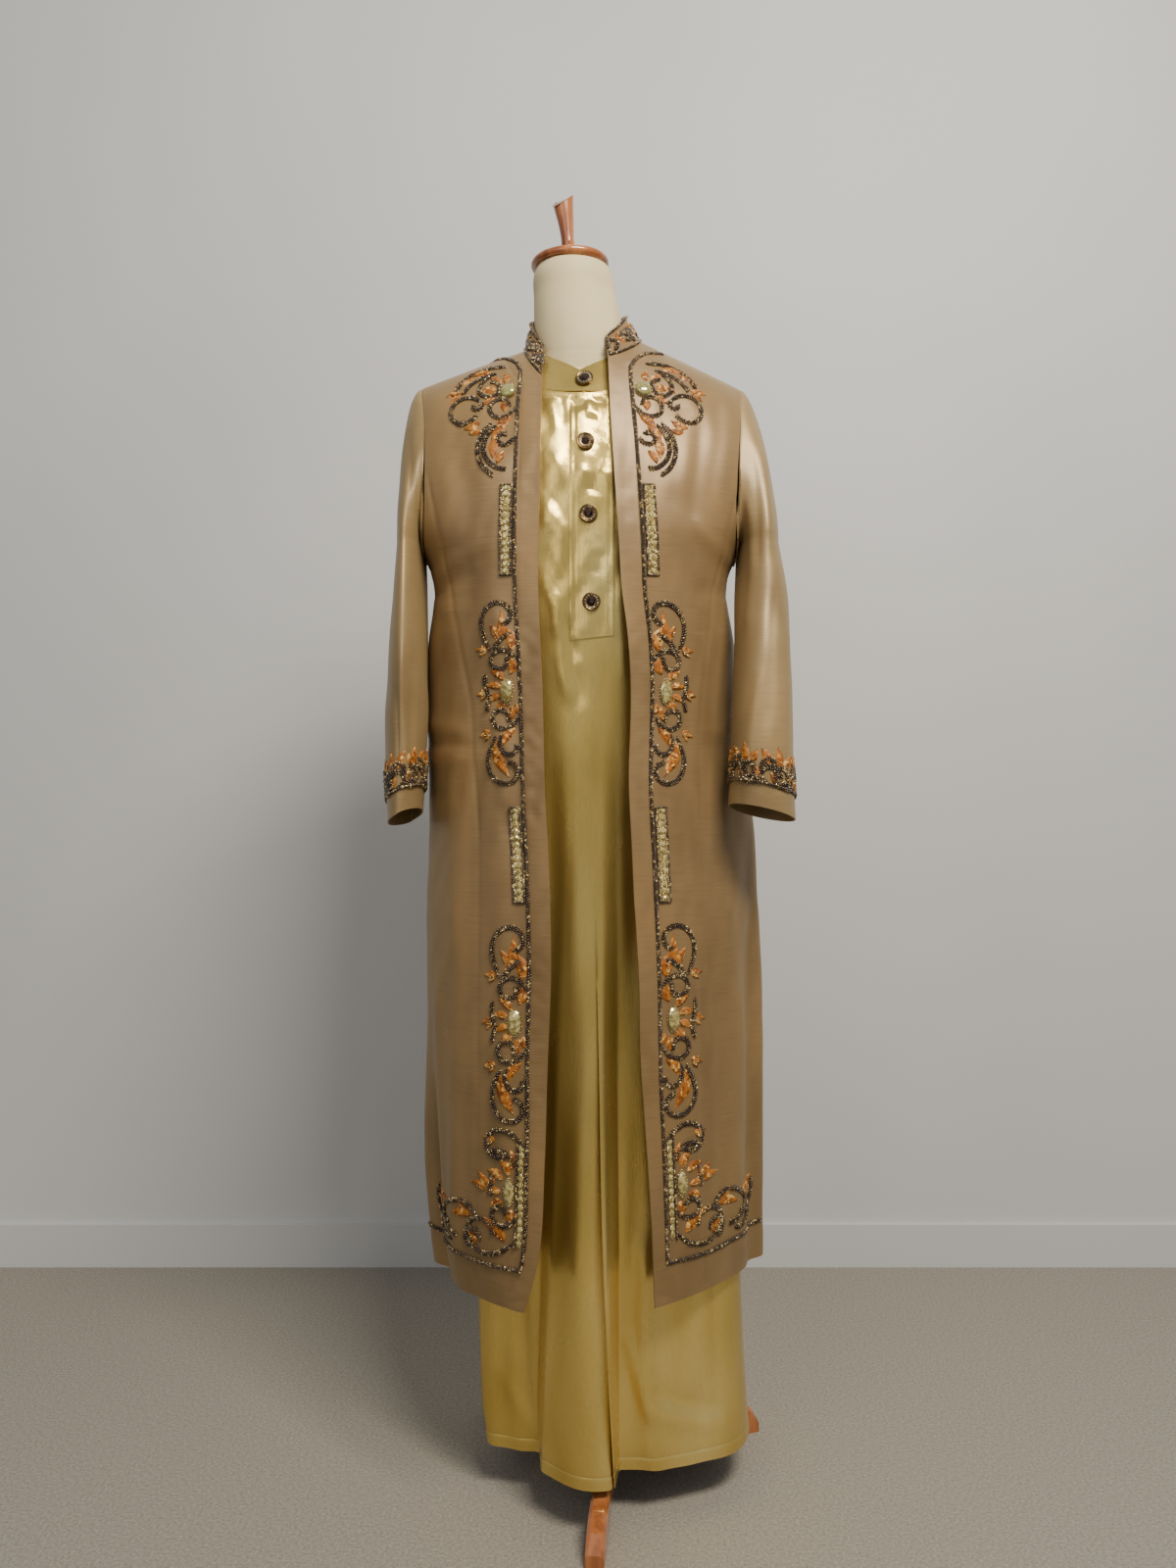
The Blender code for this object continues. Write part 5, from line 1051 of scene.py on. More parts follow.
def mixed(tree, share, first, second, mode="MIX"):
    made = add_node(tree, "ShaderNodeMix", data_type="RGBA", blend_type=mode)
    for socket, value in ((0, share), (6, first), (7, second)):
        if isinstance(value, bpy.types.NodeSocket):
            tree.links.new(value, made.inputs[socket])
        else:
            made.inputs[socket].default_value = value if socket == 0 else (*value, 1.0)
    return made.outputs[2]


def combined(tree, operation, first, second):
    """Two values added or multiplied."""
    return add_node(tree, "ShaderNodeMath", {0: first, 1: second}, operation=operation).outputs[0]


def coloured(tree, shader, tone):
    tree.links.new(tone, shader.inputs["Base Color"])


def bumped(tree, shader, height, strength, distance):
    made = add_node(tree, "ShaderNodeBump", {"Height": height, "Strength": strength, "Distance": distance})
    tree.links.new(made.outputs["Normal"], shader.inputs["Normal"])


def cells_of(tree, scale):
    """A cell pattern: its node, and a value for each cell."""
    place = add_node(tree, "ShaderNodeTexCoord")
    cells = add_node(tree, "ShaderNodeTexVoronoi", {"Vector": place.outputs["Object"], "Scale": scale})
    return cells, add_node(tree, "ShaderNodeSeparateColor", {"Color": cells.outputs["Color"]}).outputs[0]


def taffeta(name, deep, light, slub_and_sheen_tone):
    """Shot taffeta: horizontal slubs, a fine weave, and a sheen painted into its colour: a lighter tone at a
    slant.
    """
    made, tree, shader = new_material(name, light, 0.42, 0.25, Anisotropic=0.3)
    slub = stretched_noise(tree, (26.0, 26.0, 900.0), 5.0, 0.6)
    thin = tuple(0.72 * a + 0.28 * b for a, b in zip(light, deep))
    # the brightest slubs take the same tone that is painted as sheen at a slant
    slub_tone = ramp(tree, slub, ((0.34, thin), (0.50, light), (0.64, light), (0.80, slub_and_sheen_tone)))
    broad = stretched_noise(tree, (9.0, 9.0, 4.5), 3.0)
    stops = ((0.34, (0.72, 0.69, 0.64)), (0.52, (1.0, 1.0, 1.0)), (0.68, (1.22, 1.18, 1.10)))
    tone = mixed(tree, 1.0, slub_tone, ramp(tree, broad, stops), "MULTIPLY")
    # painted sheen: the colour turns to the lightest tone where the cloth is seen at a slant
    slant = add_node(tree, "ShaderNodeLayerWeight", {"Blend": 0.22})
    coloured(tree, shader, mixed(tree, slant.outputs["Facing"], tone, slub_and_sheen_tone))
    weave = stretched_noise(tree, (700.0, 700.0, 2400.0), 2.0)
    bumped(tree, shader, combined(tree, "ADD", slub, weave), 0.22, 0.0004)
    return made


def satin():
    """Heavy gold satin: smooth floats down the cloth, with broad soft highlights."""
    made, tree, shader = new_material("gold_satin", (0.62, 0.50, 0.19), 0.25, 0.80, Anisotropic=0.4)
    stops = ((0.30, (0.54, 0.37, 0.085)), (0.55, (0.72, 0.53, 0.16)), (0.75, (0.86, 0.68, 0.26)))
    tone = ramp(tree, stretched_noise(tree, (10.0, 10.0, 3.0), 2.0), stops)
    fine = stretched_noise(tree, (1500.0, 1500.0, 60.0), 2.0)
    fine_tone = ramp(tree, fine, ((0.35, (0.93, 0.93, 0.90)), (0.65, (1.05, 1.05, 1.05))))
    coloured(tree, shader, mixed(tree, 1.0, tone, fine_tone, "MULTIPLY"))
    gloss = stretched_noise(tree, (26.0, 26.0, 18.0), 3.0)
    rough = ramp(tree, gloss, ((0.3, (0.17,) * 3), (0.7, (0.29,) * 3)))
    tree.links.new(rough, shader.inputs["Roughness"])
    small = combined(tree, "MULTIPLY", stretched_noise(tree, (55.0, 55.0, 38.0), 3.0), 0.12)
    bumped(tree, shader, combined(tree, "ADD", small, fine), 0.22, 0.0012)
    return made


def beads(name, tones, roughness, metallic):
    """Small beads, each with its own tone from a cell of colour."""
    made, tree, shader = new_material(name, tones[0][1], roughness, metallic, Coat_Weight=0.6)
    coloured(tree, shader, ramp(tree, cells_of(tree, 420.0)[1], tones))
    return made


def petals():
    """Orange floss and bugle beads laid side by side, with bright ends: the palest cells are painted glints.
    """
    more = {"Specular_IOR_Level": 0.3}
    made, tree, shader = new_material("orange_floss", (0.40, 0.12, 0.02), 0.55, 0.0, **more)
    cells, value = cells_of(tree, 260.0)
    # the top stop, a pale orange, paints glints on a few cells
    coloured(tree, shader, ramp(tree, value, (
        (0.0, (0.12, 0.033, 0.004)), (0.35, (0.28, 0.085, 0.010)),
        (0.80, (0.40, 0.145, 0.018)), (1.0, (0.75, 0.45, 0.13)),
    )))
    bumped(tree, shader, cells.outputs["Distance"], 0.4, 0.0006)
    return made


def stone(name, colour, tint, through):
    """A clear or cloudy stone of two tones."""
    more = {"IOR": 1.65, "Transmission_Weight": through, "Coat_Weight": 1.0}
    made, tree, shader = new_material(name, colour, 0.04, 0.25, **more)
    tone = ramp(tree, stretched_noise(tree, (240.0, 240.0, 240.0), 2.0), ((0.40, tint), (0.60, colour)))
    coloured(tree, shader, tone)
    return made


def two_noises(made, tree, shader, tone_noise, stops, bump_noise, strength, distance):
    """Colours a plain material by one noise and roughens it by another."""
    coloured(tree, shader, ramp(tree, tone_noise, stops))
    bumped(tree, shader, bump_noise, strength, distance)
    return made


def varnished_wood():
    more = {"Coat_Weight": 0.7, "Coat_Roughness": 0.10}
    made, tree, shader = new_material("varnished_wood", (0.36, 0.12, 0.035), 0.22, **more)
    grain = stretched_noise(tree, (60.0, 60.0, 6.0), 5.0, 0.6)
    stops = ((0.30, (0.17, 0.045, 0.012)), (0.52, (0.36, 0.115, 0.032)), (0.72, (0.52, 0.20, 0.065)))
    return two_noises(made, tree, shader, grain, stops, grain, 0.10, 0.0006)


def jersey():
    made, tree, shader = new_material("cream_jersey", (0.66, 0.56, 0.33), 0.85, Sheen_Weight=0.2)
    broad = stretched_noise(tree, (18.0, 18.0, 14.0), 3.0)
    fine = stretched_noise(tree, (1500.0, 1500.0, 900.0), 2.0)
    stops = ((0.3, (0.60, 0.49, 0.26)), (0.7, (0.69, 0.58, 0.33)))
    return two_noises(made, tree, shader, broad, stops, fine, 0.25, 0.0004)


# the last tone of each is both the brightest slubs and the sheen painted at a slant
COAT_CLOTH = taffeta("bronze_taffeta", (0.115, 0.068, 0.026), (0.232, 0.145, 0.060), (0.36, 0.250, 0.118))
SLEEVE_CLOTH = taffeta("golden_taffeta", (0.145, 0.092, 0.036), (0.270, 0.182, 0.078), (0.41, 0.300, 0.145))
SATIN = satin()
DARK_BEADS = beads("dark_beads", (
    (0.0, (0.018, 0.008, 0.003)), (0.62, (0.050, 0.024, 0.009)),
    (0.86, (0.13, 0.075, 0.025)), (1.0, (0.75, 0.58, 0.26)),
), 0.32, 0.25)
GOLD_BEADS = beads("gold_beads", (
    (0.0, (0.34, 0.22, 0.06)), (0.5, (0.60, 0.46, 0.16)), (1.0, (0.92, 0.82, 0.48)),
), 0.18, 0.75)
PETALS = petals()
CRYSTAL = stone("green_gold_crystal", (0.82, 0.70, 0.28), (0.30, 0.22, 0.04), 0.35)
CABOCHON = stone("green_cabochon", (0.50, 0.47, 0.16), (0.34, 0.30, 0.09), 0.25)
CLEAR_STONE = stone("clear_stone", (0.80, 0.74, 0.58), (0.16, 0.12, 0.06), 0.3)
DARK_STONE = stone("dark_stone", (0.030, 0.010, 0.008), (0.012, 0.004, 0.004), 0.0)
WOOD = varnished_wood()
JERSEY = jersey()
BUTTON_METAL = new_material("button_metal", (0.16, 0.095, 0.035), 0.25, 0.9)[0]


# The panels' cloth
COAT_FRONT_FINE = 72
COAT_BACK_FINE = 64
THOBE_FRONT_FINE = 84
THOBE_BACK_FINE = 56
COAT_HEM = 0.034  # how deep the coat's hem is turned up
THOBE_HEM = 0.0145
COAT_CREASE = 1.35  # how much deeper the fronts' creases are than their rows say
THOBE_CREASE = 1.4
FRONT_PUCKER = 1.3
COAT_PUCKER = {"left": 0.0011, "right": 0.0005}  # how strong the front band's puckers are
COAT_FRONT_CREASES = {"left": COAT_LEFT_CREASES, "right": COAT_RIGHT_CREASES}
COAT_FRONT_SEEDS = {"left": 100, "right": 140}


def front_band(across, up, side):
    """The small slanting puckers of the band along the front edge, with a step at its end and its hem."""
    lean = up + 0.45 * across
    wave = np.sin(2 * math.pi * (lean / 0.0165 + 0.5 * uneven(lean, 0.030, 31)))
    wave = wave * (0.6 + 0.4 * uneven(lean, 0.022, 32))
    inside = ease(across / 0.006) * ease((0.029 - across) / 0.009)
    step = 0.0006 * groove(across, 0.0012, 0.0012) - 0.0007 * groove(across, 0.0265, 0.0016)
    return COAT_PUCKER[side] * wave * inside + step


def hem_detail(up, low, deep):
    """A turned-up hem: a groove at its stitches and a slightly thicker turn."""
    over = up - low
    return 0.0004 * ease((deep - over) / 0.002) - 0.0006 * groove(over, deep, 0.0016)


def coat_front_grid(side):
    grid = panel(COAT, side, "front", COAT_FRONT_FINE)
    x, z = grid[..., 0], grid[..., 2]
    seed = COAT_FRONT_SEEDS[side]
    low = ease((z - 0.27) / 0.10) * ease((1.40 - z) / 0.05)
    depth = COAT_CREASE * creases(COAT_FRONT_CREASES[side], x, z) + hem_detail(z, FLOOR_TO_COAT_HEM, COAT_HEM)
    depth = depth + FRONT_PUCKER * front_band(run_along(grid), z, side)
    depth = depth + 0.0014 * ripples(x, z, 0.055, 0.20, seed) * low
    depth = depth + 0.0005 * ripples(x, z, 0.024, 0.07, seed + 5) * low
    depth = depth * ease((z[-1:] - z) / 0.012 + 0.25)
    return shrink_edges(moved(grid, SIGN[side], depth))


def coat_back_depth(x, z):
    depth = creases(COAT_BACK_CREASES, x, z) + hem_detail(z, FLOOR_TO_COAT_HEM, COAT_HEM)
    return depth + 0.0012 * ripples(x, z, 0.06, 0.22, 180) * ease((1.41 - z) / 0.05)


def thobe_front_depth(x, z):
    top = ease((z - 1.04) / 0.04) * ease((1.37 - z) / 0.015)
    depth = THOBE_CREASE * creases(THOBE_FRONT_CREASES, x, z) + hem_detail(z, FLOOR_TO_THOBE_HEM, THOBE_HEM)
    depth = depth + 0.0013 * ripples(x, z, 0.034, 0.030, 210) * top
    return depth + 0.0016 * ripples(x, z, 0.050, 0.34, 220) * ease((1.04 - z) / 0.08)


def thobe_back_depth(x, z):
    depth = creases(THOBE_BACK_CREASES, x, z) + 0.0010 * ripples(x, z, 0.05, 0.25, 230)
    return depth * ease((1.41 - z) / 0.05) + hem_detail(z, FLOOR_TO_THOBE_HEM, THOBE_HEM)


def halves_of(garment, face, columns, depth_at):
    """Both halves of a front or a back, as grids with their facing."""
    halves = {}
    for side in SIDES:
        facing = SIGN[side] if face == "front" else -SIGN[side]
        grid = panel(garment, side, face, columns)
        halves[side] = (shrink_edges(moved(grid, facing, depth_at(grid[..., 0], grid[..., 2]))), facing)
    return halves


SHARED_GAP = 0.004  # half panels are one piece in the rows where their middles are closer than this


def joined_cloth(name, halves, thickness, finish, replaced):
    """Two half panels that share their middle below the neckline, as one shell: gives both halves' faces."""
    grids = {side: grid.copy() for side, (grid, facing) in halves.items()}
    flat = {side: facing * normals(grids[side]) for side, (grid, facing) in halves.items()}
    gap = np.linalg.norm(grids["left"][:, 0] - grids["right"][:, 0], axis=1)
    shared = gap < SHARED_GAP
    for values in (grids, flat):
        middle = (values["left"][shared, 0] + values["right"][shared, 0]) / 2
        for side in SIDES:
            values[side][shared, 0] = unit(middle) if values is flat else middle
    whole = {side: (grids[side], grids[side] + thickness * flat[side]) for side in SIDES}
    index = {"left": index_grid(grids["left"])}
    index["right"] = index_grid(grids["right"], first=index["left"].size)
    count = index["left"].size + index["right"].size
    index["right"][shared, 0] = index["left"][shared, 0]
    sheet = np.concatenate([quads(index["left"])[:, ::-1], quads(index["right"])])
    edges = np.concatenate([sheet[:, [k, (k + 1) % 4]] for k in range(4)])
    keys = edges[:, 0] * count + edges[:, 1]
    back = edges[:, 1] * count + edges[:, 0]
    rim = edges[~np.isin(keys, back)]
    rims = np.stack([rim[:, 0], rim[:, 1], rim[:, 1] + count, rim[:, 0] + count], axis=-1)
    faces = np.concatenate([sheet[:, ::-1], sheet + count, rims])
    used, place = np.unique(faces, return_inverse=True)
    points = np.concatenate([whole[side][face].reshape(-1, 3) for face in (0, 1) for side in SIDES])
    made = smooth_solid(name, points[used], place.reshape(faces.shape).tolist(), finish)
    declare_sheet(made, grids.values(), replaced)
    return whole


SLEEVE_TABLES = {"left": LEFT_SLEEVE, "right": RIGHT_SLEEVE}
SLEEVE_CREASES = {"left": SLEEVE_LEFT_CREASES, "right": SLEEVE_RIGHT_CREASES}
SLEEVE_SEEDS = {"left": 260, "right": 290}
CUFF_ROWS_MM = (33, 31.5, 30, 28.5, 27, 22, 17, 12, 8, 5, 3, 1.5, 0)
CUFF_STITCHES = 0.030  # how far over the cuff's edge its stitched groove lies
SLEEVE_SEAM = 205  # the sleeve seam's turn in degrees
ARM_WIDE = 0.9  # metres across for 1000 degrees round a sleeve, so that its creases can be given as turns


def sleeve_grid(side, armhole_front, armhole_back):
    """A sleeve's inner grid: rings from the armhole down to the cuff, the first column at the outer side."""
    sign = SIGN[side]
    rows = rows_of(SLEEVE_TABLES[side][::-1], SLEEVE_COLUMNS)
    start = edge_ring(armhole_front, armhole_back)
    count = len(start)
    turn = circle(count)
    cos, sin = np.cos(turn), np.sin(turn)
    low_share = ((1 - cos) / 2) ** 3
    away = SEAM_GAP + HEAD_STEP + low_share * UNDERARM_OUT
    start = start + np.stack([sign * away, np.zeros(count), low_share * UNDERARM_UP], axis=-1)

    def ring(z):
        x, y, wide, deep, square = (read(rows, name, z) for name in SLEEVE_COLUMNS[1:])
        share = ease((rows["z"][-1] - z) / (rows["z"][-1] - rows["z"][0]))
        return np.stack([
            x + sign * wide * np.sign(cos) * np.abs(cos) ** square,
            y - deep * np.sign(sin) * np.abs(sin) ** square,
            z - share * CUFF_TILT * cos + share * CUFF_NOD * sin,
        ], axis=-1)

    top = ring(rows["z"][-1])
    reach = HEAD_PUFF * (1 + cos) / 2
    first = start + np.stack([sign * reach, np.zeros(count), 0.3 * reach], axis=-1)
    last = top + np.array([0.0, 0.0, 1.0]) * (HEAD_FALL * ((1 + cos) / 2) + 0.004)[:, None]
    rings = []
    for t in np.linspace(0, 1, 40)[:-1] ** 1.25:
        near = (1 - t) ** 3 * start + 3 * t * (1 - t) ** 2 * first
        rings.append(near + 3 * t * t * (1 - t) * last + t**3 * top)
    cuff = rows["z"][0]
    heights = list(np.arange(1.19, cuff + 0.0345, -0.006)) + [cuff + mm / 1000 for mm in CUFF_ROWS_MM]
    grid = np.array(rings + [ring(z) for z in heights])
    z = grid[..., 2]
    degrees = np.degrees(turn)[None, :] + 0 * z
    scaled = [(a * ARM_WIDE, z0, b * ARM_WIDE, z1, w, d) for a, z0, b, z1, w, d in SLEEVE_CREASES[side]]
    depth = creases(scaled, degrees / 1000 * ARM_WIDE, z)
    seed = SLEEVE_SEEDS[side]
    soft = 0.0013 * np.sin(np.radians(degrees) * 2 + 3 * uneven(z, 0.12, seed)) * uneven(z, 0.07, seed + 1)
    fade = ease((1.40 - z) / 0.03) * ease(np.arange(len(grid))[:, None] / 6.0)
    lines = -0.0007 * (groove(z - cuff, CUFF_STITCHES, 0.0016) + groove(degrees, SLEEVE_SEAM, 2.0))
    outer = moved(grid, sign, (depth + soft) * fade + lines, closed=True)
    return outer - COAT_WALL * sign * normals(outer, closed=True)


COAT_COLLAR_ROWS = 14
THOBE_COLLAR_ROWS = 12
COLLAR_WAVES = 9  # small waves all round the thobe's collar


def collar_ring(fronts, back, rows, start_row, axis_x):
    """The neckline that a collar stands on, a seam's gap away from the panels."""
    ring = neck_ring(fronts, back, rows, start_row)
    return ring + SEAM_GAP * away_from_panel(ring, axis_x)[:, None]


def collar_grid(ring, shape, past, deep, turn, height, rows, wave):
    """A standing collar's inner grid, from its base ring to its top edge."""
    top = np.stack([
        shape["x"] + (shape["half"] + past) * np.sin(turn), shape["y"] - (deep + past) * np.cos(turn), height,
    ], axis=-1)
    share = np.linspace(0, 1, rows + 1)[:, None, None]
    grid = ring[:, 0] + (top - ring[:, 0]) * share
    return grid + wave * normals(grid)


def coat_collar(fronts, back):
    shape = COAT_COLLAR
    ring = collar_ring(fronts, back, COAT_ROWS, COAT_NECK_ROW, COAT_NECK["x"])
    base = bearing(ring[:, 0], COAT_NECK["x"])
    tops = rows_of(COAT_COLLAR_TOP, ("base", "turn", "z"))
    degrees = np.interp(base, (base[0], 90.0, 180.0, 270.0, base[-1]), tops["turn"])
    turn = np.radians(degrees)
    deep = np.where(np.cos(turn) > 0, shape["front"], shape["back"])
    height = smooth(degrees, tops["turn"], tops["z"])
    return collar_grid(ring, shape, 0.0, deep, turn, height, COAT_COLLAR_ROWS, 0.0)


def thobe_collar(fronts, back):
    """The thobe's collar: its button end runs on past the middle and lies over the other end."""
    shape = THOBE_COLLAR
    ring = collar_ring(fronts, back, THOBE_ROWS, THOBE_NECK_ROW, THOBE_NECK["x"])
    run = running(np.linalg.norm(ring[1:16, 0] - ring[:15, 0], axis=-1))
    beyond = []
    for distance in np.linspace(0, OVERLAP_LENGTH, 7)[1:]:
        k = np.interp(distance, run, np.arange(16))
        low = int(k)
        beyond.append(ring[low] + (ring[low + 1] - ring[low]) * (k - low))
    ring = np.concatenate([ring, beyond])
    base = bearing(ring[:, 0], THOBE_NECK["x"])
    over = OVERLAP_STEP * ease((base - OVERLAP_FROM) / (358.0 - OVERLAP_FROM))
    ring = ring + (over[:, None] * unit(ring[:, 1] - ring[:, 0]))[:, None]
    tops = rows_of(THOBE_COLLAR_TOP, ("turn", "z"))
    from_front = np.abs((base + 180) % 360 - 180)
    deep = np.where(from_front <= 90, shape["front"], shape["back"])
    height = smooth(from_front, tops["turn"], tops["z"])
    turn = np.radians(base)
    rows = THOBE_COLLAR_ROWS
    swell = np.sin(np.linspace(0, math.pi, rows + 1))[:, None, None]
    wave = 0.0008 * np.sin(turn * COLLAR_WAVES)[None, :, None] * swell
    return collar_grid(ring, shape, over, deep, turn, height, rows, wave)


# Surfaces that embroidery lies on
class Ahead:
    """A front panel's outer face, found by looking straight at it in front view."""

    def __init__(self, outer):
        self.tree = BVHTree.FromPolygons(outer.reshape(-1, 3).tolist(), quads(index_grid(outer)).tolist())

    def spot(self, x, z):
        hit, normal, _, _ = self.tree.ray_cast((x, -1.0, z), (0.0, 1.0, 0.0))
        if hit is None:
            return None
        normal = np.array(normal)
        return np.array(hit), normal * (-1.0 if normal[1] > 0 else 1.0)


class Around:
    """A band's outer face, by the distance along it and the share of its height."""

    def __init__(self, outer, normal):
        self.outer, self.normal = outer, normal
        self.run = run_along(outer)

    def spot(self, along, up):
        rows, columns = self.outer.shape[:2]
        row = min(max(up, 0.0), 1.0) * (rows - 1)
        r = min(int(row), rows - 2)
        column = np.interp(along, self.run[r], np.arange(columns))
        c = min(int(column), columns - 2)
        u, v = row - r, column - c
        corners = (
            (r, c, (1 - u) * (1 - v)), (r, c + 1, (1 - u) * v),
            (r + 1, c, u * (1 - v)), (r + 1, c + 1, u * v),
        )
        point = sum(w * self.outer[i, j] for i, j, w in corners)
        return point, unit(sum(w * self.normal[i, j] for i, j, w in corners))


# Embroidery
GOLDEN = (1 + 5**0.5) / 2
BALL = np.array([
    (-1, GOLDEN, 0), (1, GOLDEN, 0), (-1, -GOLDEN, 0), (1, -GOLDEN, 0), (0, -1, GOLDEN), (0, 1, GOLDEN),
    (0, -1, -GOLDEN), (0, 1, -GOLDEN), (GOLDEN, 0, -1), (GOLDEN, 0, 1), (-GOLDEN, 0, -1), (-GOLDEN, 0, 1),
]) / math.hypot(1, GOLDEN)
BALL_FACES = np.array([
    (0, 11, 5), (0, 5, 1), (0, 1, 7), (0, 7, 10), (0, 10, 11), (1, 5, 9), (5, 11, 4), (11, 10, 2), (10, 7, 6),
    (7, 1, 8), (3, 9, 4), (3, 4, 2), (3, 2, 6), (3, 6, 8), (3, 8, 9), (4, 9, 5), (2, 4, 11), (6, 2, 10),
    (8, 6, 7), (9, 8, 1),
])


class Stitching:
    """Beads, petals and stones gathered for one embroidered piece, by finish."""

    def __init__(self):
        self.parts = {}

    def add(self, finish, points, faces, flat=False):
        self.parts.setdefault(finish.name, []).append((np.asarray(points), faces, finish, flat))

    def balls(self, finish, centres, radius):
        centres = np.asarray(centres).reshape(-1, 3)
        if len(centres) == 0:
            return
        points = centres[:, None] + BALL[None] * np.reshape(radius, (-1, 1, 1))
        faces = (BALL_FACES[None] + 12 * np.arange(len(centres))[:, None, None]).reshape(-1, 3)
        self.add(finish, points.reshape(-1, 3), faces.tolist())

    def finish_as(self, name, *replaced):
        """One object of all that was gathered, riding on the frame in place of the named nodes."""
        points, faces, slots, flats, finishes = [], [], [], [], []
        count = 0
        for parts in self.parts.values():
            finishes.append(parts[0][2])
            for part_points, part_faces, _, flat in parts:
                points.append(part_points)
                faces += [tuple(v + count for v in face) for face in part_faces]
                slots += [len(finishes) - 1] * len(part_faces)
                flats += [not flat] * len(part_faces)
                count += len(part_points)
        made = mesh_object(name, np.concatenate(points), faces, finishes)
        made.data.polygons.foreach_set("material_index", slots)
        made.data.polygons.foreach_set("use_smooth", flats)
        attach(made, "root")
        if replaced:
            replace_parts(made, *replaced)


def scroll(u, v, heading, length, turn, late, count=70):
    """A curl as points in a plane, in millimetres: its heading turns ever faster towards its end."""
    share = np.linspace(0, 1, count)
    angle = np.radians(heading + turn * share**late)
    step = length / (count - 1)
    u = u + np.concatenate([[0], np.cumsum(np.cos(angle[:-1]) * step)])
    v = v + np.concatenate([[0], np.cumsum(np.sin(angle[:-1]) * step)])
    return list(zip(u, v))


def laid_line(surface, plane, route, step):
    """Points along a route on the surface, an even step apart, with their normals and directions across."""
    spots = [surface.spot(*plane(u, v)) for u, v in route]
    spots = [s for s in spots if s is not None]
    if len(spots) < 2:
        return (np.zeros((0, 3)),) * 3
    points = np.array([p for p, _ in spots])
    outs = np.array([n for _, n in spots])
    run = running(np.linalg.norm(np.diff(points, axis=0), axis=1))
    places = np.arange(0, run[-1], step)
    points, outs = (
        np.stack([np.interp(places, run, values[:, k]) for k in range(3)], axis=-1)
        for values in (points, outs)
    )
    outs = unit(outs)
    along = np.gradient(points, axis=0) if len(points) > 1 else np.zeros_like(points)
    return points, outs, unit(np.cross(outs, along))


DARK_SHARE = 0.94  # of a cord's beads
VEIN_BEADS = (0.12, 0.24, 0.36, 0.48)  # where a leaf's bright beads lie along it
PETAL_ROWS = 15
PETAL_COLUMNS = 6


def beaded_cord(work, surface, plane, route, width_mm=CORD_MM, taper=True):
    """A thick cord of small dark beads in three staggered rows, the middle row higher, a few beads gold."""
    bead = BEAD_MM / 1000
    points, outs, across = laid_line(surface, plane, route, bead * 0.40)
    if len(points) == 0:
        return
    half = (width_mm - BEAD_MM) / 2000
    row = np.array([1.0, 0.0, -1.0])[np.arange(len(points)) % 3][:, None]
    wide = np.full(len(points), 1.0)
    if taper:
        share = np.linspace(0, 1, len(points))
        wide = np.minimum(share / 0.10, 1.0) * 0.6 + 0.4
    radius = bead * 0.56 * random.uniform(0.88, 1.12, len(points)) * (0.75 + 0.25 * wide)
    rise = radius[:, None] * (0.75 + 0.5 * (row == 0))
    centres = points + row * across * half * wide[:, None] + outs * rise
    gold = random.uniform(0, 1, len(points)) > DARK_SHARE
    work.balls(DARK_BEADS, centres[~gold], radius[~gold])
    work.balls(GOLD_BEADS, centres[gold] + outs[gold] * 0.0002, radius[gold] * 0.9)


def petal(work, surface, plane, u, v, angle, length, width):
    """A leaf of laid floss: ribs slant from its vein to its edge, with bright beads at its root."""
    rows, columns = PETAL_ROWS, PETAL_COLUMNS
    length, width = length * (1 + LEAF_SCALE) / 2, width * LEAF_SCALE
    cos, sin = math.cos(math.radians(angle)), math.sin(math.radians(angle))
    points = []
    for r in range(rows + 1):
        t = r / rows
        half = 0.5 * width * math.sin(math.pi * min(t * 1.06, 1.0)) ** 0.75 * (1.12 - 0.35 * t) + 0.12
        bend = 0.10 * length * math.sin(math.pi * t)
        arch = 0.0015 * math.sin(math.pi * min(max(t, 0.03), 0.97)) ** 0.5
        for c in range(columns + 1):
            s = 2 * c / columns - 1
            a, b = t * length, s * half + bend
            spot = surface.spot(*plane(u + a * cos - b * sin, v + a * sin + b * cos))
            if spot is None:
                return
            rib = 0.00022 * math.cos(2 * math.pi * (t * rows / 2 + 0.55 * abs(s)))
            lift = 0.0004 + arch * (1 - s * s) ** 0.6 + rib
            points.append(spot[0] + spot[1] * (lift if abs(s) < 1 else 0.0))
    work.add(PETALS, points, quads(np.arange(len(points)).reshape(rows + 1, columns + 1)).tolist())
    vein = [(u + t * length * cos, v + t * length * sin) for t in VEIN_BEADS]
    spots = [surface.spot(*plane(*place)) for place in vein]
    work.balls(GOLD_BEADS, [point + normal * 0.0021 for point, normal in spots], 0.0008)


def bud(work, surface, plane, u, v, angle):
    for lean, length, width in ((-42, 9, 4.6), (0, 12, 5.2), (42, 9, 4.6)):
        petal(work, surface, plane, u, v, angle + lean, length, width)


def rings_about(spot, rings, half_wide, half_tall, sides, pointed=1.0):
    """Rings of points on a spot: each has its share of the half sizes, its height and its shift in sides."""
    point, normal = spot
    level = unit(np.cross([0.0, 0.0, 1.0], normal))
    up = np.cross(normal, level)
    points = []
    for share, height, shift in rings:
        turn = circle(sides) + 2 * math.pi * shift / sides
        a = share * half_wide * np.sign(np.cos(turn)) * np.abs(np.cos(turn)) ** pointed
        b = share * half_tall * np.sin(turn)
        points.append(point + a[:, None] * level + b[:, None] * up + height * normal)
    return np.concatenate(points)


def ring_faces(rows, sides):
    """The faces between rings of points."""
    return quads(index_grid(np.zeros((rows, sides)), closed=True)).tolist()


FACETS = ((0.90, 0.0, 0), (1.0, 0.30, 0), (0.80, 0.72, 0.5), (0.52, 1.0, 0))
DOME = ((0.94, 0.0, 0), (1.0, 0.22, 0), (0.93, 0.50, 0), (0.76, 0.76, 0), (0.48, 0.93, 0), (0.18, 1.0, 0))
COLLET_BEADS = 26


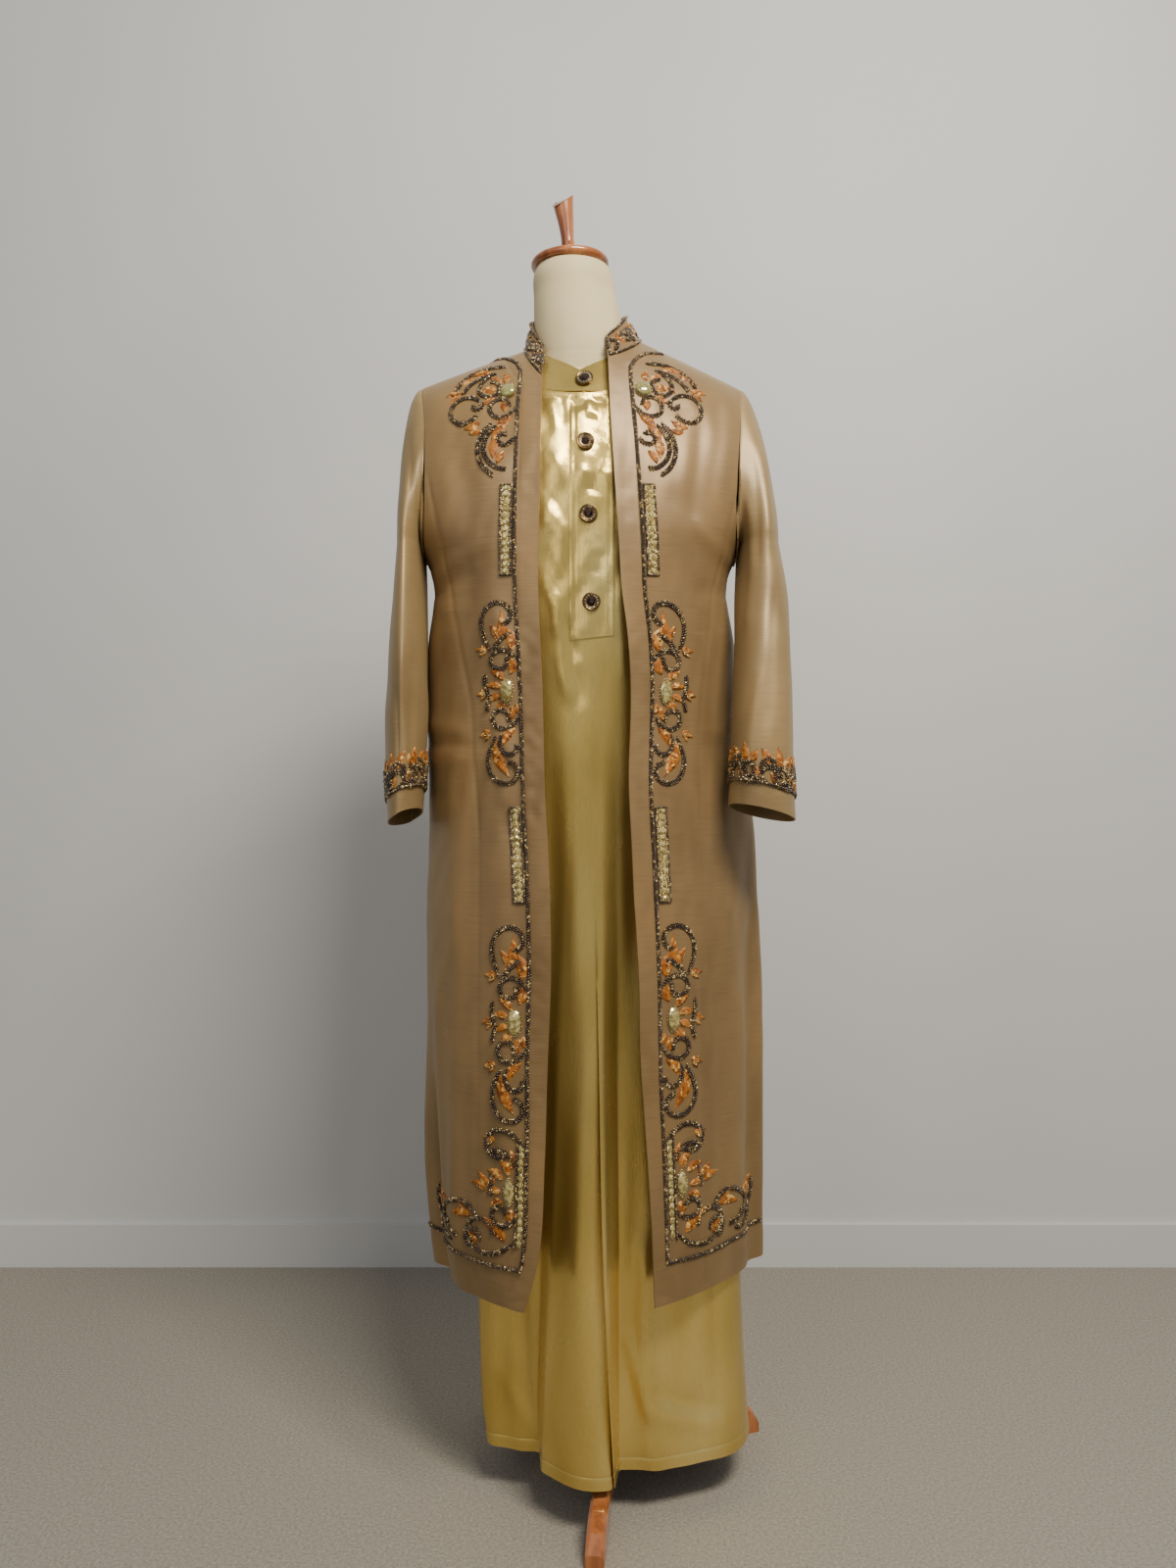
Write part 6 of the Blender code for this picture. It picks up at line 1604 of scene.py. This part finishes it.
def cut_stone(work, finish, spot, half_wide, half_tall, thick, lift, sides, pointed=1.0, domed=False):
    """A stone: a faceted one has a girdle, a ring half a side round and a table; a cabochon is a dome."""
    rings = DOME if domed else FACETS
    raised = [(share, lift + height * thick, shift) for share, height, shift in rings]
    points = rings_about(spot, raised, half_wide, half_tall, sides, pointed)
    faces = [tuple(range(sides))[::-1], tuple((len(rings) - 1) * sides + k for k in range(sides))]
    for number, (low, high) in enumerate(zip(rings, rings[1:])):
        for k in range(sides):
            a, b = number * sides + k, number * sides + (k + 1) % sides
            if low[2] == high[2]:
                faces.append((a, b, b + sides, a + sides))
            elif high[2] > low[2]:
                faces += [(a, b, a + sides), (b, b + sides, a + sides)]
            else:
                faces += [(a, b, b + sides), (a, b + sides, a + sides)]
    work.add(finish, points, faces, flat=not domed)
    collet = rings_about(
        spot, [(1.0, lift + 0.0002, 0)], 1.10 * half_wide, 1.08 * half_tall, COLLET_BEADS, pointed,
    )
    work.balls(GOLD_BEADS, collet, 0.00085)


def small_stone(work, finish, spot, radius, sides=8, thick=0.0017):
    rings = ((1.0, 0.0, 0), (1.0, 0.35 * thick, 0), (0.55, thick, 0))
    points = rings_about(spot, rings, radius, radius, sides)
    work.add(finish, points, [tuple(2 * sides + k for k in range(sides))] + ring_faces(3, sides), flat=True)


CORD = rows_of(CORD_ROUTE, ("from_edge", "z"))
CORD_SHARE = 0.985  # of its row's distance, at which the finer cord lies from the edge
MOTIF_OUT = 0.0012  # how far past the cord's middle a motif's own middle line lies


def cord_x(side, z):
    """The x of the beaded cord along one front at a height."""
    return float(read(EDGES, side, z) + SIGN[side] * CORD_SHARE * np.interp(z, CORD["z"], CORD["from_edge"]))


def motif_plane(side, middle_z, scale=1.0):
    """Turns a place in millimetres from the cord and the motif's middle into x and z."""
    def plane(u, v):
        z = middle_z + scale * v / 1000
        return cord_x(side, z) + SIGN[side] * (MOTIF_OUT + scale * u / 1000), z
    return plane


def scrollwork(work, surface, plane, scrolls, leaves, buds=()):
    for row in leaves:
        petal(work, surface, plane, *row)
    for row in buds:
        bud(work, surface, plane, *row)
    for row in scrolls:
        beaded_cord(work, surface, plane, scroll(*row))


def plain_plane(a, b):
    return a, b


CORD_LOW = 0.326  # where the front cord meets the hem cord
CORD_HIGH = 1.392  # where it turns off along the neckline
CORD_END = (
    # further out, z
    (0.0, 1.402), (0.004, 1.411), (0.011, 1.419), (0.020, 1.426), (0.031, 1.430), (0.042, 1.4315),
)
HEM_REACH = {"left": 0.205, "right": 0.222}  # how far from the middle the hem cord runs
FRONT_CORD_MM = 5.4
SIDE_WORK = (SIDE_SCROLLS, SIDE_LEAVES, SIDE_BUDS)
YOKE_WORK = (YOKE_SCROLLS, YOKE_LEAVES, YOKE_BUDS)
CORNER_WORK = (CORNER_SCROLLS, CORNER_LEAVES, CORNER_BUDS)
MOTIFS = (
    # name, middle height, scale, its rows, the stone, where it lies in mm, and its sizes
    ("yoke", 1.345, 1.0, YOKE_WORK, CABOCHON, (12.5, 24), (0.0098, 0.0098, 0.0052, 0.0016, 24, 1.0, True)),
    ("middle", 0.997, 1.0, SIDE_WORK, CRYSTAL, (14.5, 0), (0.0082, 0.0145, 0.0046, 0.0014, 14)),
    ("lower", 0.607, 1.03, SIDE_WORK, CRYSTAL, (14.5, 0), (0.0082, 0.0145, 0.0046, 0.0014, 14)),
    ("corner", 0.405, 1.0, CORNER_WORK, CRYSTAL, (19, 8), (0.0068, 0.0150, 0.0044, 0.0014, 14, 1.5)),
)
LADDERS = (
    # name, bottom, top, the middle line's distance from the cord in mm, half width in mm
    ("upper", 1.137, 1.246, 9.5, 6.6),
    ("middle", 0.746, 0.858, 9.5, 6.6),
    ("lower", 0.352, 0.468, 5.6, 3.2),
)
LADDER_STEP_MM = 8.2
LADDER_WIDE_MM = 5  # a ladder with a larger half width lies between cords
WIDE_LADDER_CORD_MM = 2.6
NARROW_LADDER_CORD_MM = 2.2


def embroider_front(side, surface):
    """All that is sewn on one front: the cord, three side motifs, the corner and the ladders of stones."""
    sign = SIGN[side]
    cord = Stitching()
    route = [(cord_x(side, z), z) for z in np.linspace(CORD_LOW, CORD_HIGH, 240)]
    route += [(route[-1][0] + sign * out, z) for out, z in CORD_END]
    beaded_cord(cord, surface, plain_plane, route, FRONT_CORD_MM, taper=False)
    corner = cord_x(side, CORD_LOW)
    reach = sign * HEM_REACH[side] - corner
    hem = [(corner + reach * t, CORD_LOW - 0.003 * math.sin(math.pi * t)) for t in np.linspace(0, 1, 90)]
    beaded_cord(cord, surface, plain_plane, hem, FRONT_CORD_MM, taper=False)
    cord.finish_as(f"cord_work_{side}", f"front_cord_{side}")
    for name, middle, scale, rows, finish, place, sizes in MOTIFS:
        work = Stitching()
        plane = motif_plane(side, middle, scale)
        scrollwork(work, surface, plane, *rows)
        cut_stone(work, finish, surface.spot(*plane(*place)), *sizes)
        work.finish_as(f"{name}_work_{side}", f"motif_{name}_{side}", f"gem_{name}_{side}")
    for row in LADDERS:
        ladder(side, surface, *row)


def ladder(side, surface, name, bottom, top, offset, half):
    """A narrow strip of stones; a wide one lies between lines of dark beads, a narrow one beside one line."""
    work = Stitching()
    plane = motif_plane(side, bottom)
    height = (top - bottom) * 1000
    count = round(height / LADDER_STEP_MM)
    wide = half > LADDER_WIDE_MM
    for k in range(count):
        spot = surface.spot(*plane(offset, (k + 0.5) * height / count))
        cut_stone(work, CRYSTAL, spot, min(half, 4.2) / 1000 * 0.86, 0.0036, 0.0026, 0.0008, 8)
        if wide:
            for s in (-1, 1):
                places = [plane(offset + s * (half - 1.6), (k + q) * height / count) for q in (0.2, 0.5, 0.8)]
                spots = [surface.spot(*place) for place in places]
                work.balls(GOLD_BEADS, [p + n * 0.0010 for p, n in spots], 0.0012)
    if wide:
        lines = [[(u, v) for v in np.linspace(0, height, 60)] for u in (offset - half, offset + half)]
        lines += [[(u, v) for u in np.linspace(offset - half, offset + half, 12)] for v in (0, height)]
    else:
        lines = [[(offset + half + 1.6, v) for v in np.linspace(-2, height, 60)]]
    cord_mm = WIDE_LADDER_CORD_MM if wide else NARROW_LADDER_CORD_MM
    for line in lines:
        beaded_cord(work, surface, plane, line, cord_mm, taper=False)
    work.finish_as(f"ladder_work_{name}_{side}", f"ladder_{name}_{side}")


CUFF_REPEAT_MM = 44
CUFF_BAND = slice(-26, -9)  # the sleeve's rows that the cuff's band covers
CUFF_CORD_MM = 3.6
COLLAR_CORD_MM = 3.8
COLLAR_REPEATS = 11
COLLAR_LOW = 0.055  # the collar's border cords, as shares of its height
COLLAR_HIGH = 0.94


def embroider_cuff(side, outer, normal):
    """Scrolls, leaves and a border cord all round a cuff, 3 to 9 cm over its edge."""
    band, out = (
        np.concatenate([values[CUFF_BAND], values[CUFF_BAND, :1]], axis=1)[::-1] for values in (outer, normal)
    )
    surface = Around(band, out)
    tall = np.linalg.norm(band[-1, 0] - band[0, 0]) * 1000
    length = surface.run[0, -1]
    work = Stitching()
    repeats = max(3, round(length * 1000 / CUFF_REPEAT_MM))
    size = length * 1000 / repeats / CUFF_REPEAT_MM
    for k in range(repeats):
        start = k * CUFF_REPEAT_MM * size

        def plane(u, v, start=start):
            return (start + u * size) / 1000 % length, v * size / tall
        scrollwork(work, surface, plane, CUFF_SCROLLS, CUFF_LEAVES)
    border = [(s * length, 0.02) for s in np.linspace(0, 0.999, 240)]
    beaded_cord(work, surface, plain_plane, border, CUFF_CORD_MM, taper=False)
    work.finish_as(f"cuff_work_{side}", f"cuff_trim_{side}")


def embroider_collar(outer, normal):
    """The coat's collar: a dark border cord with small scrolls and orange leaves inside it."""
    surface = Around(outer, normal)
    work = Stitching()
    length = surface.run[0, -1]
    last = COAT_COLLAR_ROWS
    lines = [
        [(length * t, COLLAR_LOW) for t in np.linspace(0.006, 0.994, 200)],
        [(surface.run[-3, -1] * t, COLLAR_HIGH) for t in np.linspace(0.008, 0.992, 200)],
    ]
    for end in (0.007, 0.993):
        shares = np.linspace(COLLAR_LOW, COLLAR_HIGH, 24)
        lines.append([(surface.run[min(int(s * last), last), -1] * end, s) for s in shares])
    for line in lines:
        beaded_cord(work, surface, plain_plane, line, COLLAR_CORD_MM, taper=False)
    tall = float(np.linalg.norm(outer[-1] - outer[0], axis=-1).mean()) * 1000
    for k in range(COLLAR_REPEATS):
        start = length * (0.02 + 0.96 * k / COLLAR_REPEATS)

        def plane(u, v, start=start):
            return start + u / 1000, 0.05 + v / tall
        scrollwork(work, surface, plane, COLLAR_SCROLLS, COLLAR_LEAVES)
    work.finish_as("collar_work")


# Placket and buttons
PLACKET_ROWS = 120
PLACKET_COLUMNS = 26
PLACKET_STITCHES = {"left": 0.09, "right": 0.91}  # shares of the placket's width


def placket_x(share):
    return PLACKET["left"] + (PLACKET["right"] - PLACKET["left"]) * share


def placket(surface):
    """The thobe's front band: a raised strip with turned edges and lines of stitches."""
    bottom, top = PLACKET["bottom"], PLACKET["top"]
    spots, lift = [], []
    for r in range(PLACKET_ROWS + 1):
        z = bottom + (top - bottom) * r / PLACKET_ROWS
        for c in range(PLACKET_COLUMNS + 1):
            s = c / PLACKET_COLUMNS
            slant = 0.006 * (1 - r / PLACKET_ROWS) * s if r < 3 else 0.0
            spots.append(surface.spot(placket_x(s), z + slant))
            near = min(s, 1 - s)
            lift.append(0.0016 + 0.0005 * float(ease(near / 0.02)) - 0.0006 * groove(near, 0.11, 0.022))
    shape = (PLACKET_ROWS + 1, PLACKET_COLUMNS + 1, 3)
    points = np.array([p for p, _ in spots]).reshape(shape)
    outs = np.array([n for _, n in spots]).reshape(shape)
    grid = points + outs * 0.0003
    outer = points + outs * np.array(lift).reshape(shape[0], shape[1], 1)
    made = shell("placket_cloth", grid, outer, SATIN)
    declare_sheet(made, [grid], "thobe_placket")
    face = Ahead(outer)
    heights = np.linspace(bottom + 0.006, top - 0.003, 60)
    for side, share in PLACKET_STITCHES.items():
        stitches(f"placket_stitches_{side}", face, [(placket_x(share), z) for z in heights])


def stitches(name, surface, route, step=0.0042, long=0.0024):
    """A line of small raised stitches."""
    points, outs, across = laid_line(surface, plain_plane, route, step)
    work = Stitching()
    along = np.cross(across, outs)
    made_points, faces = [], []
    for p, n, a, s in zip(points, outs, along, across):
        p = p + n * 0.0002
        edge = s * 0.00028
        base = len(made_points)
        made_points += [p - a * long / 2, p + edge + n * 0.0003, p + a * long / 2, p - edge + n * 0.0003]
        made_points.append(p + n * 0.0005)
        faces += [(base + k, base + (k + 1) % 4, base + 4) for k in range(4)]
    work.add(SATIN, made_points, faces)
    work.finish_as(name)


BUTTON_RADIUS = 0.0112
BUTTON_THICK = 0.0058
BUTTON_SIDES = 40
BUTTON_STONES = 14
BUTTON_PROFILE = (
    # share of the radius, share of the thickness
    (0.80, 0.0), (0.98, 0.10), (1.0, 0.30), (0.96, 0.52),
    (0.86, 0.60), (0.80, 0.42), (0.50, 0.40), (0.0, 0.40),
)


def jewel_button(number, spot):
    """A button: a dark gold rim with a ring of clear stones round one dark stone."""
    point, normal = spot
    work = Stitching()
    rings = [(share, height * BUTTON_THICK, 0) for share, height in BUTTON_PROFILE]
    points = rings_about(spot, rings, BUTTON_RADIUS, BUTTON_RADIUS, BUTTON_SIDES)
    work.add(BUTTON_METAL, points, ring_faces(len(rings), BUTTON_SIDES))
    around = 0.68 * BUTTON_RADIUS
    for place in rings_about(spot, [(1.0, 0.0022, 0.5)], around, around, BUTTON_STONES):
        small_stone(work, CLEAR_STONE, (place, normal), 0.00135)
    small_stone(work, DARK_STONE, (point + normal * 0.0020, normal), 0.0052, 12, 0.0036)
    work.finish_as(f"jewel_button_{number}", f"button_{number}")


# The dress form, its cap and its stand
FORM_SIDES = 120
FORM_LOW = (0.8, 0.801, 0.803)  # close rings that tuck the form's lower edge in
NECK_SEAM = 1.4365  # the height of the groove round the form's neck
CAP_SIDES = 96


def ring_at(x, y, z):
    """A ring's points: x and y are arrays, z is one height or an array."""
    return np.stack(np.broadcast_arrays(x, y, z), axis=-1)


def tube(name, rings, finish, sharp=50, open_top=False):
    """A solid of level rings with flat ends."""
    rings = np.array(rings)
    index = index_grid(rings)
    faces = ring_faces(*rings.shape[:2]) + [index[0][::-1].tolist()]
    if not open_top:
        faces.append(index[-1].tolist())
    return smooth_solid(name, rings.reshape(-1, 3), faces, finish, sharp)


def form_body():
    """The padded body and neck, smooth, in place of the faceted solid."""
    turn = circle(FORM_SIDES)
    sin, cos = np.sin(turn), np.cos(turn)
    sides = [FORM_SIDES // 4, 3 * FORM_SIDES // 4]
    rings = []
    for z in np.concatenate([FORM_LOW, np.linspace(0.81, UNDERARM, 40)]):
        middle = centre(z)
        half = np.where(sin < 0, middle - read(FORM, "left", z), read(FORM, "right", z) - middle)
        deep = np.where(cos > 0, -read(FORM, "front_left", z), read(FORM, "back", z))
        square = read(FORM, "square_back", z)
        tuck = 1 - 0.03 * max(0.0, (FORM_LOW[-1] - z) / 0.003)
        x = middle + tuck * half * np.sign(sin) * np.abs(sin) ** square
        rings.append(ring_at(x, tuck * deep * np.abs(cos) ** square, z))
    base = rings[-1]
    base[sides, 1] = 0.0
    x = base[:, 0]
    for share in np.sin(np.linspace(0, math.pi / 2, 24))[1:]:
        z = UNDERARM + (ridge(FORM, x) - UNDERARM) * share
        y = np.where(cos > 0, dome(FORM, "front", x, z), dome(FORM, "back", x, z))
        y[sides] = 0.0
        rings.append(ring_at(x, y, z))
    rings[-1][:, 1] = 0.0
    body = tube("form_cover", rings, JERSEY, open_top=True)
    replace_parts(body, "form_torso")
    rows = rows_of(NECK_ROWS, ("z", "x", "radius"))
    rings = []
    for z in np.linspace(rows["z"][0], rows["z"][-1], 70):
        radius = read(rows, "radius", z) - 0.0006 * groove(z - 0.006 * sin, NECK_SEAM, 0.0012)
        rings.append(ring_at(read(rows, "x", z) + radius * cos, NECK_Y + radius * sin, z))
    tube("form_neck", rings, JERSEY)


def tilted(rings):
    """Turns the cap's points about the neck's top, its right side up."""
    points = np.array(rings)
    cos, sin = math.cos(CAP_TILT), math.sin(CAP_TILT)
    x, z = points[..., 0] - CAP_X, points[..., 2] - CAP_BOTTOM
    turned = [CAP_X + x * cos - z * sin, points[..., 1], CAP_BOTTOM + x * sin + z * cos + CAP_LIFT]
    return np.stack(turned, axis=-1)


def neck_cap():
    """The wooden cap and its handle, whose end is cut off at a slant."""
    turn = circle(CAP_SIDES)
    cos, sin = np.cos(turn), np.sin(turn)
    rows = rows_of(CAP_ROWS, ("z", "radius"))
    run = running(np.hypot(np.diff(rows["z"]), np.diff(rows["radius"])))
    rings = []
    for place in np.linspace(0, run[-1], 40):
        height, radius = smooth(place, run, rows["z"]), smooth(place, run, rows["radius"])
        rings.append(ring_at(CAP_X + radius * cos, NECK_Y + radius * sin, CAP_BOTTOM + height))
    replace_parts(tube("cap_wood", tilted(rings), WOOD), "neck_cap")
    rows = rows_of(HANDLE_ROWS, ("z", "x", "wide", "deep"))
    point = np.array(HANDLE_CUT["point"]) + np.array([0.0, NECK_Y, CAP_BOTTOM])
    normal = np.array(HANDLE_CUT["normal"])
    rings = []
    for height in np.linspace(rows["z"][0], rows["z"][-1], 60):
        x, wide, deep = (read(rows, name, height) for name in ("x", "wide", "deep"))
        ring = ring_at(x + wide * cos, NECK_Y + deep * sin, CAP_BOTTOM + height)
        ring[:, 2] = ring[:, 2] - np.maximum((ring - point) @ normal, 0) / normal[2]
        rings.append(ring)
    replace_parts(tube("handle_wood", tilted(rings), WOOD, sharp=35), "neck_cap_handle")


# Floor, wall, light and camera
WALL_Y = 0.660
SKIRTING_HEIGHT = 0.078
SKIRTING_DEEP = 0.010
ROOM_HALF = 6
FLOOR_NEAR = -4
FLOOR_FAR = 5
ROOM_HEIGHT = 4
CAMERA_DISTANCE = 1.536  # from the stand's axis
CAMERA_HEIGHT = 0.886
LENS_MM = 27.0


def stage_plane(name, first, last, finish):
    """A level or upright rectangle all across the room, from (y, z) to (y, z)."""
    corners = [(-ROOM_HALF, *first), (ROOM_HALF, *first), (ROOM_HALF, *last), (-ROOM_HALF, *last)]
    mesh_object(name, corners, [(0, 1, 2, 3)], [finish])


def painted_wall():
    """A wall's paint, which a camera behind the wall sees through."""
    made, tree, shader = new_material("painted_wall", (0.58, 0.58, 0.565), 0.6)
    noise = stretched_noise(tree, (0.9, 0.9, 0.8), 3.0)
    coloured(tree, shader, ramp(tree, noise, ((0.3, (0.54, 0.545, 0.54)), (0.7, (0.61, 0.61, 0.60)))))
    bumped(tree, shader, stretched_noise(tree, (60.0, 60.0, 60.0), 4.0), 0.08, 0.002)
    face = add_node(tree, "ShaderNodeNewGeometry")
    ray = add_node(tree, "ShaderNodeLightPath")
    behind = combined(tree, "MULTIPLY", face.outputs["Backfacing"], ray.outputs["Is Camera Ray"])
    clear = add_node(tree, "ShaderNodeBsdfTransparent")
    settings = {0: behind, 1: shader.outputs["BSDF"], 2: clear.outputs["BSDF"]}
    either = add_node(tree, "ShaderNodeMixShader", settings)
    tree.links.new(either.outputs[0], tree.nodes["Material Output"].inputs["Surface"])
    return made


def carpet():
    made, tree, shader = new_material("grey_carpet", (0.30, 0.275, 0.23), 0.95)
    pile = stretched_noise(tree, (260.0, 260.0, 260.0), 4.0)
    fine = stretched_noise(tree, (500.0, 500.0, 500.0), 3.0)
    stops = ((0.3, (0.21, 0.19, 0.155)), (0.7, (0.37, 0.34, 0.285)))
    return two_noises(made, tree, shader, pile, stops, fine, 0.6, 0.002)


def room():
    """The wall behind, its skirting and the carpet."""
    wall, floor = painted_wall(), carpet()
    board, top = WALL_Y - SKIRTING_DEEP, SKIRTING_HEIGHT
    stage_plane("floor", (FLOOR_NEAR, 0), (FLOOR_FAR, 0), floor)
    stage_plane("backdrop", (WALL_Y, 0), (WALL_Y, ROOM_HEIGHT), wall)
    stage_plane("skirting", (board, 0), (board, top), wall)
    stage_plane("skirting_top", (board, top), (WALL_Y, top), wall)


def light(name, place, target, size, power, colour):
    data = bpy.data.lights.new(name, "AREA")
    data.shape = "RECTANGLE"
    data.size, data.size_y = size
    data.energy = power
    data.color = colour
    made = bpy.data.objects.new(name, data)
    made.location = place
    made.rotation_euler = (Vector(target) - Vector(place)).to_track_quat("-Z", "Y").to_euler()
    bpy.context.scene.collection.objects.link(made)


def lights_and_camera():
    scene = bpy.context.scene
    world = bpy.data.worlds.new("room_light")
    world.use_nodes = True
    world.node_tree.nodes["Background"].inputs["Color"].default_value = (0.92, 0.95, 1.0, 1.0)
    world.node_tree.nodes["Background"].inputs["Strength"].default_value = 0.36
    scene.world = world
    light("ceiling", (0.75, -1.55, 2.75), (0.0, 0.0, 0.85), (1.1, 0.5), 96.0, (1.0, 0.93, 0.82))
    light("near_fill", (-1.2, -2.2, 1.9), (0.0, 0.0, 0.8), (1.2, 1.2), 9.0, (1.0, 0.95, 0.88))
    data = bpy.data.cameras.new("view")
    data.lens = LENS_MM
    data.sensor_width = 36.0
    made = bpy.data.objects.new("view", data)
    made.location = (0.0, STAND_SHIFT[1] - CAMERA_DISTANCE, CAMERA_HEIGHT)
    made.rotation_euler = (math.radians(90), 0.0, 0.0)
    scene.collection.objects.link(made)
    scene.camera = made


BUTTON_REACH = 0.012  # half the span over which a button's own plane is measured
BUTTON_UP = {True: 0.0006, False: 0.0030}  # how far a button stands off, the collar's one and the others

# Everything is made about the stand's axis and moved into the frame together at the end
coat_fronts, coat_surfaces = {}, {}
for side in SIDES:
    cloth = coat_front_grid(side)
    name = f"coat_front_cloth_{side}"
    outer_face = cloth_piece(
        name, cloth, SIGN[side], COAT_WALL, COAT_CLOTH, f"coat_front_{side}",
    )
    coat_fronts[side] = (cloth, outer_face)
    coat_surfaces[side] = Ahead(outer_face)
halves = halves_of(COAT, "back", COAT_BACK_FINE, coat_back_depth)
coat_back = joined_cloth(
    "coat_back_cloth", halves, COAT_WALL, COAT_CLOTH, "coat_back",
)
halves = halves_of(THOBE, "front", THOBE_FRONT_FINE, thobe_front_depth)
thobe_front = joined_cloth("thobe_front_cloth", halves, THOBE_WALL, SATIN, "thobe_front")
halves = halves_of(THOBE, "back", THOBE_BACK_FINE, thobe_back_depth)
thobe_back = joined_cloth("thobe_back_cloth", halves, THOBE_WALL, SATIN, "thobe_back")

top_rows = slice(len(COAT_ROWS) - 1, None)
for side in SIDES:
    cloth = sleeve_grid(side, coat_fronts[side][0][top_rows, -1], coat_back[side][0][top_rows, -1])
    name = f"sleeve_cloth_{side}"
    outer_face = cloth_piece(
        name, cloth, SIGN[side], COAT_WALL, SLEEVE_CLOTH, f"sleeve_{side}", closed=True,
    )
    embroider_cuff(side, outer_face, SIGN[side] * normals(cloth, closed=True))

cloth = coat_collar(coat_fronts, coat_back)
name = "coat_collar_cloth"
outer_face = cloth_piece(name, cloth, 1.0, COAT_WALL, COAT_CLOTH, "coat_collar")
embroider_collar(outer_face, normals(cloth))
cloth = thobe_collar(thobe_front, thobe_back)
name = "thobe_collar_cloth"
outer_face = cloth_piece(name, cloth, 1.0, THOBE_WALL, SATIN, "thobe_collar")
collar_face = Ahead(outer_face)
for side in SIDES:
    embroider_front(side, coat_surfaces[side])

thobe_face = Ahead(np.concatenate([thobe_front["left"][1][:, ::-1], thobe_front["right"][1][:, 1:]], axis=1))
placket(thobe_face)
for number, (x, z) in enumerate(BUTTONS, start=1):
    on_collar = number == 1
    if on_collar:
        place, normal = collar_face.spot(x, z)
    else:
        place, _ = thobe_face.spot(x, z)
        rise = thobe_face.spot(x, z + BUTTON_REACH)[0] - thobe_face.spot(x, z - BUTTON_REACH)[0]
        across = thobe_face.spot(x + BUTTON_REACH, z)[0] - thobe_face.spot(x - BUTTON_REACH, z)[0]
        normal = unit(np.cross(across, rise))
    jewel_button(number, (place + normal * BUTTON_UP[on_collar], normal))
form_body()
neck_cap()
for name in ("stand_pole", "stand_hub", "stand_leg_1", "stand_leg_2", "stand_leg_3"):
    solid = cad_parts[name]
    solid.data.materials.clear()
    solid.data.materials.append(WOOD)

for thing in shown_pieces():
    if thing.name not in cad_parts:
        points = np.zeros(len(thing.data.vertices) * 3)
        thing.data.vertices.foreach_get("co", points)
        points = points.reshape(-1, 3) + np.array([*STAND_SHIFT, 0.0])
        thing.data.vertices.foreach_set("co", points.reshape(-1))
        thing.data.update()

room()
lights_and_camera()
